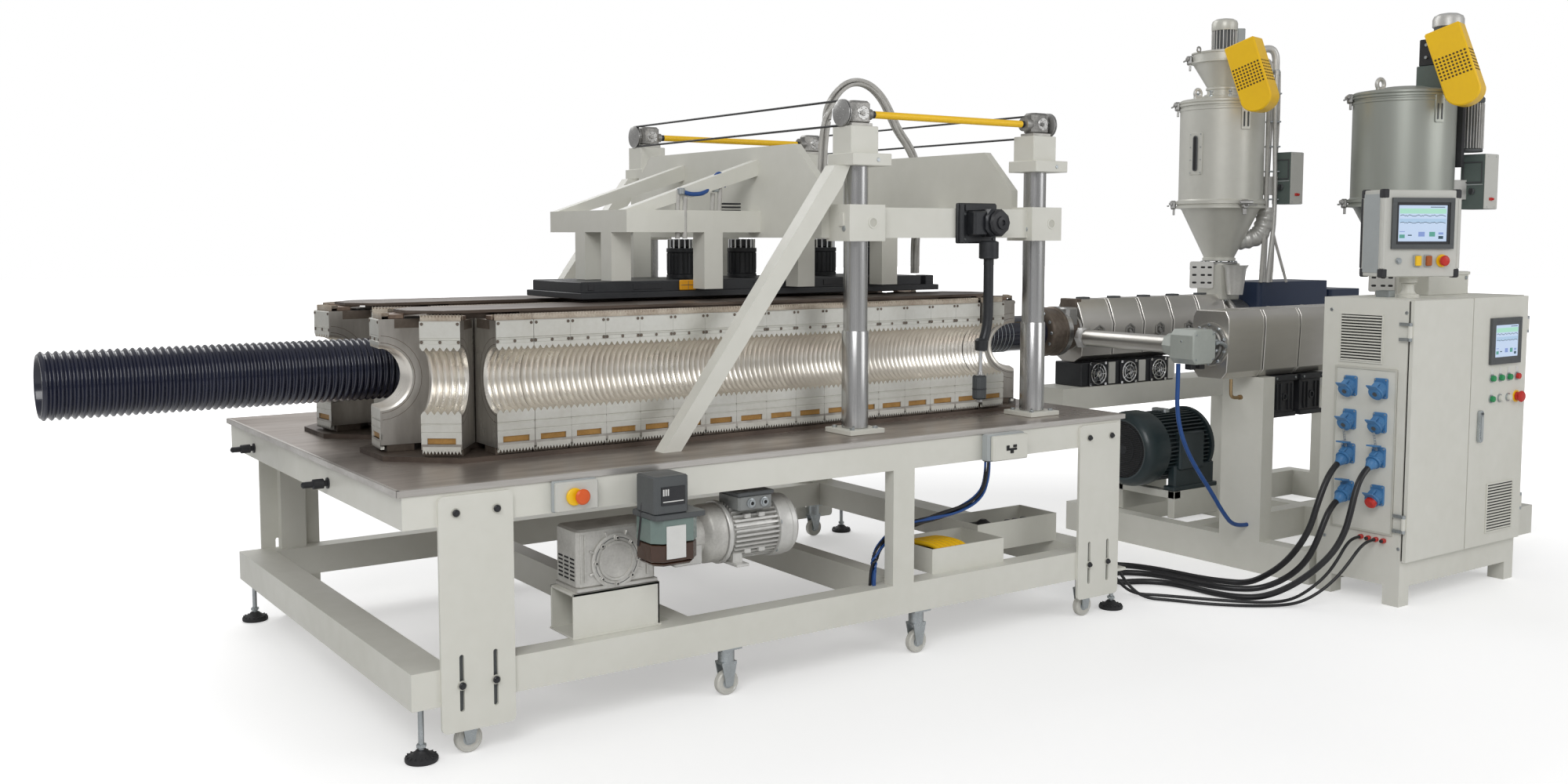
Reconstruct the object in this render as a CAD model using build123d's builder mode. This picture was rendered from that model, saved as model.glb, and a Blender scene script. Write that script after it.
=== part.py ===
from build123d import *
import os
from math import atan2, cos, degrees, hypot, pi, radians, sin, tan

os.makedirs("parts", exist_ok=True)

# Plastic pipe extrusion line: a corrugating table with two chains of half moulds under a four column
# press frame, fed by two extruders with hoppers and run from a control cabinet. Millimetres, X along
# the line from the pipe's free end to the drives, Y away from the operator, Z up. The origin is on
# the floor under the front left levelling foot of the table.

# Clearances
seat = 0.3
link_gap = 0.6
run = 6.0

# Table
table_length = 3717
table_width = 2372
table_height = 1000
plate_thick = 24
foot_inset = (93, 63)
table_left = -foot_inset[0]
table_front = -foot_inset[1]
table_right = table_left + table_length
table_back = table_front + table_width
plate_bottom = table_height - plate_thick

# Corrugating tunnel
pipe_y = table_front + table_width / 2
pipe_rise = 318
pipe_z = table_height + pipe_rise
pipe_radius = 132
rib_depth = 9
link_pitch = 160
chain_margin = 1000
link_count = 6 + int((table_length - chain_margin) * 2 / link_pitch)
sprocket_radius = 160
chain_phase = 6
mould_face = 223
mould_back = 5
track_thick = 20
shoe_height = 28
mould_height = 504
shoe_inset = 25
shoe_depth = 110
rack_inset = 14
rack_depth = 36
rack_height = 28
recess_rise = 34
recess_length = 112
recess_height = 24
recess_depth = 9
ribs_per_mould = 6
rib_pitch = link_pitch / ribs_per_mould
bore_gap = 0.3
chain_left = table_left + 577
chain_half = sprocket_radius + mould_face
front_chain_y = pipe_y - chain_half
back_chain_y = pipe_y + chain_half
track_top = table_height + track_thick
mould_bottom = track_top + shoe_height
mould_top = mould_bottom + mould_height
pipe_free_end = -1040


# Chain geometry: the joints lie on two straights joined by half circles of the sprocket's radius
def joint_at(travel, straight):
    """Plan position of a joint after a travel that starts where the outer lane meets the left turn."""
    turn = pi * sprocket_radius
    travel = travel % (2 * straight + 2 * turn)
    if travel < turn:
        angle = travel / sprocket_radius
        return -sprocket_radius * sin(angle), -sprocket_radius * cos(angle)
    if travel < turn + straight:
        return travel - turn, sprocket_radius
    if travel < 2 * turn + straight:
        angle = (travel - turn - straight) / sprocket_radius
        return straight + sprocket_radius * sin(angle), sprocket_radius * cos(angle)
    return 2 * turn + 2 * straight - travel, -sprocket_radius


def next_joint(travel, straight):
    """Travel of the joint one link further on, found by halving an interval."""
    here = joint_at(travel, straight)
    low, high = travel + link_pitch * 0.9, travel + link_pitch * 1.3
    for _ in range(40):
        middle = (low + high) / 2
        there = joint_at(middle, straight)
        if hypot(there[0] - here[0], there[1] - here[1]) < link_pitch:
            low = middle
        else:
            high = middle
    return low


def chain_joints(straight):
    """Travels of all joints, one more than there are links."""
    travels = [radians(chain_phase) * sprocket_radius]
    for _ in range(link_count):
        travels.append(next_joint(travels[-1], straight))
    return travels


def closing_straight():
    """Length of the straights for which the chain of whole links closes on itself."""
    low = (link_count - 6) / 2 * link_pitch - link_pitch / 2
    high = low + link_pitch
    for _ in range(40):
        middle = (low + high) / 2
        travels = chain_joints(middle)
        loop = 2 * middle + 2 * pi * sprocket_radius
        if travels[-1] - travels[0] > loop:
            low = middle
        else:
            high = middle
    return low


straight = closing_straight()
chain_right = chain_left + straight


def mould_places(centre_y, side):
    """Places of the mould blocks; side is 1 for the front chain and -1 for its mirror image."""
    travels = chain_joints(straight)
    places = []
    for start, end in zip(travels, travels[1:]):
        x1, y1 = joint_at(start, straight)
        x2, y2 = joint_at(end, straight)
        turn = degrees(atan2(y1 - y2, x1 - x2))
        x = chain_left + (x1 + x2) / 2
        y = centre_y + side * (y1 + y2) / 2
        places.append((x, y, turn if side > 0 else 180 - turn))
    return places


front_places = mould_places(front_chain_y, 1)
back_places = mould_places(back_chain_y, -1)


def is_closed(y):
    """True for a joint line on the closed lane."""
    return abs(abs(y - pipe_y) - mould_face) < 0.01


# Profile of a half mould block, its joint line at zero and its mating face towards -Y
half_length = link_pitch / 2 - link_gap / 2


def draw_mould():
    """Side view of a block with its half bore, guide shoe and top rack."""
    with Locations((-(mould_face + mould_back) / 2, (mould_bottom + mould_top) / 2)):
        Rectangle(mould_face - mould_back, mould_height)
    with Locations((-mould_face + shoe_inset + shoe_depth / 2, track_top + shoe_height / 2)):
        Rectangle(shoe_depth, shoe_height)
    with Locations((-mould_face + rack_inset + rack_depth / 2, mould_top + rack_height / 2)):
        Rectangle(rack_depth, rack_height)
    with Locations((-mould_face, pipe_z)):
        Circle(pipe_radius + bore_gap, mode=Mode.SUBTRACT)


# One half mould block, with the recess low on its mating face
with BuildPart() as mould:
    with BuildSketch(Plane.YZ.offset(-half_length)):
        draw_mould()
    extrude(amount=2 * half_length)
    with BuildSketch(Plane.XZ.offset(mould_face)):
        with Locations((0, mould_bottom + recess_rise)):
            Rectangle(recess_length, recess_height)
    extrude(amount=-recess_depth, mode=Mode.SUBTRACT)

# The closed lane, where the blocks of both chains meet round the pipe, is one row
closed_x = [x for x, y, turn in front_places if is_closed(y)]
with BuildPart() as closed_row:
    with BuildSketch(Plane.YZ.offset(min(closed_x) - half_length)):
        draw_mould()
    extrude(amount=max(closed_x) - min(closed_x) + 2 * half_length)
facing_row = mirror(closed_row.part, about=Plane.XZ)

# Mould chains
with BuildPart() as mould_chain_front:
    with Locations(*[Location((x, y, 0), (0, 0, turn)) for x, y, turn in front_places if not is_closed(y)]):
        add(mould.part, clean=False)
    with Locations((0, pipe_y - mould_face, 0)):
        add(facing_row, clean=False)
mould_chain_front.part.label = "mould_chain_front"
export_step(mould_chain_front.part, "parts/mould_chain_front.step")

with BuildPart() as mould_chain_back:
    with Locations(*[Location((x, y, 0), (0, 0, turn)) for x, y, turn in back_places if not is_closed(y)]):
        add(mould.part, clean=False)
    with Locations((0, pipe_y + mould_face, 0)):
        add(closed_row.part, clean=False)
mould_chain_back.part.label = "mould_chain_back"
export_step(mould_chain_back.part, "parts/mould_chain_back.step")

# Guide cores: a beam between the lanes, a drum at each turn and a top plate over them
core_half = sprocket_radius + mould_back - seat
drum_radius = sprocket_radius * cos(pi / 6) + mould_back - seat
core_end = 180
core_neck_half = 90
guide_thick = 12
guide_half = 185
guide_reach = 265
guide_corner = 110
core_top = mould_top + 22


def build_core(centre_y):
    """Guide core of one chain, seated on its track plate."""
    with BuildPart(mode=Mode.PRIVATE) as core:
        with BuildSketch(Plane.XY.offset(track_top)):
            with Locations(((chain_left + chain_right) / 2, centre_y)):
                Rectangle(straight - 2 * core_end, 2 * core_half)
                Rectangle(straight, 2 * core_neck_half)
            with Locations((chain_left, centre_y), (chain_right, centre_y)):
                Circle(drum_radius)
        extrude(amount=core_top - track_top)
        with BuildSketch(Plane.XY.offset(core_top)) as top:
            with Locations(((chain_left + chain_right) / 2, centre_y)):
                Rectangle(straight + 2 * guide_reach, 2 * guide_half)
            chamfer(top.vertices(), guide_corner)
        extrude(amount=guide_thick)
    return core.part


with BuildPart() as guide_cores:
    add(build_core(front_chain_y))
    add(build_core(back_chain_y))
guide_cores.part.label = "guide_cores"
export_step(guide_cores.part, "parts/guide_cores.step")

# Track plates on the table, one under each chain
track_margin = 12
track_corner = 230
with BuildPart() as track_plates:
    for centre_y in (front_chain_y, back_chain_y):
        with BuildSketch(Plane.XY.offset(table_height)) as track:
            with Locations(((chain_left + chain_right) / 2, centre_y)):
                Rectangle(straight + 2 * chain_half + 2 * track_margin, 2 * chain_half - 2 * track_margin)
            chamfer(track.vertices(), track_corner)
        extrude(amount=track_thick)
track_plates.part.label = "track_plates"
export_step(track_plates.part, "parts/track_plates.step")

# Corrugated pipe: ribbed where it is free, plain inside the closed moulds
pipe_wall = 14
pipe_core_radius = pipe_radius - rib_depth
ribbed_end = chain_left + 60
pipe_end = chain_right - 60
rib_count = int((ribbed_end - pipe_free_end) / rib_pitch)
with BuildPart() as corrugated_pipe:
    with BuildSketch(Plane.XZ.offset(-pipe_y)):
        with BuildLine():
            points = [(pipe_free_end, pipe_z + pipe_core_radius - pipe_wall)]
            for rib in range(rib_count):
                start = pipe_free_end + rib * rib_pitch
                points.append((start, pipe_z + pipe_core_radius))
                points.append((start + rib_pitch / 2, pipe_z + pipe_radius))
            points.append((pipe_free_end + rib_count * rib_pitch, pipe_z + pipe_core_radius))
            points.append((pipe_end, pipe_z + pipe_core_radius))
            points.append((pipe_end, pipe_z + pipe_core_radius - pipe_wall))
            Polyline(*points, close=True)
        make_face()
    revolve(axis=Axis((0, pipe_y, pipe_z), (1, 0, 0)))
corrugated_pipe.part.label = "corrugated_pipe"
export_step(corrugated_pipe.part, "parts/corrugated_pipe.step")

# Table plate, with an apron under its edges
with BuildPart() as table_top:
    with BuildSketch(Plane.XY.offset(plate_bottom)):
        with Locations((table_left + table_length / 2, table_front + table_width / 2)):
            Rectangle(table_length, table_width)
    extrude(amount=plate_thick)
    chamfer(table_top.edges().filter_by(Axis.Z), 12)
table_top.part.label = "table_top"
export_step(table_top.part, "parts/table_top.step")

apron_height = 120
apron_thick = 60
apron_inset = 6
apron_right_inset = 27
apron_left = table_left + 20
apron_right = table_right - apron_right_inset
apron_front = table_front + apron_inset
apron_back = table_back - apron_inset
apron_bottom = plate_bottom - apron_height
with BuildPart() as table_apron:
    with BuildSketch(Plane.XY.offset(apron_bottom)):
        with Locations(((apron_left + apron_right) / 2, (apron_front + apron_back) / 2)):
            Rectangle(apron_right - apron_left, apron_back - apron_front)
            Rectangle(apron_right - apron_left - 2 * apron_thick, apron_back - apron_front - 2 * apron_thick,
                      mode=Mode.SUBTRACT)
    extrude(amount=apron_height)
table_apron.part.label = "table_apron"
export_step(table_apron.part, "parts/table_apron.step")

# Lower frame: rails front and back, wide end beams and cross beams
rail_bottom = 204
rail_height = 136
rail_depth = 100
rail_top = rail_bottom + rail_height
frame_left = table_left + 40
frame_right = table_right - 67
frame_length = frame_right - frame_left
end_beam = 150
cross_beam = 90
frame_bay = 1193
column_left = table_right - 1512
cross_beam_x = (table_left + frame_bay, column_left + 148)
ear_thick = 14
ear_reach = 100
gland_radius = 22
gland_length = 20
gland_z = rail_bottom + 68
thick_gland_y = (table_front + 333, table_front + 433, table_front + 533)
thin_gland_y = (table_front + 153, table_front + 213)
with BuildPart() as lower_frame:
    with BuildSketch(Plane.XY.offset(rail_bottom)):
        for y in (apron_front + rail_depth / 2, apron_back - rail_depth / 2):
            with Locations(((frame_left + frame_right) / 2, y)):
                Rectangle(frame_length, rail_depth)
        for x, width in ((frame_left + end_beam / 2, end_beam), (frame_right - end_beam / 2, end_beam),
                         (cross_beam_x[0], cross_beam), (cross_beam_x[1], cross_beam)):
            with Locations((x, (apron_front + apron_back) / 2)):
                Rectangle(width, apron_back - apron_front)
    extrude(amount=rail_height)
    with BuildSketch(Plane.XY.offset(rail_bottom)):
        for y in (apron_front + rail_depth / 2, apron_back - rail_depth / 2):
            with Locations((frame_right + ear_reach / 2, y)):
                Rectangle(ear_reach, rail_depth)
    extrude(amount=ear_thick)
    with BuildSketch(Plane.YZ.offset(frame_right)):
        with Locations(*[(y, gland_z) for y in thick_gland_y + thin_gland_y]):
            Circle(gland_radius)
    extrude(amount=gland_length)
lower_frame.part.label = "lower_frame"
export_step(lower_frame.part, "parts/lower_frame.step")

# Leg plates bolted over apron and rail at the corners, with slots
leg_width = 284
leg_thick = 14
leg_bottom = 103
leg_top = 964
leg_left_inset = 146
leg_right_inset = 43
leg_x = (table_left + leg_left_inset + leg_width / 2, table_right - leg_right_inset - leg_width / 2)
slot_width = 18
slot_length = 210
slot_spread = 130
slot_z = rail_top - 60
with BuildPart() as leg_plates:
    for side, y in ((-1, apron_front), (1, apron_back)):
        for x in leg_x:
            with BuildSketch(Plane.XZ.offset(-y)) as leg:
                with Locations((x, (leg_bottom + leg_top) / 2)):
                    RectangleRounded(leg_width, leg_top - leg_bottom, 22)
                with Locations((x - slot_spread / 2, slot_z), (x + slot_spread / 2, slot_z)):
                    SlotOverall(slot_length, slot_width, rotation=90, mode=Mode.SUBTRACT)
            extrude(amount=-side * leg_thick)
leg_plates.part.label = "leg_plates"
export_step(leg_plates.part, "parts/leg_plates.step")

# Posts between rail and apron
post_width = 120
post_x = (leg_x[0], column_left + 88, leg_x[1])
with BuildPart() as table_posts:
    with BuildSketch(Plane.XY.offset(rail_top)):
        for x in post_x:
            for y in (apron_front + apron_thick / 2, apron_back - apron_thick / 2):
                with Locations((x, y)):
                    Rectangle(post_width, apron_thick)
    extrude(amount=apron_bottom - rail_top)
table_posts.part.label = "table_posts"
export_step(table_posts.part, "parts/table_posts.step")

# Levelling feet
foot_radius = 60
foot_height = 18
stud_radius = 12
nut_radius = 20
nut_height = 16
foot_x_right = frame_right + ear_reach - 40
foot_places = ((0, 0), (foot_x_right, 0), (0, apron_back - rail_depth / 2),
               (foot_x_right, apron_back - rail_depth / 2))
with BuildPart() as levelling_feet:
    with BuildSketch():
        with Locations(*foot_places):
            Circle(foot_radius)
    extrude(amount=foot_height, taper=8)
    with BuildSketch(Plane.XY.offset(foot_height)):
        with Locations(*foot_places):
            Circle(stud_radius)
    extrude(amount=rail_bottom - foot_height)
    with BuildSketch(Plane.XY.offset(rail_bottom - nut_height)):
        with Locations(*foot_places):
            RegularPolygon(nut_radius, 6)
    extrude(amount=nut_height)
levelling_feet.part.label = "levelling_feet"
export_step(levelling_feet.part, "parts/levelling_feet.step")

# Casters: two fixed under the front leg plates and two swivelling ones between, the same at the back
caster_radius = 52
caster_width = 38
caster_plate = 96
caster_plate_thick = 8
cheek_thick = 6
axle_radius = 8
caster_x = (table_left + 267, cross_beam_x[0] + 196, cross_beam_x[1] + 57, table_right - 227)
caster_y = (apron_front + rail_depth / 2, apron_back - rail_depth / 2)
cheek_gap = caster_width + 2 * 3
neck_radius = 34
neck_height = 60
cheek_top = 138
cheek_bottom = 40
cheek_top_half = 36
cheek_bottom_half = 16
bridge_height = 10
with BuildPart() as caster_forks:
    for x in caster_x:
        for y in caster_y:
            with BuildSketch(Plane.XY.offset(rail_bottom - caster_plate_thick)):
                with Locations((x, y)):
                    Rectangle(caster_plate, caster_plate)
            extrude(amount=caster_plate_thick)
            with BuildSketch(Plane.XY.offset(rail_bottom - caster_plate_thick - neck_height)):
                with Locations((x, y)):
                    Circle(neck_radius)
            extrude(amount=neck_height)
            for side in (-1, 1):
                with BuildSketch(Plane.XZ.offset(-(y + side * (cheek_gap + cheek_thick) / 2))):
                    with BuildLine():
                        Polyline((x - cheek_top_half, cheek_top), (x + cheek_top_half, cheek_top),
                                 (x + cheek_bottom_half, cheek_bottom), (x - cheek_bottom_half, cheek_bottom),
                                 close=True)
                    make_face()
                extrude(amount=cheek_thick / 2, both=True)
            with BuildSketch(Plane.XY.offset(rail_bottom - caster_plate_thick - neck_height - 4)):
                with Locations((x, y)):
                    Rectangle(2 * cheek_top_half, cheek_gap + 2 * cheek_thick)
            extrude(amount=bridge_height)
            with BuildSketch(Plane.XZ.offset(-y)):
                with Locations((x, caster_radius)):
                    Circle(axle_radius)
            extrude(amount=cheek_gap / 2 + cheek_thick, both=True)
caster_forks.part.label = "caster_forks"
export_step(caster_forks.part, "parts/caster_forks.step")

with BuildPart() as caster_wheels:
    for x in caster_x:
        for y in caster_y:
            with BuildSketch(Plane.XZ.offset(-y)):
                with Locations((x, caster_radius)):
                    Circle(caster_radius)
                    Circle(axle_radius + seat, mode=Mode.SUBTRACT)
            extrude(amount=caster_width / 2, both=True)
caster_wheels.part.label = "caster_wheels"
export_step(caster_wheels.part, "parts/caster_wheels.step")

# Press frame columns on square bases, with head plates
column_radius = 55
column_spread = 1110
column_x = (column_left, column_left + column_spread)
column_inset = 250
column_y = (table_front + column_inset, table_back - column_inset)
column_places = [(x, y) for x in column_x for y in column_y]
base_size = 195
base_thick = 20
column_rise = 1191
head_bottom = table_height + column_rise
head_thick = 56
head_length = 270
head_width = 200
head_shift = 35
screw_box = 190
screw_box_height = 118
sleeve_radius = 61
sleeve_height = 440
sleeve_rim = 6
sleeve_rim_height = 14
with BuildPart() as columns:
    with BuildSketch(Plane.XY.offset(table_height)):
        with Locations(*column_places):
            Rectangle(base_size, base_size)
    extrude(amount=base_thick)
    with BuildSketch(Plane.XY.offset(table_height + base_thick)):
        with Locations(*column_places):
            Circle(column_radius)
    extrude(amount=head_bottom - table_height - base_thick)
    with BuildSketch(Plane.XY.offset(table_height + base_thick)):
        with Locations(column_places[0]):
            Circle(sleeve_radius)
    extrude(amount=sleeve_height)
    with BuildSketch(Plane.XY.offset(table_height + base_thick + sleeve_height)):
        with Locations(column_places[0]):
            Circle(sleeve_radius + sleeve_rim)
    extrude(amount=sleeve_rim_height)
columns.part.label = "columns"
export_step(columns.part, "parts/columns.step")

with BuildPart() as column_heads:
    with BuildSketch(Plane.XY.offset(head_bottom)):
        with Locations(*[(x + head_shift, y) for x, y in column_places]):
            Rectangle(head_length, head_width)
    extrude(amount=head_thick)
    with BuildSketch(Plane.XY.offset(head_bottom + head_thick)):
        with Locations(*column_places):
            Rectangle(screw_box, screw_box)
    extrude(amount=screw_box_height)
column_heads.part.label = "column_heads"
export_step(column_heads.part, "parts/column_heads.step")

# Gearboxes and pulleys on the heads, belts across the line and shafts along it
gear_bottom = head_bottom + head_thick + screw_box_height
gear_height = 115
gear_length = 125
gear_width = 100
shaft_z = gear_bottom + gear_height / 2
hub_radius = 30
hub_length = 42
pulley_radius = 48
pulley_thick = 30
shaft_radius = 17
belt_thick = 6
belt_width = 16
with BuildPart() as head_gearboxes:
    for x, y in column_places:
        side = -1 if x == column_x[0] else 1
        with BuildSketch(Plane.XY.offset(gear_bottom)):
            with Locations((x, y)):
                Rectangle(gear_length, gear_width)
        extrude(amount=gear_height)
        with BuildSketch(Plane.YZ.offset(x + side * gear_length / 2)):
            with Locations((y, shaft_z)):
                Circle(pulley_radius)
        extrude(amount=side * pulley_thick)
        with BuildSketch(Plane.YZ.offset(x - side * gear_length / 2)):
            with Locations((y, shaft_z)):
                Circle(hub_radius)
        extrude(amount=-side * hub_length)
head_gearboxes.part.label = "head_gearboxes"
export_step(head_gearboxes.part, "parts/head_gearboxes.step")

with BuildPart() as cross_belts:
    for x, side in ((column_x[0], -1), (column_x[1], 1)):
        middle = x + side * (gear_length + pulley_thick) / 2
        with BuildSketch(Plane.YZ.offset(middle - belt_width / 2)):
            with Locations((pipe_y, shaft_z)):
                SlotCenterToCenter(column_y[1] - column_y[0], 2 * (pulley_radius + seat + belt_thick))
                SlotCenterToCenter(column_y[1] - column_y[0], 2 * (pulley_radius + seat), mode=Mode.SUBTRACT)
        extrude(amount=belt_width)
cross_belts.part.label = "cross_belts"
export_step(cross_belts.part, "parts/cross_belts.step")

shaft_start = column_x[0] + gear_length / 2 + hub_length
shaft_end = column_x[1] - gear_length / 2 - hub_length
with BuildPart() as line_shafts:
    with BuildSketch(Plane.YZ.offset(shaft_start)):
        with Locations((column_y[0], shaft_z), (column_y[1], shaft_z)):
            Circle(shaft_radius)
    extrude(amount=shaft_end - shaft_start)
line_shafts.part.label = "line_shafts"
export_step(line_shafts.part, "parts/line_shafts.step")

# Sloping braces from the table to the left hand heads
brace_foot_x = column_x[0] - 1015
brace_width = 70
brace_depth = 85
brace_head_x = column_x[0] + head_shift - head_length / 2
brace_arm = 40
with BuildPart() as column_braces:
    for y in column_y:
        with BuildSketch(Plane.XZ.offset(-y + brace_width / 2)):
            with BuildLine():
                Polyline((brace_foot_x, table_height), (brace_foot_x + brace_depth, table_height),
                         (brace_head_x, head_bottom - brace_depth), (brace_head_x + brace_arm, head_bottom - 2),
                         (brace_head_x + brace_arm, head_bottom), (brace_head_x - brace_depth / 2, head_bottom),
                         close=True)
            make_face()
        extrude(amount=-brace_width)
column_braces.part.label = "column_braces"
export_step(column_braces.part, "parts/column_braces.step")

# Carriage: slide blocks on the columns, beams, bridge plates and the cantilever
slide_bottom = table_height + 860
slide_top = slide_bottom + 161
slide_length = 200
slide_width = 170
slide_gap = 0.3
beam_size = 100
beam_bottom = table_height + 899
beam_top = beam_bottom + beam_size
cross_beam_height = 136
cross_beam_bottom = table_height + 874
carriage_left = column_x[0] - 856
bridge_thick = 42
left_bridge_x = column_x[0] - slide_length / 2 - bridge_thick
right_bridge_x = column_x[1] - 75
inner_beam_spread = 336
inner_beam_y = (pipe_y - inner_beam_spread, pipe_y + inner_beam_spread)
with BuildPart() as slide_blocks:
    with BuildSketch(Plane.XY.offset(slide_bottom)):
        with Locations(*column_places):
            Rectangle(slide_length, slide_width)
            Circle(column_radius + slide_gap, mode=Mode.SUBTRACT)
    extrude(amount=slide_top - slide_bottom)
slide_blocks.part.label = "slide_blocks"
export_step(slide_blocks.part, "parts/slide_blocks.step")

bridge_bottom = cross_beam_bottom
bridge_shoulder = table_height + 1105
bridge_top = table_height + 1300
bridge_foot = column_y[1] - pipe_y - 64
bridge_crown = bridge_foot - 216
bridge_inner = (column_y[1] - column_y[0] - slide_width) / 2
with BuildPart() as bridge_plates:
    for x, foot in ((left_bridge_x, bridge_foot), (right_bridge_x, bridge_inner)):
        with BuildSketch(Plane.YZ.offset(x)):
            with BuildLine():
                Polyline((pipe_y - foot, bridge_bottom), (pipe_y - foot, bridge_shoulder),
                         (pipe_y - bridge_crown, bridge_top), (pipe_y + bridge_crown, bridge_top),
                         (pipe_y + foot, bridge_shoulder), (pipe_y + foot, bridge_bottom), close=True)
            make_face()
        extrude(amount=bridge_thick)
bridge_plates.part.label = "bridge_plates"
export_step(bridge_plates.part, "parts/bridge_plates.step")

with BuildPart() as press_beams:
    with BuildSketch(Plane.XY.offset(cross_beam_bottom)):
        middle = (column_x[0] + column_x[1]) / 2
        for y in column_y:
            with Locations((middle, y)):
                Rectangle(column_x[1] - column_x[0] - slide_length, beam_size)
    extrude(amount=cross_beam_height)
    with BuildSketch(Plane.XY.offset(beam_bottom)):
        for y in inner_beam_y:
            with Locations(((left_bridge_x + bridge_thick + right_bridge_x) / 2, y)):
                Rectangle(right_bridge_x - left_bridge_x - bridge_thick, beam_size)
    extrude(amount=beam_size)
press_beams.part.label = "press_beams"
export_step(press_beams.part, "parts/press_beams.step")

strut_depth = 60
strut_top = table_height + 1240
strut_fall = 75
strut_foot = 150
with BuildPart() as cantilever_frame:
    with BuildSketch(Plane.XY.offset(beam_bottom)):
        for y in inner_beam_y:
            with Locations(((carriage_left + left_bridge_x) / 2, y)):
                Rectangle(left_bridge_x - carriage_left, beam_size)
        with Locations((carriage_left + beam_size / 2, pipe_y)):
            Rectangle(beam_size, inner_beam_y[1] - inner_beam_y[0] + beam_size)
    extrude(amount=beam_size)
    for y in inner_beam_y:
        with BuildSketch(Plane.XZ.offset(-y + strut_depth / 2)):
            with BuildLine():
                Polyline((carriage_left, beam_top), (carriage_left + strut_foot, beam_top),
                         (left_bridge_x, strut_top - strut_fall), (left_bridge_x, strut_top), close=True)
            make_face()
        extrude(amount=-strut_depth)
cantilever_frame.part.label = "cantilever_frame"
export_step(cantilever_frame.part, "parts/cantilever_frame.step")

# Press plate over the closed lane, hung from the beams
press_left = column_x[0] - 1036
press_right = column_x[1] + 164
press_clearance = 12
press_bottom = core_top + guide_thick + press_clearance
press_thick = 80
press_top = press_bottom + press_thick
press_half = inner_beam_y[1] - pipe_y - beam_size / 2
hanger_width = 100
hanger_drop = 40
hanger_x = (column_x[0] - 402, column_x[0] + 127, column_x[0] + 647)
with BuildPart() as press_plate:
    with BuildSketch(Plane.XY.offset(press_bottom)):
        with Locations(((press_left + press_right) / 2, pipe_y)):
            Rectangle(press_right - press_left, 2 * press_half)
    extrude(amount=press_thick)
press_plate.part.label = "press_plate"
export_step(press_plate.part, "parts/press_plate.step")

end_hanger_y = (pipe_y - 190, pipe_y + 70)
with BuildPart() as press_hangers:
    for x in hanger_x:
        for y in inner_beam_y:
            with BuildSketch(Plane.XY.offset(press_top - hanger_drop)):
                with Locations((x, y)):
                    Rectangle(hanger_width, beam_size)
            extrude(amount=beam_bottom - press_top + hanger_drop)
    with BuildSketch(Plane.XY.offset(press_top)):
        for y in end_hanger_y:
            with Locations((carriage_left + beam_size / 2, y)):
                Rectangle(beam_size, hanger_width)
    extrude(amount=beam_bottom - press_top)
press_hangers.part.label = "press_hangers"
export_step(press_hangers.part, "parts/press_hangers.step")

cylinder_places = ((column_x[0] - 336, 52), (column_x[0] + 7, 74), (column_x[0] + 495, 55), (column_x[0] + 855, 50))
cylinder_height = 190
with BuildPart() as press_cylinders:
    for x, radius in cylinder_places:
        with BuildSketch(Plane.XY.offset(press_top)):
            with Locations((x, pipe_y)):
                Circle(radius)
        extrude(amount=cylinder_height)
press_cylinders.part.label = "press_cylinders"
export_step(press_cylinders.part, "parts/press_cylinders.step")

# Spindle tool hung from the front beam
tool_x = column_x[1] - 419
tool_plate_x = tool_x - 24
tool_body_shift = 30
tool_plate = (245, 190)
tool_plate_thick = 20
tool_plate_z = (cross_beam_bottom + cross_beam_height / 2)
beam_face = column_y[0] - beam_size / 2
tool_body = (150, 130, 130)
tool_tube_bottom = table_height + 347
tool_rod_bottom = table_height + 240
tool_bottom = table_height + 104
tool_steps = ((tool_tube_bottom, tool_plate_z, 27), (tool_rod_bottom, tool_tube_bottom, 11),
              (tool_bottom, tool_rod_bottom, 34))
with BuildPart() as spindle_tool:
    with BuildSketch(Plane.XZ.offset(-beam_face)):
        with Locations((tool_plate_x, tool_plate_z)):
            Rectangle(*tool_plate)
    extrude(amount=tool_plate_thick)
    with BuildSketch(Plane.XZ.offset(-beam_face + tool_plate_thick)):
        with Locations((tool_x + tool_body_shift, tool_plate_z)):
            RectangleRounded(tool_body[0], tool_body[2], 20)
    extrude(amount=tool_body[1] - tool_plate_thick)
    for low, high, radius in tool_steps:
        with BuildSketch(Plane.XY.offset(low)):
            with Locations((tool_x, beam_face - tool_body[1] / 2)):
                Circle(radius)
        extrude(amount=high - low)
spindle_tool.part.label = "spindle_tool"
export_step(spindle_tool.part, "parts/spindle_tool.step")

# Drive under the table: gearbox on a pedestal, motor, grease pump and boxes on the apron
drive_y = table_front + 170
drive_z = table_height - 310
gearbox_left = table_left + 654
gearbox_right = table_left + 1004
gearbox_low = drive_z - 130
gearbox_high = drive_z + 116
gearbox_depth = 200
coupling_radius = 90
pedestal_depth = 180
pedestal_shift = 40
pedestal_grow = 20
motor_left = table_left + 1389
motor_right = table_left + 1641
cowl_right = table_left + 1745
motor_radius = 150
cowl_step = 6
terminal_size = (180, 150, 70)
terminal_sink = 8
terminal_shift = 20
with BuildPart() as drive_gearbox:
    with BuildSketch(Plane.XY.offset(gearbox_low)):
        with Locations(((gearbox_left + gearbox_right) / 2, drive_y)):
            RectangleRounded(gearbox_right - gearbox_left, gearbox_depth, 30)
    extrude(amount=gearbox_high - gearbox_low)
    with BuildSketch(Plane.YZ.offset(gearbox_right)):
        with Locations((drive_y, drive_z)):
            Circle(coupling_radius)
    extrude(amount=motor_left - gearbox_right)
    with BuildSketch(Plane.XY.offset(rail_top)):
        with Locations(((gearbox_left + gearbox_right) / 2, drive_y - pedestal_shift)):
            Rectangle(gearbox_right - gearbox_left + 2 * pedestal_grow, pedestal_depth)
    extrude(amount=gearbox_low - rail_top)
drive_gearbox.part.label = "drive_gearbox"
export_step(drive_gearbox.part, "parts/drive_gearbox.step")

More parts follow.
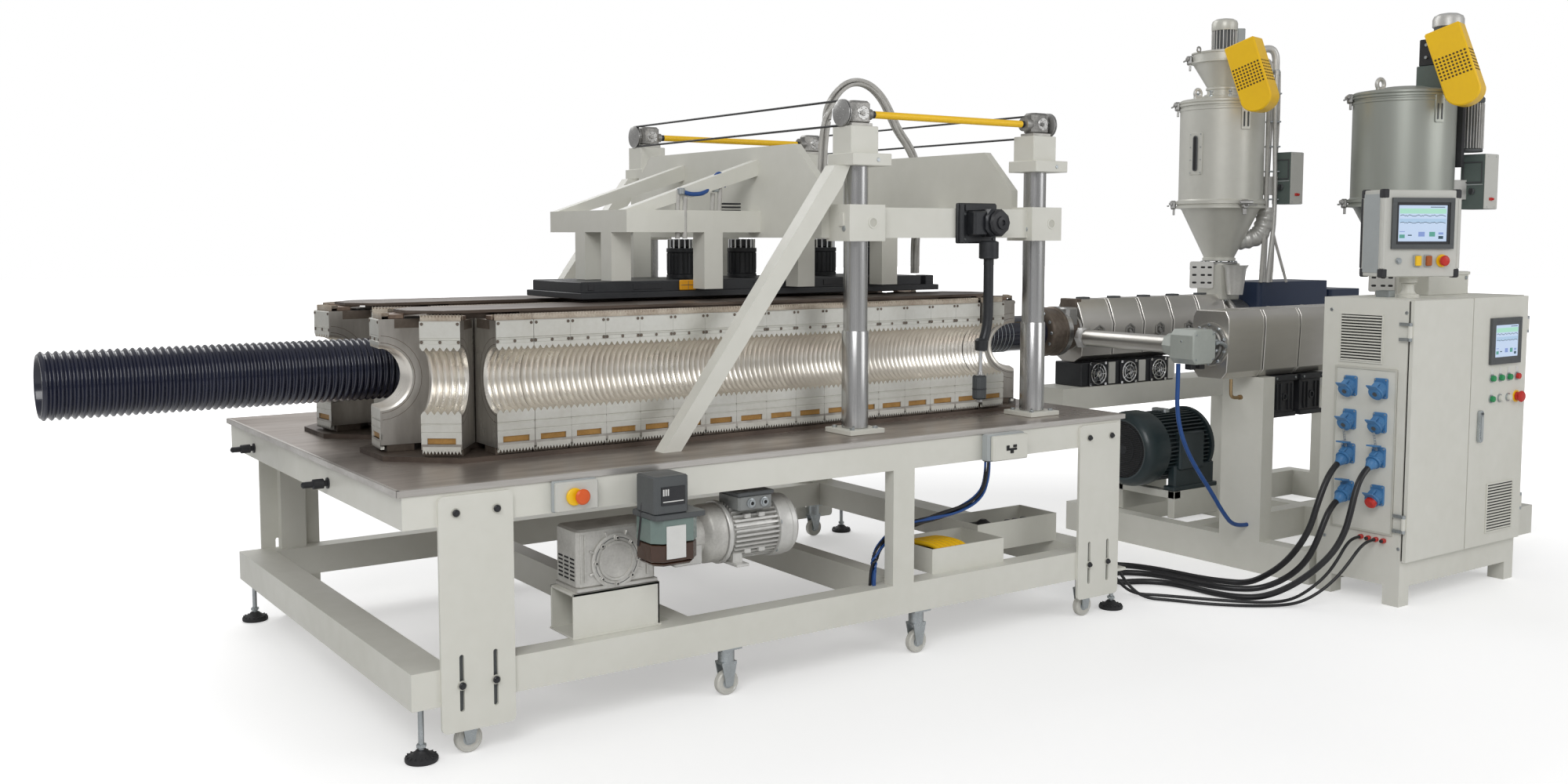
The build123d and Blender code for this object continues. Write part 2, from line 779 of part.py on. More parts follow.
with BuildPart() as drive_motor:
    with BuildSketch(Plane.YZ.offset(motor_left)):
        with Locations((drive_y, drive_z)):
            Circle(motor_radius)
    extrude(amount=motor_right - motor_left)
    with BuildSketch(Plane.YZ.offset(motor_right)):
        with Locations((drive_y, drive_z)):
            Circle(motor_radius - cowl_step)
    extrude(amount=cowl_right - motor_right)
    with BuildSketch(Plane.XY.offset(drive_z + motor_radius - terminal_sink)):
        with Locations(((motor_left + motor_right) / 2 - terminal_shift, drive_y)):
            Rectangle(terminal_size[0], terminal_size[1])
    extrude(amount=terminal_size[2])
drive_motor.part.label = "drive_motor"
export_step(drive_motor.part, "parts/drive_motor.step")

apron_box_sizes = ((table_left + 676, plate_bottom - 58, 183, 116, 70),
                   (column_x[0] + 627, plate_bottom - 71, 300, 107, 80))
with BuildPart() as apron_boxes:
    for x, z, width, height, depth in apron_box_sizes:
        with BuildSketch(Plane.XZ.offset(-apron_front)):
            with Locations((x, z)):
                RectangleRounded(width, height, 12)
        extrude(amount=depth)
apron_boxes.part.label = "apron_boxes"
export_step(apron_boxes.part, "parts/apron_boxes.step")

pump_x = table_left + 1038
pump_reach = 190
pump_head = (225, 160)
pump_head_z = plate_bottom - 81
pump_tank_radius = 88
pump_tank_bottom = plate_bottom - 336
pump_tank_height = 175
pump_tank_shift = 5
with BuildPart() as grease_pump:
    with BuildSketch(Plane.XZ.offset(-apron_front)):
        with Locations((pump_x, pump_head_z)):
            RectangleRounded(*pump_head, 20)
    extrude(amount=pump_reach)
    with BuildSketch(Plane.XY.offset(pump_tank_bottom)):
        with Locations((pump_x, apron_front - pump_reach / 2 - pump_tank_shift)):
            Circle(pump_tank_radius)
    extrude(amount=pump_tank_height)
grease_pump.part.label = "grease_pump"
export_step(grease_pump.part, "parts/grease_pump.step")

tray_wall = 6
tray_sizes = ((column_x[0] + 538, table_front + 223, 447, 300, 114),
              (column_x[0] + 1041, table_front + 393, 540, 260, 140))
with BuildPart() as service_trays:
    for x, y, width, depth, height in tray_sizes:
        with BuildSketch(Plane.XY.offset(rail_top)):
            with Locations((x, y)):
                Rectangle(width, depth)
        extrude(amount=height)
        with BuildSketch(Plane.XY.offset(rail_top + tray_wall)):
            with Locations((x, y)):
                Rectangle(width - 2 * tray_wall, depth - 2 * tray_wall)
        extrude(amount=height, mode=Mode.SUBTRACT)
service_trays.part.label = "service_trays"
export_step(service_trays.part, "parts/service_trays.step")

# Die head in line with the pipe, its mandrel reaching into the moulds
die_distance = 560
die_length = 248
die_left = table_right + die_distance
die_right = die_left + die_length
die_radius = 147
mandrel_reach = 90
side_y = table_front + 230
side_z = pipe_z - 28
melt_x = die_left + 197
melt_radius = 48
port_radius = 50
port_reach = 172
with BuildPart() as die_head:
    with BuildSketch(Plane.YZ.offset(die_left)):
        with Locations((pipe_y, pipe_z)):
            Circle(die_radius)
    extrude(amount=die_right - die_left)
    with BuildSketch(Plane.YZ.offset(pipe_end - mandrel_reach)):
        with Locations((pipe_y, pipe_z)):
            Circle(pipe_core_radius - pipe_wall - seat)
    extrude(amount=die_left - pipe_end + mandrel_reach)
    with BuildSketch(Plane.XZ.offset(-pipe_y)):
        with Locations((melt_x, side_z)):
            Circle(port_radius)
    extrude(amount=port_reach)
die_head.part.label = "die_head"
export_step(die_head.part, "parts/die_head.step")

# Melt pipe from the side extruder to the die head
adapter_left = die_left + 95
adapter_right = adapter_left + 204
adapter_half = 93
cone_length = 170
flange_radius = 112
flange_length = 80
with BuildPart() as melt_pipe:
    with BuildSketch(Plane.XZ.offset(-(pipe_y - port_reach))):
        with Locations((melt_x, side_z)):
            Circle(melt_radius)
    extrude(amount=pipe_y - port_reach - side_y - adapter_half - cone_length)
    with BuildSketch(Plane.XZ.offset(-(side_y + adapter_half + cone_length))):
        with Locations((melt_x, side_z)):
            Circle(melt_radius)
    with BuildSketch(Plane.XZ.offset(-(side_y + adapter_half))):
        with Locations((melt_x, side_z)):
            Circle(melt_radius + 26)
    loft()
    with BuildSketch(Plane.YZ.offset(adapter_left)):
        with Locations((side_y, side_z)):
            adapter = Rectangle(2 * adapter_half, 2 * adapter_half)
        chamfer(adapter.vertices(), 22)
    extrude(amount=adapter_right - adapter_left)
    with BuildSketch(Plane.YZ.offset(adapter_right)):
        with Locations((side_y, side_z)):
            Circle(flange_radius)
    extrude(amount=flange_length)
melt_pipe.part.label = "melt_pipe"
export_step(melt_pipe.part, "parts/melt_pipe.step")

# Barrels with their heater covers
cover_half_height = 190
cover_half_width = 125
cover_gap = 8
barrel_radius = 80
main_barrel_left = die_right + 28
main_cover = 272
main_cover_count = 5
side_barrel_left = adapter_right + flange_length
side_cover = 322
side_cover_count = 5


def build_barrel(left, y, z, cover, count):
    """Barrel with a row of heater covers, rounded above and below."""
    with BuildPart(mode=Mode.PRIVATE) as barrel:
        with BuildSketch(Plane.YZ.offset(left)):
            with Locations((y, z)):
                Circle(barrel_radius)
        extrude(amount=cover * count)
        for index in range(count):
            with BuildSketch(Plane.YZ.offset(left + index * cover + cover_gap / 2)):
                with Locations((y, z)):
                    SlotOverall(2 * cover_half_height, 2 * cover_half_width, rotation=90)
            extrude(amount=cover - cover_gap)
    return barrel.part


with BuildPart() as main_barrel:
    add(build_barrel(main_barrel_left, pipe_y, pipe_z, main_cover, main_cover_count))
    with BuildSketch(Plane.YZ.offset(die_right)):
        with Locations((pipe_y, pipe_z)):
            Circle(barrel_radius + 40)
    extrude(amount=main_barrel_left - die_right)
main_barrel.part.label = "main_barrel"
export_step(main_barrel.part, "parts/main_barrel.step")

with BuildPart() as side_barrel:
    add(build_barrel(side_barrel_left, side_y, side_z, side_cover, side_cover_count))
side_barrel.part.label = "side_barrel"
export_step(side_barrel.part, "parts/side_barrel.step")

# Base frame on the floor and the main extruder's bed
base_left = die_left + 673
base_right = base_left + 2343
base_front = side_y - 457
base_back = pipe_y + 367
base_height = 180
base_beam = 100
base_middle = side_y + 393
base_rows = (base_front + base_beam / 2, base_middle, base_back - base_beam / 2)
column_depth = 100
column_width = 272
base_bay = 1163
base_ties = (base_left + base_beam / 2, base_left + base_bay, base_right - base_beam / 2)
with BuildPart() as base_frame:
    with BuildSketch():
        for y in base_rows:
            with Locations(((base_left + base_right) / 2, y)):
                Rectangle(base_right - base_left, base_beam)
        for x in base_ties:
            with Locations((x, (base_front + base_back) / 2)):
                Rectangle(base_beam, base_back - base_front)
    extrude(amount=base_height)
    with BuildSketch(Plane.XY.offset(base_height)):
        for x in base_ties[:2]:
            with Locations((x, side_y)):
                Rectangle(column_depth, column_width)
    extrude(amount=side_z - cover_half_height - seat - base_height)
base_frame.part.label = "base_frame"
export_step(base_frame.part, "parts/base_frame.step")

bed_left = die_left + 103
bed_right = base_right + 26
bed_drop = 334
bed_top = pipe_z - bed_drop
bed_height = 130
bed_half = 130
bed_legs = (base_ties[1], base_ties[2])
leg_length = 90
with BuildPart() as main_bed:
    with BuildSketch(Plane.XY.offset(bed_top - bed_height)):
        with Locations(((bed_left + bed_right) / 2, pipe_y)):
            Rectangle(bed_right - bed_left, 2 * bed_half)
    extrude(amount=bed_height)
    with BuildSketch(Plane.XY.offset(base_height)):
        for x in bed_legs:
            with Locations((x, pipe_y)):
                Rectangle(leg_length, 2 * bed_half)
    extrude(amount=bed_top - bed_height - base_height)
main_bed.part.label = "main_bed"
export_step(main_bed.part, "parts/main_bed.step")

# Air ducts with fans under the covers
duct_right = main_barrel_left + 840
fan_radius = 68
fan_depth = 26
duct_half = 110
duct_top = pipe_z - cover_half_height - seat
side_fan_x = (side_barrel_left + 537, side_barrel_left + 787)
side_fan_width = 220
side_fan_height = 240
with BuildPart() as barrel_fans:
    with BuildSketch(Plane.XY.offset(bed_top)):
        with Locations(((main_barrel_left + duct_right) / 2, pipe_y)):
            Rectangle(duct_right - main_barrel_left, 2 * duct_half)
    extrude(amount=duct_top - bed_top)
    with BuildSketch(Plane.XZ.offset(-(pipe_y - duct_half))):
        for index in range(3):
            with Locations((main_barrel_left + main_cover * (index + 0.5), (bed_top + duct_top) / 2)):
                Circle(fan_radius)
    extrude(amount=fan_depth)
    with BuildSketch(Plane.XY.offset(side_z - cover_half_height - seat - side_fan_height)):
        for x in side_fan_x:
            with Locations((x, side_y)):
                Rectangle(side_fan_width, side_fan_width)
    extrude(amount=side_fan_height)
barrel_fans.part.label = "barrel_fans"
export_step(barrel_fans.part, "parts/barrel_fans.step")

# Main motor on its foot, cowl towards the table
motor_y = side_y + 770
main_motor_z = base_height + 415
main_motor_radius = 230
main_motor_left = base_left - 120
main_motor_length = 640
cowl_length = 190
with BuildPart() as main_motor:
    with BuildSketch(Plane.YZ.offset(main_motor_left)):
        with Locations((motor_y, main_motor_z)):
            Circle(main_motor_radius)
    extrude(amount=cowl_length)
    fillet(main_motor.edges().sort_by(Axis.X)[0], 40)
    with BuildSketch(Plane.YZ.offset(main_motor_left + cowl_length)):
        with Locations((motor_y, main_motor_z)):
            Circle(main_motor_radius - 14)
    extrude(amount=main_motor_length - cowl_length)
    with BuildSketch(Plane.XY.offset(base_height)):
        with Locations((main_motor_left + main_motor_length / 2 + 60, motor_y)):
            Rectangle(main_motor_length - 240, 300)
    extrude(amount=main_motor_z - base_height)
main_motor.part.label = "main_motor"
export_step(main_motor.part, "parts/main_motor.step")

# Gearboxes at the drive ends, with the belt guard behind the main one
main_feed_left = main_barrel_left + main_cover * main_cover_count
feed_length = 236
main_gear_length = 757
guard_gap = 59
guard_length = 354
main_gear_left = main_feed_left + feed_length
main_gear_right = main_gear_left + main_gear_length
main_gear_top = pipe_z + 262
guard_left = main_gear_right + guard_gap
guard_right = guard_left + guard_length
guard_top = pipe_z + 198
side_feed_left = side_barrel_left + side_cover * side_cover_count
side_feed_length = 292
side_gear_length = 715
side_gear_left = side_feed_left + side_feed_length
side_gear_right = side_gear_left + side_gear_length
side_gear_top = side_z + 190
with BuildPart() as extruder_gearboxes:
    for left, right, y, low, high, width in (
            (main_gear_left, main_gear_right, pipe_y, bed_top, main_gear_top, 340),
            (guard_left, guard_right, pipe_y, bed_top, guard_top, 300),
            (side_gear_left, side_gear_right, side_y, base_height, side_gear_top, 320)):
        with BuildSketch(Plane.XY.offset(low)):
            with Locations(((left + right) / 2, y)):
                RectangleRounded(right - left, width, 30)
        extrude(amount=high - low)
extruder_gearboxes.part.label = "extruder_gearboxes"
export_step(extruder_gearboxes.part, "parts/extruder_gearboxes.step")

# Feed throats, hoppers, lids and loaders
feed_width = 240
throat_width = 290
throat_top = pipe_z + 376
hopper_bottom = throat_top + 25
cone_height = 339
cone_radius = 102
hopper_radius = 285
ring_height = 52
ring_grow = 18
hopper_height = 605
lid_height = 82
hoppers = ((main_feed_left + 62, pipe_y, pipe_z, main_feed_left, main_gear_left),
           (side_feed_left + 146, side_y, side_z, side_feed_left, side_gear_left))
cylinder_bottom = hopper_bottom + cone_height + ring_height
cylinder_top = cylinder_bottom + hopper_height


def build_feed(x, y, z, left, right):
    """Feed block between barrel and gearbox, with the throat on top."""
    with BuildPart(mode=Mode.PRIVATE) as feed:
        with BuildSketch(Plane.YZ.offset(left)):
            with Locations((y, z)):
                Rectangle(feed_width, 2 * cover_half_height)
        extrude(amount=right - left)
        with BuildSketch(Plane.XY.offset(z + cover_half_height)):
            with Locations((x, y)):
                Rectangle(throat_width - 40, throat_width)
        extrude(amount=throat_top - z - cover_half_height)
        with BuildSketch(Plane.XY.offset(throat_top)):
            with Locations((x, y)):
                Circle(cone_radius)
        extrude(amount=hopper_bottom - throat_top)
    return feed.part


def build_hopper(x, y):
    """Drying hopper: cone, ring and cylinder."""
    with BuildPart(mode=Mode.PRIVATE) as hopper:
        with BuildSketch(Plane.XZ.offset(-y)):
            with BuildLine():
                Polyline((x, hopper_bottom), (x + cone_radius, hopper_bottom),
                         (x + hopper_radius - 20, hopper_bottom + cone_height),
                         (x + hopper_radius + ring_grow, hopper_bottom + cone_height),
                         (x + hopper_radius + ring_grow, cylinder_bottom),
                         (x + hopper_radius, cylinder_bottom),
                         (x + hopper_radius, cylinder_top),
                         (x, cylinder_top), close=True)
            make_face()
        revolve(axis=Axis((x, y, 0), (0, 0, 1)))
    return hopper.part


blower_turn = -35
duct_radius = 50
duct_low = hopper_bottom + 150
duct_reach = 340
tube_radius = 13
tube_count = 3
tube_spread = 34
tube_reach = hopper_radius + ring_grow + tube_radius
loader_motor_radius = 82
loader_neck_radius = 90
loader_rim_radius = 145
loader_cone_height = 165
loader_rim_height = 70
loader_motor_height = 210
tower_size = 190
tower_height = 320
guard_sizes = ((285, 120, 455), (265, 130, 525))
guard_tilt = 17
guard_arm = (50, 60)
guard_arm_rise = 100
box_width = 110
box_depth = (155, 245)
box_height = 335


def blower_side(x, y, reach, swing=0):
    """Plan point at a reach from a hopper's axis, on the side where its blower stands."""
    angle = radians(blower_turn + swing)
    return x + reach * cos(angle), y + reach * sin(angle)


def build_guard(place, size, anchor):
    """Tilted belt guard in front of a hopper's lid, with the arm that carries it from an anchor point."""
    x, y, z = place
    tilt = radians(guard_tilt)
    plane = Plane(origin=place, x_dir=(cos(tilt), 0, sin(tilt)), z_dir=(0, -1, 0))
    with BuildPart(mode=Mode.PRIVATE) as guard:
        with BuildSketch(plane) as outline:
            Rectangle(size[0], size[2])
            fillet(outline.vertices(), 28)
        extrude(amount=size[1])
        with BuildSketch(Plane.XY.offset(z + guard_arm_rise)):
            along = degrees(atan2(anchor[1] - y, anchor[0] - x))
            with Locations(Location(((x + anchor[0]) / 2, (y + anchor[1]) / 2, 0), (0, 0, along))):
                Rectangle(hypot(anchor[0] - x, anchor[1] - y) + guard_arm[0], guard_arm[0])
        extrude(amount=guard_arm[1])
    return guard.part


def build_duct(x, y):
    """Air duct that leaves the cone towards the blower's side and turns up."""
    with BuildPart(mode=Mode.PRIVATE) as duct:
        with BuildLine() as centre_line:
            start = (*blower_side(x, y, cone_radius), duct_low)
            corner = (*blower_side(x, y, duct_reach), duct_low)
            end = (*blower_side(x, y, duct_reach), hopper_bottom + cone_height + ring_height)
            FilletPolyline(start, corner, end, radius=2 * duct_radius)
        with BuildSketch(Plane(origin=start, z_dir=(corner[0] - start[0], corner[1] - start[1], 0))):
            Circle(duct_radius)
        sweep(path=centre_line.line)
    return duct.part


def build_control(x, y, reach, depth, low):
    """Control box beside a hopper, with the arm that carries it."""
    cx, cy = blower_side(x, y, reach)
    with BuildPart(mode=Mode.PRIVATE) as control:
        with BuildSketch(Plane.XY.offset(low)):
            with Locations((cx, cy)):
                Rectangle(box_width, depth)
        extrude(amount=box_height)
        with BuildSketch(Plane.XY.offset(low + 60)):
            with Locations(Location((*blower_side(x, y, (reach + hopper_radius) / 2), 0), (0, 0, blower_turn))):
                Rectangle(reach - hopper_radius + 40, 30)
        extrude(amount=120)
    return control.part


def build_lid(x, y):
    """Lid of a hopper, raised in the middle."""
    with BuildPart(mode=Mode.PRIVATE) as lid:
        with BuildSketch(Plane.XZ.offset(-y)):
            with BuildLine():
                Polyline((x, cylinder_top), (x + hopper_radius + 8, cylinder_top),
                         (x + hopper_radius + 8, cylinder_top + 20), (x + 150, cylinder_top + lid_height),
                         (x, cylinder_top + lid_height), close=True)
            make_face()
        revolve(axis=Axis((x, y, 0), (0, 0, 1)))
    return lid.part


def build_loader(x, y):
    """Vacuum loader on the middle of a lid: neck, cone, rim and motor."""
    neck = cylinder_top + lid_height
    cone = neck + 40 + loader_cone_height
    rim = cone + loader_rim_height
    with BuildPart(mode=Mode.PRIVATE) as loader:
        with BuildSketch(Plane.XZ.offset(-y)):
            with BuildLine():
                Polyline((x, neck), (x + loader_neck_radius, neck), (x + loader_neck_radius, neck + 40),
                         (x + loader_rim_radius - 15, cone - 5), (x + loader_rim_radius, cone),
                         (x + loader_rim_radius, rim), (x + loader_motor_radius, rim),
                         (x + loader_motor_radius, rim + loader_motor_height), (x, rim + loader_motor_height),
                         close=True)
            make_face()
        revolve(axis=Axis((x, y, 0), (0, 0, 1)))
    return loader.part


tower_reach = 205
tower_bottom = cylinder_top + lid_height / 2
tower_motor_height = 160
blower_motor_radius = 84
blower_motor_low = cylinder_bottom + 285
blower_motor_height = cylinder_top + 20 - blower_motor_low


def build_tower(x, y):
    """Fan tower at the rim of a lid, with its motor on top and the blower's motor beside the hopper."""
    tower_x, tower_y = blower_side(x, y, tower_reach)
    motor_x, motor_y = blower_side(x, y, hopper_radius + blower_motor_radius + 12)
    with BuildPart(mode=Mode.PRIVATE) as tower:
        with BuildSketch(Plane.XY.offset(tower_bottom)):
            with Locations((tower_x, tower_y)):
                Rectangle(tower_size, tower_size)
        extrude(amount=tower_height)
        with BuildSketch(Plane.XY.offset(tower_bottom + tower_height)):
            with Locations((tower_x, tower_y)):
                Circle(loader_motor_radius)
        extrude(amount=tower_motor_height)
        with BuildSketch(Plane.XY.offset(blower_motor_low)):
            with Locations((motor_x, motor_y)):
                Circle(blower_motor_radius)
        extrude(amount=blower_motor_height)
        with BuildSketch(Plane.XY.offset(cylinder_top + 20)):
            with Locations(((tower_x + motor_x) / 2, (tower_y + motor_y) / 2)):
                Rectangle(240, 150)
        extrude(amount=60)
    return tower.part


with BuildPart() as feed_throats:
    for hopper in hoppers:
        add(build_feed(*hopper))
feed_throats.part.label = "feed_throats"
export_step(feed_throats.part, "parts/feed_throats.step")

control_reach = (432, 500)
control_low = (cylinder_bottom - 22, cylinder_bottom - 64)
with BuildPart() as drying_hoppers:
    for (x, y, *_), reach, depth, low in zip(hoppers, control_reach, box_depth, control_low):
        add(build_hopper(x, y))
        add(build_duct(x, y))
        add(build_control(x, y, reach, depth, low))
    with BuildSketch(Plane.XY.offset(main_gear_top)):
        for index in range(tube_count):
            swing = degrees((index - (tube_count - 1) / 2) * tube_spread / tube_reach)
            with Locations(blower_side(*hoppers[0][:2], tube_reach, swing)):
                Circle(tube_radius)
    extrude(amount=cylinder_top + lid_height + 150 - main_gear_top)
drying_hoppers.part.label = "drying_hoppers"
export_step(drying_hoppers.part, "parts/drying_hoppers.step")

guard_clearance = 15
guard_shift = (-181, -57)
guard_rise = (136, 158)
guard_anchors = (hoppers[0][:2], blower_side(*hoppers[1][:2], tower_reach))
with BuildPart() as hopper_loaders:
    for x, y, *_ in hoppers:
        add(build_lid(x, y))
    add(build_loader(*hoppers[0][:2]))
    add(build_tower(*hoppers[1][:2]))
    for (x, y, *_), shift, rise, size, anchor in zip(hoppers, guard_shift, guard_rise, guard_sizes, guard_anchors):
        rim = hopper_radius + 8
        front = y - (rim ** 2 - (abs(shift) - size[0] / 2) ** 2) ** 0.5 if abs(shift) > size[0] / 2 else y - rim
        add(build_guard((x + shift, front - guard_clearance, cylinder_top + rise), size, anchor))
hopper_loaders.part.label = "hopper_loaders"
export_step(hopper_loaders.part, "parts/hopper_loaders.step")

# Control cabinet: hollow body on a plinth, open to the front
cabinet_distance = 638
cabinet_width = 1110
cabinet_left = die_left + cabinet_distance
cabinet_right = cabinet_left + cabinet_width
cabinet_back = table_front - 293
cabinet_depth = 502
cabinet_front = cabinet_back - cabinet_depth
cabinet_bottom = 231
cabinet_top = 1565
door_thick = 20
door_gap = 8
cabinet_wall = 8
plinth_leg = 100
leg_size = 90
body_front = cabinet_front + door_thick + door_gap
cabinet_middle = (cabinet_left + cabinet_right) / 2
with BuildPart() as cabinet_body:
    with BuildSketch(Plane.XY.offset(cabinet_bottom)):
        with Locations((cabinet_middle, (body_front + cabinet_back) / 2)):
            Rectangle(cabinet_right - cabinet_left, cabinet_back - body_front)
    extrude(amount=cabinet_top - cabinet_bottom)
    with BuildSketch(Plane.XZ.offset(-body_front)):
        with Locations((cabinet_middle, (cabinet_bottom + cabinet_top) / 2)):
            Rectangle(cabinet_right - cabinet_left - 2 * cabinet_wall, cabinet_top - cabinet_bottom - 2 * cabinet_wall)
    extrude(amount=-(cabinet_back - body_front - cabinet_wall), mode=Mode.SUBTRACT)
cabinet_body.part.label = "cabinet_body"
export_step(cabinet_body.part, "parts/cabinet_body.step")

with BuildPart() as cabinet_plinth:
    with BuildSketch(Plane.XY.offset(plinth_leg)):
        with Locations((cabinet_middle, (body_front + cabinet_back) / 2)):
            Rectangle(cabinet_right - cabinet_left, cabinet_back - body_front)
    extrude(amount=cabinet_bottom - plinth_leg)
    with BuildSketch():
        for x in (cabinet_left + leg_size / 2, cabinet_right - leg_size / 2):
            for y in (body_front + leg_size / 2, cabinet_back - leg_size / 2):
                with Locations((x, y)):
                    Rectangle(leg_size, leg_size)
    extrude(amount=plinth_leg)
cabinet_plinth.part.label = "cabinet_plinth"
export_step(cabinet_plinth.part, "parts/cabinet_plinth.step")

# Doors with knuckles, on pins beside the body
door_bottom = cabinet_bottom + 4
door_top = cabinet_top - 4
door_split = 8
door_edge_gap = 5
hinge_out = 12
knuckle_radius = 10
knuckle_height = 60
pin_radius = 5
pin_gap = 0.1
lug_height = 16
hinge_z = (cabinet_bottom + 200, cabinet_top - 160)
hinge_y = cabinet_front + door_thick / 2


def build_door(side):
    """One door; side is -1 for the left door and 1 for the right one."""
    outer = cabinet_left if side < 0 else cabinet_right
    edge = outer - side * door_edge_gap
    inner = cabinet_middle + side * door_split / 2
    pin_x = outer + side * hinge_out
    with BuildPart(mode=Mode.PRIVATE) as door:
        with BuildSketch(Plane.XZ.offset(-cabinet_front - door_thick)):
            with Locations(((edge + inner) / 2, (door_bottom + door_top) / 2)):
                Rectangle(abs(edge - inner), door_top - door_bottom)
        extrude(amount=door_thick)
        for z in hinge_z:
            with BuildSketch(Plane.XY.offset(z - knuckle_height / 2)):
                with Locations(((edge + pin_x) / 2, hinge_y)):
                    Rectangle(abs(edge - pin_x), 8)
                with Locations((pin_x, hinge_y)):
                    Circle(knuckle_radius)
                    Circle(pin_radius + pin_gap, mode=Mode.SUBTRACT)
            extrude(amount=knuckle_height)
    return door.part


display_size = (300, 245)
display_shift = 318
display_drop = 238
display_reach = 12
button_shift = 203
button_spread = 85
button_drop = 435
button_count = 4
button_pitch = 110
button_radius = 15
button_reach = 18
handle_shift = 92
handle_drop = 683
handle_length = 150
handle_width = 28
with BuildPart() as door_left:
    add(build_door(-1))
door_left.part.label = "door_left"
export_step(door_left.part, "parts/door_left.step")

with BuildPart() as door_right:
    add(build_door(1))
    with BuildSketch(Plane.XZ.offset(-cabinet_front)):
        with Locations((cabinet_middle + display_shift, cabinet_top - display_drop)):
            Rectangle(*display_size)
    extrude(amount=display_reach)
    with BuildSketch(Plane.XZ.offset(-cabinet_front)):
        for index in range(button_count):
            for drop in (button_drop, button_drop + button_pitch):
                with Locations((cabinet_middle + button_shift + index * button_spread, cabinet_top - drop)):
                    Circle(button_radius)
    extrude(amount=button_reach)
    with BuildSketch(Plane.XZ.offset(-cabinet_front)):
        with Locations((cabinet_middle + handle_shift, cabinet_top - handle_drop)):
            SlotOverall(handle_length, handle_width, rotation=90)
    extrude(amount=button_reach)
door_right.part.label = "door_right"
export_step(door_right.part, "parts/door_right.step")

with BuildPart() as cabinet_hinges:
    for side, outer in ((-1, cabinet_left), (1, cabinet_right)):
        pin_x = outer + side * hinge_out
        for z in hinge_z:
            low = z - knuckle_height / 2 - seat - lug_height
            with BuildSketch(Plane.XY.offset(low)):
                with Locations((pin_x, hinge_y)):
                    Circle(pin_radius)
            extrude(amount=knuckle_height + 2 * seat + 2 * lug_height)
            for bottom in (low, z + knuckle_height / 2 + seat):
                with BuildSketch(Plane.XY.offset(bottom)):
                    with Locations((pin_x, hinge_y)):
                        Circle(knuckle_radius)
                    with Locations((outer + side * hinge_out * 0.7, hinge_y + 32)):
                        Rectangle(hinge_out * 1.4, 50)
                extrude(amount=lug_height)
cabinet_hinges.part.label = "cabinet_hinges"
export_step(cabinet_hinges.part, "parts/cabinet_hinges.step")

# Sockets on the side of the cabinet: upright flanges with barrels that slope down
socket_y = (table_front - 464, table_front - 636)
socket_z = (1110, 935, 757, 560)
socket_plate = (76, 104)
socket_radius = 33
socket_reach = 99.7
socket_back = 14
socket_slope = 30
plug_y = (table_front - 553, table_front - 595, table_front - 637, table_front - 679)
plug_z = 330
plug_radius = 13
plug_reach = 34
with BuildPart() as cabinet_sockets:
    for y in socket_y:
        for z in socket_z:
            root = Plane(
                origin=(cabinet_left - socket_back, y, z),
                z_dir=(-cos(radians(socket_slope)), 0, -sin(radians(socket_slope))),
            )
            with BuildSketch(root):
                Circle(socket_radius)
            extrude(amount=socket_reach)
            with BuildSketch(root):
                Circle(socket_radius)
            extrude(amount=-2 * socket_back)
    with BuildSketch(Plane.YZ.offset(cabinet_left - socket_back / 2)):
        with Locations((sum(socket_y) / 2, sum(socket_z) / 4)):
            Rectangle(cabinet_depth, door_top)
    extrude(amount=2 * socket_reach, mode=Mode.SUBTRACT)
    with BuildSketch(Plane.YZ.offset(cabinet_left)):
        for y in socket_y:
            for z in socket_z:
                with Locations((y, z)):
                    RectangleRounded(*socket_plate, 10)
    extrude(amount=-socket_back)
    with BuildSketch(Plane.YZ.offset(cabinet_left)):
        with Locations(*[(y, plug_z) for y in plug_y]):
            Circle(plug_radius)
    extrude(amount=-plug_reach)
cabinet_sockets.part.label = "cabinet_sockets"
export_step(cabinet_sockets.part, "parts/cabinet_sockets.step")

# Operator panel on a swivel post, turned towards the operator
panel_x = cabinet_left + 307
panel_y = cabinet_front + 221
panel_turn = -25
panel_width = 450
panel_depth = 200
panel_bottom = cabinet_top + 104
panel_height = 455
post_radius = 30
post_foot_radius = 55
post_foot_height = 16
collar_height = 20
collar_grow = 14
top_box = (400, 180, 125)
top_box_place = (cabinet_left + 778, cabinet_back - 144)
with BuildPart() as panel_post:
    with BuildSketch(Plane.XY.offset(cabinet_top)):
        with Locations((panel_x, panel_y)):
            Circle(post_foot_radius)
    extrude(amount=post_foot_height)
    with BuildSketch(Plane.XY.offset(cabinet_top + post_foot_height)):
        with Locations((panel_x, panel_y)):
            Circle(post_radius)
    extrude(amount=panel_bottom - cabinet_top - post_foot_height - collar_height - run)
    with BuildSketch(Plane.XY.offset(cabinet_top)):
        with Locations(top_box_place):
            Rectangle(top_box[0], top_box[1])
    extrude(amount=top_box[2])
panel_post.part.label = "panel_post"
export_step(panel_post.part, "parts/panel_post.step")

panel_plane = Plane(origin=(panel_x, panel_y, panel_bottom),
                    x_dir=(cos(radians(panel_turn)), sin(radians(panel_turn)), 0))
with BuildPart() as operator_panel:
    with BuildSketch(panel_plane):
        RectangleRounded(panel_width, panel_depth, 14)
    extrude(amount=panel_height)
    with BuildSketch(panel_plane.offset(-collar_height - run)):
        Circle(post_radius + collar_grow)
    extrude(amount=collar_height + run)
    with BuildSketch(panel_plane.offset(-collar_height - run)):
        Circle(post_radius + seat)
    extrude(amount=run, mode=Mode.SUBTRACT)
operator_panel.part.label = "operator_panel"
export_step(operator_panel.part, "parts/operator_panel.step")

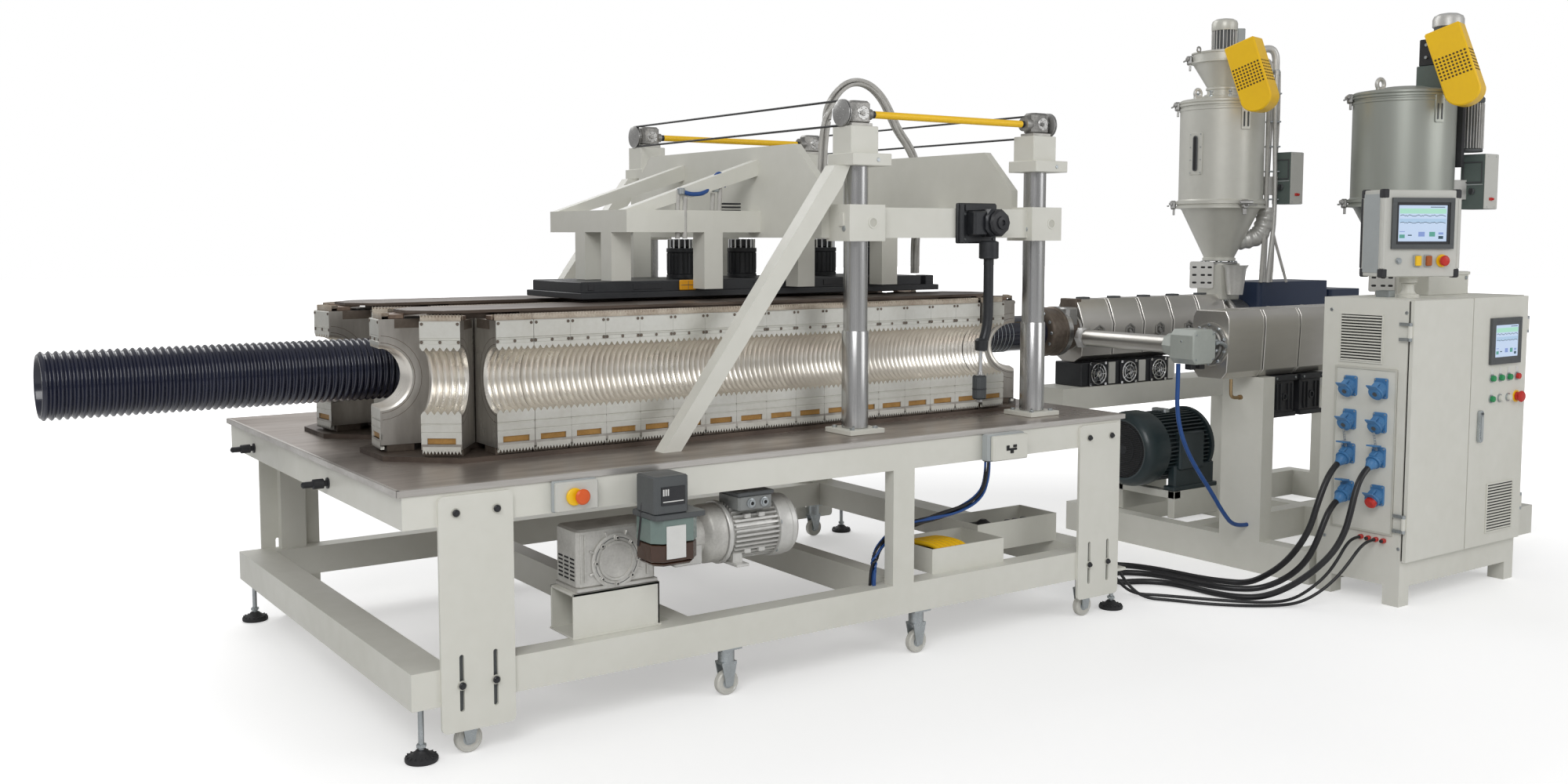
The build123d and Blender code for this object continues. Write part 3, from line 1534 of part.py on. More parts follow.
# Cables and hoses: each follows points chosen by hand, as straight runs joined by arcs
thick_cable = 16
thin_cable = 8
blue_cable = 12
wire_loom = 17
press_hoses = 25
cable_runs = {
    "cable_thick_back": (thick_cable, [
        (4721.4, -527, 707), (4669.4, -527, 677), (4612, -525, 600), (4568, -518, 500), (4545, -500, 390),
        (4540, -440, 277), (4545, -350, 170), (4550, -240, 84), (4545, -130, 22), (4490, -30, 18), (4440, 100, 18),
        (4425, 240, 18), (4400, 400, 18), (4340, 540, 18), (4225, 640, 18), (4085, 655, 18), (3955, 600, 18),
        (3865, 532, 90), (3782, 488, 200), (3690, 470, 272), (3577, 470, 272)]),
    "cable_thick_front": (thick_cable, [
        (4721.4, -699, 707), (4669.4, -699, 677), (4622, -698, 600), (4592, -696, 500), (4560, -688, 395),
        (4515, -655, 290), (4450, -590, 190), (4395, -490, 95), (4335, -375, 28), (4265, -265, 18),
        (4232, -135, 18), (4236, 10, 18), (4208, 150, 18), (4110, 250, 18), (3985, 288, 18), (3880, 302, 85),
        (3785, 280, 200), (3690, 270, 272), (3577, 270, 272)]),
    "cable_thick_middle": (thick_cable, [
        (4721.4, -527, 510), (4669.4, -527, 480), (4622, -524, 405), (4592, -508, 310), (4580, -468, 215),
        (4568, -400, 130), (4540, -318, 64), (4490, -238, 22), (4412, -165, 18), (4355, -60, 18), (4335, 70, 18),
        (4320, 210, 18), (4280, 345, 18), (4165, 455, 18), (4000, 482, 18), (3880, 432, 85), (3785, 388, 200),
        (3690, 370, 272), (3577, 370, 272)]),
    "cable_thin_back": (thin_cable, [
        (4788, -616, 330), (4738, -616, 330), (4684, -612, 296), (4636, -602, 228), (4588, -575, 150),
        (4515, -530, 76), (4425, -488, 26), (4330, -418, 10), (4215, -300, 10), (4095, -140, 10), (3990, 10, 10),
        (3905, 100, 10), (3835, 140, 70), (3765, 150, 165), (3680, 150, 272), (3577, 150, 272)]),
    "cable_thin_front": (thin_cable, [
        (4788, -700, 330), (4738, -700, 330), (4676, -694, 298), (4622, -680, 236), (4570, -650, 160),
        (4500, -600, 80), (4410, -540, 22), (4300, -470, 10), (4170, -375, 10), (4050, -245, 10), (3960, -92, 10),
        (3885, 10, 10), (3825, 62, 68), (3760, 86, 165), (3678, 90, 272), (3577, 90, 272)]),
    "cable_blue": (blue_cable, [
        (4300, 167, 1197), (4300, 167, 1080), (4288, 160, 960), (4305, 148, 835), (4358, 138, 715),
        (4440, 128, 600), (4545, 121, 480), (4645, 118, 355), (4745, 116, 262), (4857, 116, 262)]),
    "cable_wires": (wire_loom, [
        (2660, -97, 851.5), (2660, -97, 760), (2638, -58, 675), (2580, 15, 620), (2490, 58, 590),
        (2390, 72, 572), (2285, 66, 560), (2185, 48, 535), (2075, 8, 468), (2075, 8, 340)]),
    "hose_press": (press_hoses, [
        (2607, 1123, 1868), (2607, 1123, 2020), (2622, 1123, 2210), (2628, 1123, 2400), (2655, 1123, 2540),
        (2720, 1123, 2640), (2815, 1123, 2692), (2920, 1123, 2682), (3010, 1123, 2620), (3075, 1123, 2525),
        (3130, 1123, 2440), (3205, 1123, 2365), (3258, 1123, 2275), (3280, 1123, 2150), (3268, 1123, 2000),
        (3255, 1123, 1868), (3252, 1123, 1768), (3252, 1123, 1678)]),
}


def build_cable(radius, points):
    """Tube along the points; each arc's radius is 0.45 of its shorter run over the tangent of half its turn."""
    points = [Vector(*point) for point in points]
    radii = []
    with BuildPart(mode=Mode.PRIVATE) as cable:
        with BuildLine() as centre_line:
            start = points[0]
            for before, corner, after in zip(points, points[1:], points[2:]):
                back, ahead = (before - corner), (after - corner)
                cut = 0.45 * min(back.length, ahead.length)
                turn = radians(180 - back.get_angle(ahead))
                arc_radius = cut / tan(turn / 2)
                back, ahead = back.normalized(), ahead.normalized()
                middle = (back + ahead).normalized() * (arc_radius / cos(turn / 2) - arc_radius)
                Line(start, corner + back * cut)
                ThreePointArc(corner + back * cut, corner + middle, corner + ahead * cut)
                start = corner + ahead * cut
                radii.append(arc_radius)
            Line(start, points[-1])
        with BuildSketch(Plane(origin=points[0], z_dir=points[1] - points[0])):
            Circle(radius)
        sweep(path=centre_line.line)
    length = sum(edge.length for edge in centre_line.edges())
    expected = pi * radius ** 2 * length
    print(f"length {length:.0f}, smallest radius {min(radii):.0f} = {min(radii) / radius / 2:.1f} diameters,",
          f"volume / expected {cable.part.volume / expected:.4f}")
    return cable.part


for cable_name, (radius, points) in cable_runs.items():
    with BuildPart() as cable:
        add(build_cable(radius, points))
    print(cable_name)
    cable.part.label = cable_name
    export_step(cable.part, f"parts/{cable_name}.step")
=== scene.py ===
# %% [markdown]
# A plastic pipe extrusion line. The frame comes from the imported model: every solid is already in place,
# in metres, and this file only dresses it. X runs along the line, Y away from the operator and Z up.

import math

import bmesh
import bpy
import numpy as np
from mathutils import Euler, Matrix, Vector


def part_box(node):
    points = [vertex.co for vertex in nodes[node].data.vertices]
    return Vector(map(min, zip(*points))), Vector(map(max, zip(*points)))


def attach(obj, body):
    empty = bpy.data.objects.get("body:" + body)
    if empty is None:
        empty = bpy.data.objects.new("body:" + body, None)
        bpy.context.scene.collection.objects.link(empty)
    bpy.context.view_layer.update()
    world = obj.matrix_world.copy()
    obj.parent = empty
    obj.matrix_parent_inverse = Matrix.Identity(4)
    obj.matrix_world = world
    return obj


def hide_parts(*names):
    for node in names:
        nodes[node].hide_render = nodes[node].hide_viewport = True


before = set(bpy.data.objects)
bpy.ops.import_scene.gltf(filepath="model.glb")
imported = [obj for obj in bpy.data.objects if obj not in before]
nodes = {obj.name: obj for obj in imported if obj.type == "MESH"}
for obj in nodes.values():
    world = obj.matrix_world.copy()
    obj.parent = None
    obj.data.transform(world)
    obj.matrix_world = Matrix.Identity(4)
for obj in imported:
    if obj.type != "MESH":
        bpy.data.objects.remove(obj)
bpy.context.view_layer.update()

# %% [markdown]
# Each new piece is a surface worked out with numpy. A shape here is a pair: an array of points and a
# list of faces. Small functions make the shapes that machines are built of, and others carry them to
# their place, so that a motor or a hopper reads as a list of its real parts.

# %% Shapes on a grid of two parameters
def grid(points, wrap_u=False, wrap_v=False, caps=False):
    """Quads over points[u, v]; wrapping joins the last row or column to the first, and caps close the
    first and last rows with one face each."""
    rows, columns = points.shape[:2]
    u = np.arange(rows if wrap_u else rows - 1)
    v = np.arange(columns if wrap_v else columns - 1)
    a, b = np.meshgrid(u, v, indexing="ij")
    c, d = (a + 1) % rows, (b + 1) % columns
    quads = np.stack([a * columns + b, a * columns + d, c * columns + d, c * columns + b], -1)
    faces = quads.reshape(-1, 4).tolist()
    if caps:
        faces += [list(range(columns))[::-1], list(range((rows - 1) * columns, rows * columns))]
    return points.reshape(-1, 3), faces


def merge(shapes):
    """One shape from several: the points follow each other, and the faces count on from them."""
    start = np.cumsum([0] + [len(points) for points, _ in shapes])
    faces = [[i + int(s) for i in face] for (_, fs), s in zip(shapes, start) for face in fs]
    return np.concatenate([points for points, _ in shapes]), faces


def moved(shape, x=0.0, y=0.0, z=0.0):
    """The shape carried by (x, y, z)."""
    return shape[0] + np.array([x, y, z]), shape[1]


def turned(shape, angle, axis="Z", about=(0, 0, 0)):
    """The shape turned by an angle in degrees about a line through a point along X, Y or Z."""
    about = np.array(about, float)
    turn = np.array(Matrix.Rotation(math.radians(angle), 3, axis))
    return (shape[0] - about) @ turn.T + about, shape[1]


def laid(shape, axis):
    """A shape drawn along Z, laid along X, Y, -X, -Y or -Z."""
    turns = {"X": (90, "Y"), "-X": (-90, "Y"), "Y": (-90, "X"), "-Y": (90, "X"), "-Z": (180, "X"),
        "Z": (0, "X")}
    return turned(shape, *turns[axis])


def copies(shape, places):
    """The shape at each (x, y, z) of a list, as one shape."""
    places = np.array(places, float).reshape(-1, 3)
    count = len(shape[0])
    points = (shape[0][None] + places[:, None]).reshape(-1, 3)
    faces = [[i + count * k for i in face] for k in range(len(places)) for face in shape[1]]
    return points, faces


def ring(shape, count, about=(0, 0, 0), axis="Z", start=0.0):
    """The shape repeated in equal turns about an axis."""
    return merge([turned(shape, start + 360 * k / count, axis, about) for k in range(count)])


# %% Turned and drawn shapes
def lathe(profile, segments=32, caps=True):
    """A profile of (radius, height) pairs turned about Z: x = r cos t, y = r sin t, z = h."""
    profile = np.array(profile, float)
    t = np.linspace(0, 2 * math.pi, segments, endpoint=False)
    radius, height = profile[:, :1], profile[:, 1:]
    points = np.stack([radius * np.cos(t), radius * np.sin(t), height + 0 * t], -1)
    return grid(points, wrap_v=True, caps=caps)


def drum(radius, length, bevel=0.002, segments=32):
    """A cylinder along Z from zero to its length, with both rims bevelled."""
    b = min(bevel, radius * 0.4, length * 0.4)
    return lathe([(radius - b, 0), (radius, b), (radius, length - b), (radius - b, length)], segments)


def pipe_ring(outer, inner, length, segments=32):
    """A ring or sleeve along Z: the profile goes up outside and comes down inside."""
    profile = np.array([(inner, 0), (outer, 0), (outer, length), (inner, length)], float)
    t = np.linspace(0, 2 * math.pi, segments, endpoint=False)
    points = np.stack([profile[:, :1] * np.cos(t), profile[:, :1] * np.sin(t), profile[:, 1:] + 0 * t], -1)
    return grid(points, wrap_u=True, wrap_v=True)


# %% Outlines, prisms and boxes
def rounded(width, depth, radius, steps=3):
    """Outline of a rectangle about the origin whose corners are quarter circles."""
    radius = min(radius, width * 0.49, depth * 0.49)
    t = np.linspace(0, math.pi / 2, steps)
    arcs = []
    for k, (sx, sy) in enumerate(((1, 1), (-1, 1), (-1, -1), (1, -1))):
        a = t + k * math.pi / 2
        arcs.append(np.stack([sx * (width / 2 - radius) + radius * np.cos(a),
            sy * (depth / 2 - radius) + radius * np.sin(a)], -1))
    return np.concatenate(arcs)


def inset(outline, amount):
    """The outline moved inwards along the mean of its edge normals."""
    before, after = np.roll(outline, 1, 0), np.roll(outline, -1, 0)
    a = (outline - before) / np.maximum(np.linalg.norm(outline - before, axis=1, keepdims=True), 1e-9)
    b = (after - outline) / np.maximum(np.linalg.norm(after - outline, axis=1, keepdims=True), 1e-9)
    normal = np.stack([-(a + b)[:, 1], (a + b)[:, 0]], -1)
    normal /= np.maximum(np.linalg.norm(normal, axis=1, keepdims=True), 1e-9)
    return outline + normal * amount / np.sqrt(np.maximum((1 + (a * b).sum(1, keepdims=True)) / 2, 0.2))


def prism(outline, height, bevel=0.0):
    """A flat outline, counter-clockwise, drawn up along Z, its rims bevelled."""
    outline = np.array(outline, float)
    if bevel:
        levels = [(inset(outline, bevel), 0), (outline, bevel), (outline, height - bevel),
            (inset(outline, bevel), height)]
    else:
        levels = [(outline, 0), (outline, height)]
    points = np.stack([np.column_stack([o, np.full(len(o), h)]) for o, h in levels])
    return grid(points, wrap_v=True, caps=True)


def sheet(width, depth, radius, height, bevel=0.0):
    """A plate about the origin with round corners, drawn up along Z."""
    return prism(rounded(width, depth, radius), height, bevel)


def block(centre, size, bevel=0.003):
    """A box about its centre with all edges bevelled."""
    w, d, h = size
    bevel = min(bevel, min(size) * 0.3)
    return moved(prism(rounded(w, d, bevel, 2), h, bevel * 0.6), centre[0], centre[1], centre[2] - h / 2)


def box_of(low, high, bevel=0.003):
    """A bevelled box between two corners."""
    low, high = np.array(low, float), np.array(high, float)
    return block((low + high) / 2, high - low, bevel)


# %% Tubes, rings and bolt heads
def hose(path, radius, segments=10, up=(0.31, 0.17, 0.93)):
    """A round tube along a list of points. At each point the circle lies across the mean direction d of
    its two runs, on the axes d x up and d x (d x up)."""
    path = np.array(path, float)
    step = np.gradient(path, axis=0)
    d = step / np.linalg.norm(step, axis=1, keepdims=True)
    a = np.cross(d, np.array(up, float))
    a /= np.linalg.norm(a, axis=1, keepdims=True)
    b = np.cross(d, a)
    t = np.linspace(0, 2 * math.pi, segments, endpoint=False)[None, :, None]
    points = path[:, None] + radius * (np.cos(t) * a[:, None] + np.sin(t) * b[:, None])
    return grid(points, wrap_v=True, caps=True)


def bend(points, steps=8):
    """A smooth line near a few points: each corner is rounded by a curve of second degree between the
    middles of its runs."""
    points = np.array(points, float)
    middles = (points[1:] + points[:-1]) / 2
    t = np.linspace(0, 1, steps)[:, None]
    curves = [(1 - t) ** 2 * a + 2 * t * (1 - t) * p + t ** 2 * b
        for a, p, b in zip(middles[:-1], points[1:-1], middles[1:])]
    return np.concatenate([points[:1]] + [c if k == 0 else c[1:]
        for k, c in enumerate(curves)] + [points[-1:]])


def torus(radius, tube, segments=24, sides=10):
    """A ring about Z: x = (R + r cos v) cos u, y = (R + r cos v) sin u, z = r sin v."""
    u = np.linspace(0, 2 * math.pi, segments, endpoint=False)[:, None]
    v = np.linspace(0, 2 * math.pi, sides, endpoint=False)[None]
    reach = radius + tube * np.cos(v)
    return grid(np.stack([reach * np.cos(u), reach * np.sin(u), tube * np.sin(v) + 0 * u], -1), True, True)


def hexagon(radius, height):
    """A hexagon head or nut along Z."""
    t = np.arange(6) * math.pi / 3
    return prism(np.stack([radius * np.cos(t), radius * np.sin(t)], -1), height, height * 0.15)


def bolt_circle(radius, count, size, height, start=0.0, z=0.0):
    """Hexagon heads on a circle about Z."""
    return ring(moved(hexagon(size, height), radius, z=z), count, start=start)


# %% A piece of the scene from its shapes
def piece(name, parts, body="base", stands_for=(), smooth=32):
    """Makes one object from (shape, material) pairs. Faces are turned outwards, and edges sharper than the
    smooth angle stay sharp."""
    shapes = [shape for shape, _ in parts]
    finishes = list(dict.fromkeys(finish for _, finish in parts))
    points, faces = merge(shapes)
    mesh = bpy.data.meshes.new(name)
    mesh.from_pydata(points.tolist(), [], faces)
    slots = np.repeat([finishes.index(finish) for _, finish in parts], [len(s[1]) for s in shapes])
    mesh.polygons.foreach_set("material_index", slots.astype(np.int32))
    for finish in finishes:
        mesh.materials.append(materials[finish])
    work = bmesh.new()
    work.from_mesh(mesh)
    bmesh.ops.recalc_face_normals(work, faces=work.faces)
    work.to_mesh(mesh)
    work.free()
    mesh.shade_smooth()
    mesh.set_sharp_from_angle(angle=math.radians(smooth))
    thing = bpy.data.objects.new(name, mesh)
    bpy.context.scene.collection.objects.link(thing)
    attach(thing, body)
    if stands_for:
        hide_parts(*stands_for)
    print(f"{name}: {len(faces)} faces")
    return thing


# %% [markdown]
# Paint, steel and aluminium are never one flat colour. One shader group gives every finish its life:
# it lays dirt and faded patches over a colour with two sizes of noise, and its stretch input draws the
# noise out into streaks along a direction, as rolling, brushing and machining leave them.

# %% Shader group for patches and streaks
def new_group(name, inputs, outputs):
    """An empty shader group with the sockets asked for."""
    tree = bpy.data.node_groups.new(name, "ShaderNodeTree")
    for label, kind, value in inputs:
        socket = tree.interface.new_socket(label, in_out="INPUT", socket_type=kind)
        if value is not None:
            socket.default_value = value
    for label, kind in outputs:
        tree.interface.new_socket(label, in_out="OUTPUT", socket_type=kind)
    return tree, tree.nodes.new("NodeGroupInput"), tree.nodes.new("NodeGroupOutput")


def add(tree, kind, operation=None, **values):
    """A shader node of a kind; the values go to its inputs, where an underscore stands for a space."""
    node = tree.nodes.new("ShaderNode" + kind)
    if operation:
        node.operation = operation
    for label, value in values.items():
        node.inputs[label.replace("_", " ")].default_value = value
    return node


def build_patches():
    """Colour, roughness and height from a base and a stain. The mask is a ramp over coarse noise plus a
    share of noise nine times finer."""
    tree, given, result = new_group("patches", [("Base", "NodeSocketColor", None),
        ("Stain", "NodeSocketColor", None), ("Amount", "NodeSocketFloat", 0.3),
        ("Scale", "NodeSocketFloat", 3.0), ("Stretch", "NodeSocketVector", (1, 1, 1)),
        ("Smooth", "NodeSocketFloat", 0.3), ("Rough", "NodeSocketFloat", 0.5)],
        [("Color", "NodeSocketColor"), ("Roughness", "NodeSocketFloat"), ("Height", "NodeSocketFloat")])
    link = tree.links.new
    place = add(tree, "TexCoord")
    stretch = add(tree, "VectorMath", "MULTIPLY")
    link(place.outputs["Object"], stretch.inputs[0])
    link(given.outputs["Stretch"], stretch.inputs[1])
    coarse, fine = add(tree, "TexNoise", Detail=4.0), add(tree, "TexNoise", Detail=3.0)
    for noise in (coarse, fine):
        link(stretch.outputs[0], noise.inputs["Vector"])
    link(given.outputs["Scale"], coarse.inputs["Scale"])
    finer = add(tree, "Math", "MULTIPLY")
    finer.inputs[1].default_value = 9.0
    link(given.outputs["Scale"], finer.inputs[0])
    link(finer.outputs[0], fine.inputs["Scale"])
    both = add(tree, "Math", "MULTIPLY_ADD")
    link(fine.outputs["Fac"], both.inputs[0])
    both.inputs[1].default_value = 0.45
    link(coarse.outputs["Fac"], both.inputs[2])
    ramp = add(tree, "MapRange", From_Min=0.52, From_Max=0.95)
    link(both.outputs[0], ramp.inputs["Value"])
    mask = add(tree, "Math", "MULTIPLY")
    link(ramp.outputs[0], mask.inputs[0])
    link(given.outputs["Amount"], mask.inputs[1])
    mix = add(tree, "Mix")
    mix.data_type = "RGBA"
    link(mask.outputs[0], mix.inputs["Factor"])
    link(given.outputs["Base"], mix.inputs["A"])
    link(given.outputs["Stain"], mix.inputs["B"])
    rough = add(tree, "MapRange", From_Min=0.45, From_Max=1.0)
    link(both.outputs[0], rough.inputs["Value"])
    link(given.outputs["Smooth"], rough.inputs["To Min"])
    link(given.outputs["Rough"], rough.inputs["To Max"])
    link(mix.outputs["Result"], result.inputs["Color"])
    link(rough.outputs[0], result.inputs["Roughness"])
    link(fine.outputs["Fac"], result.inputs["Height"])
    return tree


patches = build_patches()


def finish(name, base, stain=None, amount=0.3, scale=3.0, rough=(0.3, 0.5), metallic=0.0, bump=0.05,
        stretch=(1, 1, 1), coat=0.0):
    """A material whose colour, roughness and bump come from the patches group."""
    material = bpy.data.materials.new(name)
    material.use_nodes = True
    tree = material.node_tree
    shader = tree.nodes["Principled BSDF"]
    shader.inputs["Metallic"].default_value = metallic
    shader.inputs["Coat Weight"].default_value = coat
    group = tree.nodes.new("ShaderNodeGroup")
    group.node_tree = patches
    given = {"Base": (*base, 1), "Stain": (*(stain or [c * 0.7 for c in base]), 1), "Amount": amount,
        "Scale": scale, "Stretch": stretch, "Smooth": rough[0], "Rough": rough[1]}
    for label, value in given.items():
        group.inputs[label].default_value = value
    relief = add(tree, "Bump", Strength=bump, Distance=0.002)
    tree.links.new(group.outputs["Color"], shader.inputs["Base Color"])
    tree.links.new(group.outputs["Roughness"], shader.inputs["Roughness"])
    tree.links.new(group.outputs["Height"], relief.inputs["Height"])
    tree.links.new(relief.outputs["Normal"], shader.inputs["Normal"])
    materials[name] = material


# %% The finishes of the line
materials = {}
finish("ivory", (0.73, 0.725, 0.665), (0.58, 0.575, 0.5), 0.35, 1.6, (0.32, 0.5), bump=0.04)
# Ivory darkened to paint shade: on the frame round the cabinet's side panel, in the bores of the slide bosses
# and round the seats of the leg plate bolts.
finish("ivory_shade", (0.6, 0.595, 0.53), (0.45, 0.44, 0.39), 0.4, 2.0, (0.35, 0.55), bump=0.04)
finish("table_steel", (0.5, 0.45, 0.41), (0.15, 0.12, 0.1), 0.9, 1.1, (0.22, 0.5), 0.75, 0.08, (0.35, 1.6, 1))
# Lighter polished steel for the table's edge strip: real polish, and its lighter colour also paints the
# highlight along the edge.
finish("edge_steel", (0.66, 0.64, 0.61), (0.38, 0.35, 0.32), 0.5, 4, (0.25, 0.4), 0.85, 0.05, (0.2, 1, 3))
finish("track_steel", (0.16, 0.125, 0.1), (0.06, 0.045, 0.04), 0.9, 2.0, (0.3, 0.55), 0.6, 0.08,
    (0.5, 1.4, 1))
finish("mould", (0.86, 0.83, 0.77), (0.58, 0.53, 0.47), 0.45, 3.5, (0.24, 0.42), 0.85, 0.06, (1, 1, 0.35))
finish("mould_plate", (0.7, 0.7, 0.655), (0.52, 0.5, 0.44), 0.5, 5, (0.3, 0.45), 0.55, 0.03)
finish("mould_dark", (0.2, 0.165, 0.135), (0.09, 0.07, 0.055), 0.8, 5, (0.35, 0.55), 0.6, 0.1)
finish("mould_side", (0.62, 0.6, 0.56), (0.24, 0.215, 0.19), 0.75, 3, (0.25, 0.45), 0.8, 0.05, (1, 1, 0.3))
finish("rack_brown", (0.3, 0.22, 0.165), (0.12, 0.08, 0.06), 0.8, 8, (0.35, 0.6), 0.5, 0.1)
finish("rack_pale", (0.62, 0.56, 0.47), (0.3, 0.22, 0.16), 0.7, 12, (0.3, 0.5), 0.6, 0.1)
finish("gold", (0.5, 0.28, 0.085), (0.25, 0.13, 0.04), 0.6, 14, (0.3, 0.45), 0.5, 0.05)
finish("pipe_navy", (0.007, 0.009, 0.024), (0.022, 0.026, 0.05), 0.4, 6, (0.14, 0.26), 0.0, 0.01, coat=0.4)
finish("chrome", (0.86, 0.87, 0.88), (0.6, 0.6, 0.6), 0.3, 4, (0.05, 0.14), 1.0, 0.01, (4, 4, 0.4))
finish("bare_steel", (0.52, 0.52, 0.51), (0.3, 0.29, 0.28), 0.6, 9, (0.25, 0.45), 0.9, 0.08)
finish("cast_aluminium", (0.66, 0.65, 0.615), (0.4, 0.39, 0.365), 0.6, 12, (0.38, 0.55), 0.5, 0.25)
finish("motor_silver", (0.68, 0.675, 0.65), (0.48, 0.475, 0.455), 0.5, 8, (0.32, 0.45), 0.45, 0.1)
finish("black_metal", (0.022, 0.024, 0.028), (0.05, 0.052, 0.055), 0.5, 7, (0.3, 0.5), 0.2, 0.08)
finish("black_plastic", (0.016, 0.017, 0.02), (0.04, 0.04, 0.045), 0.5, 9, (0.35, 0.55), 0.0, 0.06)
finish("yellow", (0.98, 0.6, 0.01), (0.85, 0.48, 0.01), 0.4, 4, (0.28, 0.42), bump=0.03)
finish("motor_green", (0.026, 0.044, 0.05), (0.02, 0.03, 0.034), 0.6, 5, (0.3, 0.45), bump=0.06, coat=0.1)
finish("stainless", (0.63, 0.61, 0.575), (0.42, 0.39, 0.35), 0.5, 2.5, (0.24, 0.36), 0.9, 0.012, (0.3, 2, 2))
finish("hopper", (0.66, 0.655, 0.6), (0.5, 0.5, 0.45), 0.4, 2, (0.3, 0.42), 0.25, 0.02)
finish("gear_blue", (0.018, 0.032, 0.075), (0.03, 0.05, 0.09), 0.4, 4, (0.3, 0.45), bump=0.04)
finish("socket_blue", (0.075, 0.235, 0.48), (0.04, 0.14, 0.32), 0.5, 14, (0.28, 0.45), bump=0.05)
finish("red", (0.62, 0.03, 0.02), (0.4, 0.02, 0.015), 0.4, 12, (0.25, 0.4))
finish("green", (0.02, 0.3, 0.1), None, 0.3, 12, (0.25, 0.4))
finish("brass", (0.5, 0.36, 0.2), (0.33, 0.22, 0.12), 0.5, 12, (0.25, 0.4), 0.85)
finish("rubber", (0.018, 0.018, 0.02), (0.04, 0.04, 0.042), 0.5, 14, (0.4, 0.6), 0.0, 0.1)
finish("cable_black", (0.012, 0.012, 0.014), (0.03, 0.03, 0.033), 0.4, 9, (0.28, 0.45), 0.0, 0.04)
finish("cable_blue", (0.02, 0.085, 0.3), (0.01, 0.045, 0.18), 0.4, 9, (0.3, 0.45), 0.0, 0.04)
finish("caster_white", (0.66, 0.65, 0.6), (0.45, 0.44, 0.4), 0.6, 14, (0.35, 0.5), bump=0.05)
finish("zinc", (0.5, 0.54, 0.56), (0.35, 0.37, 0.38), 0.6, 14, (0.22, 0.4), 0.85, 0.05)
# Dark grey for plastic parts; the same colour paints the shade in the slots of the hopper plates and leg
# plates.
finish("grey_plastic", (0.085, 0.092, 0.095), (0.06, 0.065, 0.07), 0.4, 9, (0.35, 0.5))
finish("panel_pale", (0.6, 0.6, 0.56), (0.52, 0.52, 0.48), 0.3, 5, (0.35, 0.5))
finish("panel_grey", (0.42, 0.45, 0.455), (0.34, 0.36, 0.365), 0.4, 5, (0.3, 0.45))
finish("hose_clear", (0.56, 0.55, 0.52), (0.36, 0.35, 0.33), 0.6, 22, (0.15, 0.3), 0.0, 0.1)
finish("oil_brown", (0.055, 0.022, 0.01), (0.03, 0.012, 0.006), 0.5, 8, (0.15, 0.25), coat=0.3)
# Near black for the sheets laid in holes, slots, vents and openings: painted shade where their inside lies in
# shadow.
finish("dark_hole", (0.01, 0.01, 0.011), None, 0.2, 8, (0.6, 0.7))
finish("white_label", (0.72, 0.72, 0.7), (0.6, 0.6, 0.58), 0.3, 20, (0.4, 0.5))
print(len(materials), "finishes")

# %% Finishes on the solids that stay as they are
plain = {
    "ivory": ("base_frame", "bridge_plates", "cabinet_body", "cabinet_plinth", "cantilever_frame",
        "column_braces", "door_left", "door_right", "leg_plates", "lower_frame", "main_bed", "press_beams",
        "press_hangers", "service_trays", "slide_blocks", "table_apron", "table_posts"),
    "table_steel": ("table_top",), "track_steel": ("track_plates", "guide_cores"),
    "gear_blue": ("extruder_gearboxes",), "zinc": ("cabinet_hinges", "caster_forks"),
}
for name, members in plain.items():
    for node in members:
        mesh = nodes[node].data
        mesh.materials.clear()
        mesh.materials.append(materials[name])
print(sum(len(members) for members in plain.values()), "solids dressed")

# %% [markdown]
# Cables and hoses come first, because their real lengths decide where they lie. Each follows a smooth
# curve through the same points as the model's tube. The supply cables leave the cabinet's plugs, fall to
# the floor, lie there in a loose bow and rise again to the glands on the table's lower frame.

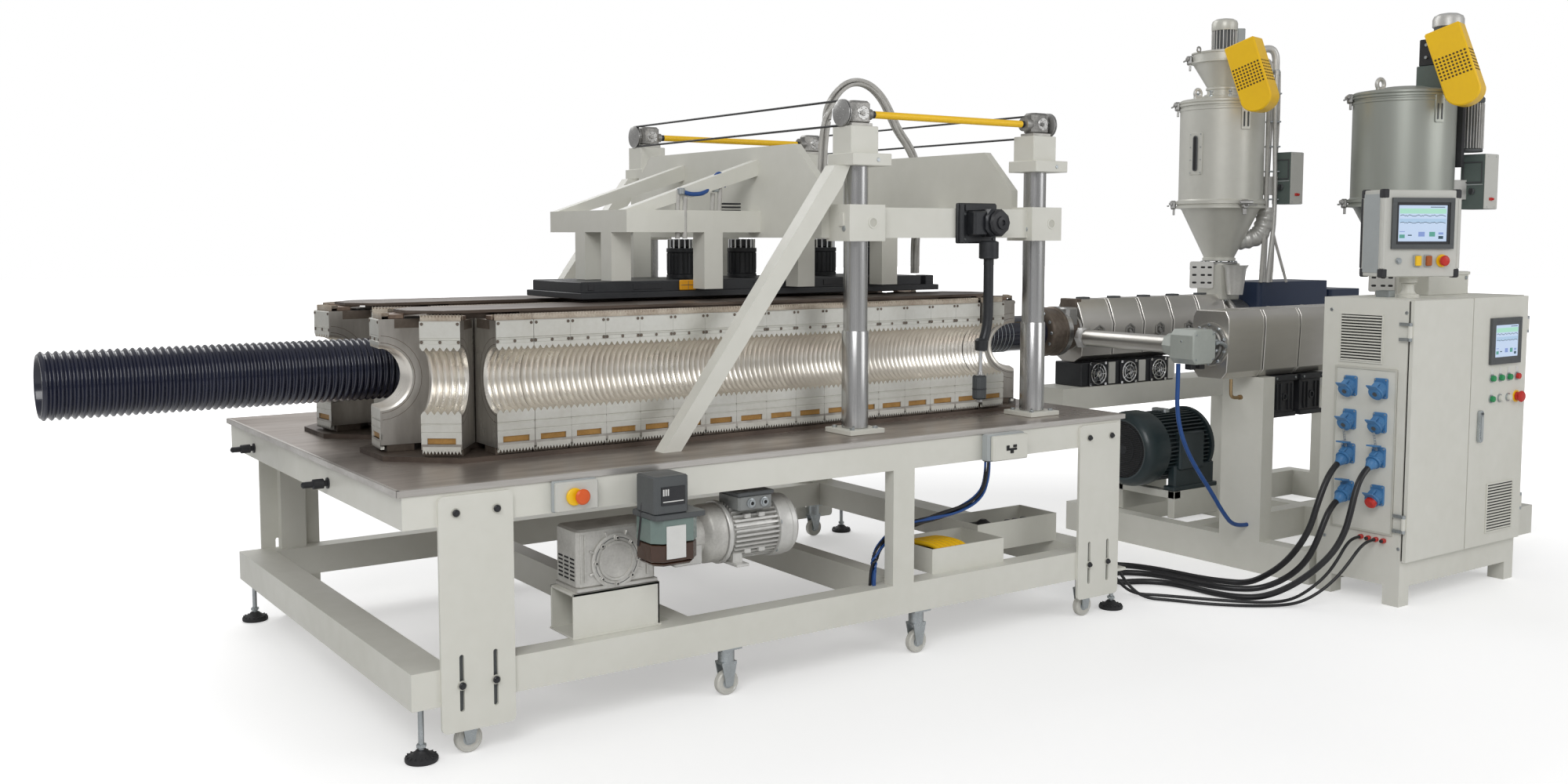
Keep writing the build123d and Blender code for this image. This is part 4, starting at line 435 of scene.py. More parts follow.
# %% Routes of the cables, in millimetres as in the model
cable_runs = {
    "cable_thick_back": (16, 2.538, "cable_black", [
        (4721.4, -527, 707), (4669.4, -527, 677), (4612, -525, 600), (4568, -518, 500), (4545, -500, 390),
        (4540, -440, 277), (4545, -350, 170), (4550, -240, 84), (4545, -130, 22), (4490, -30, 18),
        (4440, 100, 18), (4425, 240, 18), (4400, 400, 18), (4340, 540, 18), (4225, 640, 18), (4085, 655, 18),
        (3955, 600, 18), (3865, 532, 90), (3782, 488, 200), (3690, 470, 272), (3577, 470, 272)]),
    "cable_thick_front": (16, 2.224, "cable_black", [
        (4721.4, -699, 707), (4669.4, -699, 677), (4622, -698, 600), (4592, -696, 500), (4560, -688, 395),
        (4515, -655, 290), (4450, -590, 190), (4395, -490, 95), (4335, -375, 28), (4265, -265, 18),
        (4232, -135, 18), (4236, 10, 18), (4208, 150, 18), (4110, 250, 18), (3985, 288, 18), (3880, 302, 85),
        (3785, 280, 200), (3690, 270, 272), (3577, 270, 272)]),
    "cable_thick_middle": (16, 2.15, "cable_black", [
        (4721.4, -527, 510), (4669.4, -527, 480), (4622, -524, 405), (4592, -508, 310), (4580, -468, 215),
        (4568, -400, 130), (4540, -318, 64), (4490, -238, 22), (4412, -165, 18), (4355, -60, 18),
        (4335, 70, 18), (4320, 210, 18), (4280, 345, 18), (4165, 455, 18), (4000, 482, 18), (3880, 432, 85),
        (3785, 388, 200), (3690, 370, 272), (3577, 370, 272)]),
    "cable_thin_back": (8, 1.751, "cable_black", [
        (4788, -616, 330), (4738, -616, 330), (4684, -612, 296), (4636, -602, 228), (4588, -575, 150),
        (4515, -530, 76), (4425, -488, 26), (4330, -418, 10), (4215, -300, 10), (4095, -140, 10),
        (3990, 10, 10), (3905, 100, 10), (3835, 140, 70), (3765, 150, 165), (3680, 150, 272),
        (3577, 150, 272)]),
    "cable_thin_front": (8, 1.75, "cable_black", [
        (4788, -700, 330), (4738, -700, 330), (4676, -694, 298), (4622, -680, 236), (4570, -650, 160),
        (4500, -600, 80), (4410, -540, 22), (4300, -470, 10), (4170, -375, 10), (4050, -245, 10),
        (3960, -92, 10), (3885, 10, 10), (3825, 62, 68), (3760, 86, 165), (3678, 90, 272), (3577, 90, 272)]),
    "cable_blue": (12, 1.199, "cable_blue", [
        (4300, 167, 1197), (4300, 167, 1080), (4288, 160, 960), (4305, 148, 835), (4358, 138, 715),
        (4440, 128, 600), (4545, 121, 480), (4645, 118, 355), (4745, 116, 262), (4857, 116, 262)]),
}
wire_run = [(2660, -97, 851.5), (2660, -97, 760), (2638, -58, 675), (2580, 15, 620), (2490, 58, 590),
    (2390, 72, 572), (2285, 66, 560), (2185, 48, 535), (2075, 8, 468), (2075, 8, 340)]
press_run = [(2607, 1123, 1868), (2607, 1123, 2020), (2622, 1123, 2210), (2628, 1123, 2400),
    (2655, 1123, 2540), (2720, 1123, 2640), (2815, 1123, 2692), (2920, 1123, 2682), (3010, 1123, 2620),
    (3075, 1123, 2525), (3130, 1123, 2440), (3205, 1123, 2365), (3258, 1123, 2275), (3280, 1123, 2150),
    (3268, 1123, 2000), (3255, 1123, 1868), (3252, 1123, 1768), (3252, 1123, 1678)]


# %% Curves of the cables
def route_curve(name, points, radius):
    """A smooth curve with the points as its control points; a radius gives it a round body."""
    data = bpy.data.curves.new(name, "CURVE")
    data.dimensions = "3D"
    spline = data.splines.new("NURBS")
    spline.points.add(len(points) - 1)
    homogeneous = np.column_stack([np.array(points, float) / 1000, np.ones(len(points))])
    spline.points.foreach_set("co", homogeneous.ravel())
    spline.order_u = 3
    spline.use_endpoint_u = True
    data.resolution_u = 10
    data.bevel_depth = radius
    data.bevel_resolution = 4
    data.use_fill_caps = radius > 0
    thing = bpy.data.objects.new(name, data)
    bpy.context.scene.collection.objects.link(thing)
    return thing


def route_points(name, points):
    """Points along the smooth curve, read back from a curve without a body."""
    guide = route_curve(name, points, 0)
    mesh = bpy.data.meshes.new_from_object(guide)
    place = np.empty(3 * len(mesh.vertices))
    mesh.vertices.foreach_get("co", place)
    bpy.data.objects.remove(guide)
    bpy.data.meshes.remove(mesh)
    return place.reshape(-1, 3)


for name, (radius, length, kind, points) in cable_runs.items():
    cable = route_curve(name + "_run", points, radius / 1000)
    cable.data.materials.append(materials[kind])
    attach(cable, "base")
    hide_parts(name)
print(len(cable_runs), "cables")


# %% Bundles of thin wires and hoses
def strands(path, radius, reach, count, turns, seed):
    """Thin tubes round a path: each wanders a little about its own place on a ring that slowly twists."""
    draw = np.random.default_rng(seed)
    t = np.linspace(0, 1, len(path))[:, None]
    step = np.gradient(path, axis=0)
    d = step / np.linalg.norm(step, axis=1, keepdims=True)
    a = np.cross(d, np.array([0.31, 0.17, 0.93]))
    a /= np.linalg.norm(a, axis=1, keepdims=True)
    b = np.cross(d, a)
    tubes = []
    for k in range(count):
        phase = draw.uniform(0, 6.28)
        angle = 6.28 * (k / count + turns * t) + 0.5 * np.sin(9 * t + phase)
        out = (reach - radius) * (0.86 + 0.14 * np.sin(13 * t + 2 * phase))
        tubes.append(hose(path + out * (np.cos(angle) * a + np.sin(angle) * b), radius, 8))
    return tubes


press_path = route_points("press_guide", press_run)
press_tubes = strands(press_path, 0.0095, 0.027, 6, 0.4, 4)
press_hoses = piece("hose_press_bundle", [(tube, "hose_clear") for tube in press_tubes], "carriage",
    ["hose_press"])

wire_path = route_points("wire_guide", wire_run)
wire_tubes = strands(wire_path, 0.0055, 0.0195, 7, 1.2, 8)
wires = piece("cable_wires_bundle", [(tube, ("cable_blue", "cable_black", "cable_black")[k % 3])
    for k, tube in enumerate(wire_tubes)], "base", ["cable_wires"])

# %% [markdown]
# The corrugator is two endless chains of half moulds. Where their inner lanes meet they close round the
# hot pipe, and the outer lanes bring the open blocks back. The chain of whole links closes only when its
# straights have one certain length, so that length is found here by halving an interval, as in the model.

# %% Sizes of the chains
LINKS, PITCH, TURN_RADIUS, PHASE = 39, 0.16, 0.16, math.radians(6)
FACE, BACK = 0.223, 0.005
BLOCK_LOW, BLOCK_HIGH, SHOE_LOW, RACK_HIGH = 1.048, 1.552, 1.02, 1.58
PIPE_Y, PIPE_Z, PIPE_RADIUS, RIB_PITCH = 1.123, 1.318, 0.132, 0.16 / 6
CHAIN_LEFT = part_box("track_plates")[0][0] + FACE + TURN_RADIUS + 0.012


def joint_at(travel, straight):
    """Joint position on two straights joined by half circles."""
    turn = math.pi * TURN_RADIUS
    travel = travel % (2 * straight + 2 * turn)
    if travel < turn:
        return -TURN_RADIUS * math.sin(travel / TURN_RADIUS), -TURN_RADIUS * math.cos(travel / TURN_RADIUS)
    if travel < turn + straight:
        return travel - turn, TURN_RADIUS
    if travel < 2 * turn + straight:
        angle = (travel - turn - straight) / TURN_RADIUS
        return straight + TURN_RADIUS * math.sin(angle), TURN_RADIUS * math.cos(angle)
    return 2 * turn + 2 * straight - travel, -TURN_RADIUS


def halved(low, high, is_low):
    """The value between low and high at which is_low turns false, to a fraction of a micron."""
    for _ in range(40):
        middle = (low + high) / 2
        low, high = (middle, high) if is_low(middle) else (low, middle)
    return low


def chain_joints(straight):
    """Travel of every joint, each one pitch of chord from the last."""
    travels = [PHASE * TURN_RADIUS]
    for _ in range(LINKS):
        here, start = joint_at(travels[-1], straight), travels[-1]
        travels.append(halved(start + 0.9 * PITCH, start + 1.3 * PITCH,
            lambda t: math.dist(joint_at(t, straight), here) < PITCH))
    return travels


STRAIGHT = halved((LINKS - 6) / 2 * PITCH - PITCH / 2, (LINKS - 6) / 2 * PITCH + PITCH / 2,
    lambda s: chain_joints(s)[-1] - chain_joints(s)[0] > 2 * s + 2 * math.pi * TURN_RADIUS)
print(f"straights {STRAIGHT:.4f} m")


def mould_places(centre_y, side):
    """Place (x, y, turn in degrees) of each block; side -1 gives the mirrored chain."""
    ends = [joint_at(t, STRAIGHT) for t in chain_joints(STRAIGHT)]
    places = []
    for (x1, y1), (x2, y2) in zip(ends, ends[1:]):
        turn = math.degrees(math.atan2(y1 - y2, x1 - x2))
        places.append((CHAIN_LEFT + (x1 + x2) / 2, centre_y + side * (y1 + y2) / 2,
            turn if side > 0 else 180 - turn))
    return places


# %% [markdown]
# One half mould: a milled block whose bore carries the shape of the pipe's ribs. Its radius is a cosine
# along the block, so the bore meets the flat face in scallops, just as the real cutter leaves them. A
# bolted plate, a strip with three screws, step lines, a bronze pad and a toothed foot finish the face.

# %% A half mould block
HALF = PITCH / 2 - 0.0003
GROOVE = 0.015


def bore_radius(x):
    """Radius of the bore along the block: grooves at the full radius, lands a groove's depth inside."""
    wave = 0.5 - 0.5 * np.cos(2 * math.pi * (x + PITCH / 2) / RIB_PITCH)
    return PIPE_RADIUS + 0.0003 - GROOVE * wave ** 0.7


def mould_bore():
    """The ribbed half bore: y = r(x) cos t - face, z = axis + r(x) sin t."""
    x = np.linspace(-HALF, HALF, 6 * 6 + 1)[:, None]
    t = np.linspace(-math.pi / 2, math.pi / 2, 19)[None]
    radius = bore_radius(x)
    return grid(np.stack([x + 0 * t, radius * np.cos(t) - FACE, PIPE_Z + radius * np.sin(t)], -1))


def mould_fringe(side, edge):
    """Strip of the flat face between the scalloped rim of the bore and a straight line."""
    x = np.linspace(-HALF, HALF, 6 * 6 + 1)
    rim = np.stack([x, 0 * x - FACE, PIPE_Z + side * bore_radius(x)], -1)
    line = np.stack([x, 0 * x - FACE, 0 * x + edge], -1)
    return grid(np.stack([rim, line]))


def profile_walls(profile, half):
    """Walls along X over an open line of (y, z) points."""
    line = np.array(profile, float)
    ends = [np.column_stack([np.full(len(line), x), line]) for x in (-half, half)]
    return grid(np.stack(ends))


def mould_sides():
    """The two end faces with their half circle."""
    t = np.linspace(math.pi / 2, -math.pi / 2, 19)
    arc = np.stack([PIPE_RADIUS * np.cos(t) - FACE, PIPE_Z + PIPE_RADIUS * np.sin(t)], -1)
    outline = np.concatenate([[(-BACK, BLOCK_LOW), (-BACK, BLOCK_HIGH), (-FACE, BLOCK_HIGH)], arc,
        [(-FACE, BLOCK_LOW)]])
    points = np.concatenate([np.column_stack([np.full(len(outline), x), outline]) for x in (-HALF, HALF)])
    count = len(outline)
    return points, [list(range(count)), list(range(count, 2 * count))[::-1]]


def half_ring(inner, outer, x):
    """A flat half ring round the bore, lying on an end face."""
    t = np.linspace(-math.pi / 2 + 0.05, math.pi / 2 - 0.05, 17)
    radii = np.array([inner, outer])[:, None]
    return grid(np.stack([np.full((2, 17), x), radii * np.cos(t) - FACE, PIPE_Z + radii * np.sin(t)], -1))


def zigzag(width, teeth, y, low, high, drop):
    """A toothed bar along X: its top or bottom edge runs in triangles between high and high - drop."""
    x = np.linspace(-width / 2, width / 2, 2 * teeth + 1)
    edge = high - drop * (np.arange(2 * teeth + 1) % 2)
    rows = [np.column_stack([x, np.full(len(x), y[0]), np.full(len(x), low)]),
        np.column_stack([x, np.full(len(x), y[0]), edge]), np.column_stack([x, np.full(len(x), y[1]), edge]),
        np.column_stack([x, np.full(len(x), y[1]), np.full(len(x), low)])]
    return grid(np.stack(rows), wrap_u=True)


def mould_block():
    """All surfaces of a block with their finishes."""
    pad_low, pad_high, pad_half = 1.07, 1.094, 0.056
    upper = [(-FACE, 1.462), (-FACE + 0.003, 1.464), (-FACE + 0.003, 1.476), (-FACE, 1.478), (-FACE, 1.481),
        (-FACE + 0.002, 1.483), (-FACE, 1.486), (-FACE, BLOCK_HIGH - 0.004), (-FACE + 0.004, BLOCK_HIGH)]
    lower = [(-FACE, pad_high), (-FACE, 1.112), (-FACE + 0.002, 1.114), (-FACE + 0.002, 1.117),
        (-FACE, 1.119), (-FACE, 1.143), (-FACE + 0.003, 1.146), (-FACE + 0.003, 1.149), (-FACE, 1.152),
        (-FACE, 1.172)]
    shell = [(-FACE + 0.004, BLOCK_HIGH), (-BACK, BLOCK_HIGH), (-BACK, BLOCK_LOW), (-FACE, BLOCK_LOW),
        (-FACE, pad_low)]
    parts = [(mould_bore(), "mould"), (mould_fringe(1, 1.462), "mould_plate"),
        (mould_fringe(-1, 1.172), "mould_plate"), (profile_walls(upper, HALF), "mould_plate"),
        (profile_walls(lower, HALF), "mould_plate"), (profile_walls(shell[:2], HALF), "mould_dark"),
        (profile_walls(shell[1:], HALF), "mould_side"), (mould_sides(), "mould_side")]
    for side in (-1, 1):
        x0, x1 = sorted((side * HALF, side * pad_half))
        parts.append((box_of((x0, -FACE, pad_low), (x1, -FACE + 0.009, pad_high), 0.0005), "mould_plate"))
        for inner, outer in ((0.14, 0.1425), (0.168, 0.17)):
            parts.append((half_ring(inner, outer, side * (HALF + 0.0002)), "mould_dark"))
        parts.append((box_of((side * HALF - 0.0004, -0.16, 1.515), (side * HALF + 0.0002, -0.03, 1.5515),
            0.0001), "mould_dark"))
    parts.append((box_of((-pad_half, -FACE + 0.006, pad_low), (pad_half, -FACE + 0.009, pad_high), 0.0005),
        "gold"))
    bolt = laid(drum(0.0065, 0.003, 0.001, 8), "-Y")
    corners = [(x, -FACE, 1.541) for x in (-0.07, 0.07)]
    screws = [(x, -FACE + 0.003, 1.47) for x in (-0.072, 0.0, 0.072)]
    parts += [
        (copies(bolt, corners), "mould_dark"),
        (copies(bolt, screws), "mould_dark"),
        (zigzag(0.15, 11, (-FACE - 0.001, -FACE + 0.014), 1.06, 1.03, -0.014), "mould_plate"),
        (box_of((-HALF + 0.002, -0.198, SHOE_LOW), (HALF - 0.002, -0.088, BLOCK_LOW), 0.002), "mould_dark"),
        (zigzag(2 * HALF, 12, (-0.209, -0.18), BLOCK_HIGH, RACK_HIGH - 0.004, 0.013), "rack_pale"),
        (box_of((-HALF, -0.182, BLOCK_HIGH), (HALF, -0.12, RACK_HIGH - 0.01), 0.004), "rack_brown")]
    return parts


def placed(shape, places):
    """The shape at every (x, y, turn), turned about Z."""
    return merge([moved(turned(shape, turn), x, y) for x, y, turn in places])


LANE = TURN_RADIUS + FACE
for name, side in (("mould_chain_front", 1), ("mould_chain_back", -1)):
    places = mould_places(PIPE_Y - side * LANE, side)
    piece(name + "_blocks", [(placed(shape, places), kind) for shape, kind in mould_block()],
        stands_for=[name])

# %% [markdown]
# The pipe leaves the closed moulds on the left. Its ribs are rounded lands with narrow valleys; a power
# above one on the cosine gives that shape. Inside the moulds it is hidden, so there it stays smooth.

# %% Corrugated pipe
def pipe_surface():
    """Outer ribs from the free end, then a smooth stretch, and back along the bore."""
    (left, _, _), (right, _, _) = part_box("corrugated_pipe")
    ribbed = CHAIN_LEFT + 0.06 - left
    ribs = int(ribbed / RIB_PITCH)
    x = np.linspace(0, ribs * RIB_PITCH, ribs * 12 + 1)
    outer = PIPE_RADIUS - 0.011 * np.abs(np.cos(math.pi * x / RIB_PITCH)) ** 1.8
    line = [(r, left + v) for r, v in zip(outer, x)]
    line += [(0.123, right), (0.109, right), (0.109, left + 0.004), (0.112, left)]
    profile = np.array(line)
    t = np.linspace(0, 2 * math.pi, 56, endpoint=False)
    radius, place = profile[:, :1], profile[:, 1:]
    points = np.stack([place + 0 * t, PIPE_Y + radius * np.cos(t), PIPE_Z + radius * np.sin(t)], -1)
    return grid(points, wrap_u=True, wrap_v=True)


piece("corrugated_pipe_ribs", [(pipe_surface(), "pipe_navy")], stands_for=["corrugated_pipe"], smooth=60)

# %% [markdown]
# The control cabinet is folded sheet steel. Its side carries a louvred vent and a raised panel with eight
# blue sockets; the doors have a small display, lamps and buttons, a long handle and another vent. Each
# of these is thin, so they are drawn in the plane of their wall and laid on it.

# %% Things that lie on a wall
def on_side(shape, x, y, z):
    """A shape drawn in XY with its front along Z, laid on a wall that faces -X: its X runs along -Y, its
    Y up."""
    points = shape[0]
    return np.column_stack([x - points[:, 2], y - points[:, 0], z + points[:, 1]]), shape[1]


def on_front(shape, x, y, z):
    """The same for a wall that faces -Y: the shape's X stays X."""
    points = shape[0]
    return np.column_stack([x + points[:, 0], y - points[:, 2], z + points[:, 1]]), shape[1]


def louvres(width, height, count):
    """A frame with slanted slats: each slat is a thin wedge."""
    parts = []
    pitch = height / count
    for k in range(count):
        y = -height / 2 + pitch * k
        profile = np.array([(y + pitch * 0.05, 0.001), (y + pitch * 0.2, 0.008), (y + pitch * 0.62, 0.0015)])
        ends = [np.column_stack([np.full(3, x), profile]) for x in (-width / 2, width / 2)]
        parts.append(grid(np.stack(ends), wrap_v=True, caps=True))
    return merge(parts)


def frame_of(width, height, rim, depth):
    """Four bars round a rectangle."""
    bars = [block((0, s * (height - rim) / 2, depth / 2), (width, rim, depth), 0.001) for s in (-1, 1)]
    bars += [block((s * (width - rim) / 2, 0, depth / 2), (rim, height - 2 * rim, depth), 0.001)
        for s in (-1, 1)]
    return merge(bars)


# %% Side of the cabinet
side_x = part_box("cabinet_body")[0][0]
panel_y, panel_z, panel_w, panel_h = -0.61, 0.785, 0.35, 0.85
vent_y, vent_z = -0.575, 1.36
side_parts = [
    (on_side(sheet(panel_w, panel_h, 0.012, 0.004, 0.001), side_x, panel_y, panel_z), "ivory"),
    (on_side(frame_of(panel_w, panel_h, 0.01, 0.008), side_x, panel_y, panel_z), "ivory_shade"),
    (on_side(louvres(0.225, 0.24, 16), side_x - 0.0005, vent_y, vent_z), "ivory"),
    (on_side(frame_of(0.245, 0.255, 0.008, 0.006), side_x, vent_y, vent_z), "ivory"),
    # A near black sheet behind the louvres paints the shade inside the vent.
    (on_side(prism(rounded(0.23, 0.24, 0.002, 2), 0.0008), side_x, vent_y, vent_z), "dark_hole")]
for y in (-0.4, -0.82):
    for z in (0.3, 1.5):
        side_parts.append((on_side(drum(0.009, 0.004, 0.001, 12), side_x, y, z), "zinc"))
piece("cabinet_side_panel", side_parts)

# %% Sockets with their lids, plugs and the small red connectors
def socket(with_plug, tone):
    """An upright flange, a barrel that slopes down with a hinged lid and a ring, and a cap or a plug."""
    slope = [
        (lathe([(0.034, -0.01), (0.034, 0.03), (0.031, 0.033), (0.031, 0.04)], 24), tone),
        (ring(block((0.0335, 0, 0.016), (0.004, 0.008, 0.028), 0.001), 12), tone),
        (moved(pipe_ring(0.038, 0.03, 0.012, 24), z=0.038), tone),
        (block((0, 0.04, 0.026), (0.03, 0.012, 0.036), 0.003), tone)]
    if with_plug:
        slope += [
            (moved(lathe([(0.028, 0), (0.03, 0.004), (0.03, 0.016), (0.025, 0.026), (0.0175, 0.044),
                (0.0165, 0.0505)], 24), z=0.049), tone),
            (moved(ring(block((0.029, 0, 0.009), (0.004, 0.006, 0.014), 0.001), 10), z=0.049), tone),
            (moved(turned(block((0, 0.045, 0.03), (0.05, 0.008, 0.06), 0.003), -35, "X"), 0, 0.02, 0.006),
                tone)]
    else:
        slope += [
            (moved(drum(0.03, 0.008, 0.002, 24), z=0.046), tone),
            (moved(drum(0.012, 0.004, 0.001, 16), z=0.054), "grey_plastic"),
            (moved(turned(block((0, 0, 0.004), (0.058, 0.062, 0.006), 0.003), 24, "X"), 0, 0.032, 0.048),
                tone)]
    parts = [(sheet(0.076, 0.104, 0.01, 0.014, 0.003), tone)]
    parts += [(moved(turned(shape, 30, "X"), z=0.014), kind) for shape, kind in slope]
    parts.append((copies(drum(0.0045, 0.002, 0.0005, 8), [(u, v, 0.0135) for u in (-0.03, 0.03)
        for v in (-0.043, 0.043)]), "zinc"))
    return parts


def chain(start, end, sag, count):
    """Small links that hang between two points, turned in turn."""
    t = np.linspace(0.04, 0.96, count)[:, None]
    line = (1 - t) * np.array(start) + t * np.array(end) - np.array([0, 0, 4 * sag]) * t * (1 - t)
    return merge([moved(turned(torus(0.0055, 0.0016, 10, 6), 90 if k % 2 else 0, "Y"), *p)
        for k, p in enumerate(line)])


socket_parts = []
for row, z in enumerate((1.11, 0.935, 0.757, 0.56)):
    for y in (-0.527, -0.699):
        plugged = row == 2 or (row == 3 and y > -0.6)
        for shape, kind in socket(plugged, "socket_blue"):
            socket_parts.append((on_side(shape, side_x, y, z), kind))
        if row == 1:
            socket_parts.append((chain((side_x - 0.058, y, z - 0.045), (side_x - 0.05, y - 0.012, z - 0.14),
                0.004, 15), "zinc"))
red_cap = moved(turned(lathe([(0.026, 0), (0.03, 0.004), (0.03, 0.022), (0.022, 0.03)], 20), 30, "X"), 0,
    -0.026, 0.052)
socket_parts.append((on_side(red_cap, side_x, -0.699, 0.56), "red"))
for y in (-0.616, -0.658, -0.7, -0.742):
    socket_parts += [
        (on_side(drum(0.013, 0.022, 0.003, 16), side_x, y, 0.33), "red"),
        (on_side(moved(drum(0.0095, 0.012, 0.002, 12), z=0.022), side_x, y, 0.33), "black_plastic")]
piece("cabinet_socket_set", socket_parts, stands_for=["cabinet_sockets"])

# %% [markdown]
# The doors are kept as the model made them, and the things a hand meets are laid on: display, buttons,
# handle and vent. They ride on the right door, so they swing with it.

# %% Right door
DOOR_FRONT = -0.858
VENT_X, VENT_Z = 5.705, 0.43
door_parts = [
    (on_front(louvres(0.25, 0.25, 16), VENT_X, DOOR_FRONT - 0.0005, VENT_Z), "ivory"),
    (on_front(frame_of(0.268, 0.268, 0.008, 0.006), VENT_X, DOOR_FRONT, VENT_Z), "ivory"),
    # A near black sheet behind the louvres paints the shade inside the vent.
    (on_front(prism(rounded(0.255, 0.255, 0.002, 2), 0.0008), VENT_X, DOOR_FRONT, VENT_Z), "dark_hole")]
piece("door_vent", door_parts, "right_door")

# %% [markdown]
# The operator panel is an aluminium console with black corner caps. Its screen glows: the picture on it
# is generic, made of smooth bands and blocks in the shader, with no words. Everything is drawn facing
# front and then turned with the console.

# %% A lit screen
def lit(name, colour, strength):
    """A finish that glows a little."""
    finish(name, [c * 0.3 for c in colour], None, 0.1, 8, (0.12, 0.2))
    shader = materials[name].node_tree.nodes["Principled BSDF"]
    shader.inputs["Emission Color"].default_value = (*colour, 1)
    shader.inputs["Emission Strength"].default_value = strength


for name, colour in (("lit_ground", (0.5, 0.61, 0.78)), ("lit_header", (0.36, 0.66, 0.52)),
        ("lit_line", (0.03, 0.07, 0.1)), ("lit_field", (0.22, 0.3, 0.58)), ("lit_row", (0.38, 0.53, 0.7)),
        ("lit_button", (0.1, 0.32, 0.26))):
    lit(name, colour, 0.85)


def flat(x, y, width, height, level):
    """A thin rectangle on the screen, measured from its middle."""
    return moved(prism(rounded(width, height, 0.0005, 2), 0.0003), x, y, level)


def screen(width, height):
    """A plain made-up layout: header, two wavy lines, rows of fields and buttons. It holds no words."""
    parts = [
        (flat(0, 0, width, height, 0), "lit_ground"),
        (flat(0, height * 0.34, width * 0.96, height * 0.14, 0.0004), "lit_header"),
        (flat(0, height * 0.08, width * 0.96, height * 0.1, 0.0004), "lit_row")]
    for row, amount in ((0.215, 0.016), (0.02, 0.012)):
        x = np.linspace(-0.47, 0.47, 60) * width
        y = height * (row + amount * np.sign(np.sin(np.arange(60) * 0.62)) * (np.arange(60) % 7 > 1))
        line = np.stack([np.column_stack([x, y + s * height * 0.008, np.full(60, 0.001)]) for s in (-1, 1)],
            1)
        parts.append((grid(line), "lit_line"))
    for u, v, w, h, kind in ((-0.42, -0.36, 0.11, 0.1, "lit_button"), (-0.26, -0.33, 0.08, 0.03, "lit_line"),
            (-0.02, -0.3, 0.13, 0.13, "lit_field"), (0.2, -0.3, 0.12, 0.13, "lit_button"),
            (0.38, -0.28, 0.1, 0.06, "lit_field"), (0.38, -0.39, 0.1, 0.08, "lit_line"),
            (-0.42, -0.23, 0.11, 0.02, "lit_field"), (0.3, 0.45, 0.3, 0.02, "lit_line")):
        parts.append((flat(u * width, v * height, w * width, h * height, 0.0008), kind))
    return parts


# %% Operator panel
CONSOLE = (5.129, -0.637, 1.669)
CONSOLE_TURN = -25
WIDE, DEEP, TALL = 0.45, 0.2, 0.455
SCREEN_RISE = 0.052
KEYS_DOWN = -0.14


def console_front(shape):
    """From a drawing facing front to the turned console's front face."""
    return console_place(on_front(shape, 0, -DEEP / 2, TALL / 2))


def console_place(shape):
    """Turns the console's own frame and carries it to its post."""
    return moved(turned(shape, CONSOLE_TURN), *CONSOLE)


def button(radius, height, kind, bezel="zinc"):
    """A round actuator in its bezel, front along Z."""
    return [(pipe_ring(radius * 1.35, radius, 0.006, 20), bezel),
        (drum(radius * 0.97, height, 0.002, 20), kind)]


finish("lamp_brown", (0.42, 0.1, 0.015), None, 0.3, 12, (0.2, 0.35))
console_parts = [(console_place(moved(sheet(WIDE - 0.006, DEEP - 0.006, 0.014, TALL - 0.01, 0.004), z=0.005)),
    "panel_pale")]
for sx in (-1, 1):
    for sy in (-1, 1):
        for z in (0, TALL - 0.048):
            corner = block((sx * (WIDE / 2 - 0.021), sy * (DEEP / 2 - 0.021), z + 0.024),
                (0.042, 0.042, 0.048), 0.01)
            console_parts.append((console_place(corner), "black_plastic"))
        edge = block((sx * (WIDE / 2 - 0.014), sy * (DEEP / 2 - 0.014), TALL / 2),
            (0.028, 0.028, TALL - 0.09), 0.008)
        console_parts.append((console_place(edge), "black_plastic" if sy > 0 and sx < 0 else "panel_pale"))
    side_sheet = block((sx * (WIDE / 2 - 0.003), 0, TALL / 2), (0.004, DEEP - 0.06, TALL - 0.05), 0.001)
    console_parts.append((console_place(side_sheet), "panel_grey"))
console_parts += [
    (moved(console_front(frame_of(0.352, 0.262, 0.024, 0.012)), z=SCREEN_RISE), "grey_plastic"),
    (moved(console_front(frame_of(0.306, 0.216, 0.014, 0.008)), z=SCREEN_RISE), "black_plastic"),
    (moved(console_front(sheet(0.3, 0.21, 0.004, 0.003, 0.001)), z=SCREEN_RISE), "black_plastic")]
for shape, tone in button(0.012, 0.012, "zinc"):
    console_parts.append((console_front(moved(shape, -0.128, KEYS_DOWN)), tone))
for x, kind in ((-0.024, "yellow"), (0.036, "lamp_brown")):
    console_parts += [
        (console_front(moved(sheet(0.04, 0.062, 0.006, 0.008, 0.002), x, KEYS_DOWN)), "panel_grey"),
        (console_front(moved(sheet(0.032, 0.052, 0.005, 0.014, 0.003), x, KEYS_DOWN, 0.006)), kind)]
console_parts += [
    (console_front(moved(drum(0.033, 0.005, 0.001, 28), 0.118, KEYS_DOWN)), "yellow"),
    (console_front(moved(lathe([(0.016, 0.004), (0.018, 0.014), (0.026, 0.02), (0.0275, 0.028),
        (0.022, 0.035), (0.01, 0.037)], 24), 0.118, KEYS_DOWN)), "red"),
    (console_place(lathe([(0.044, -0.026), (0.044, -0.004), (0.06, 0.004)], 32)), "ivory")]
piece("operator_console", console_parts, "panel", ["operator_panel"])
screen_parts = [(moved(console_front(moved(shape, z=0.0032)), z=SCREEN_RISE), kind)
    for shape, kind in screen(0.275, 0.185)]
piece("operator_screen", screen_parts, "panel")

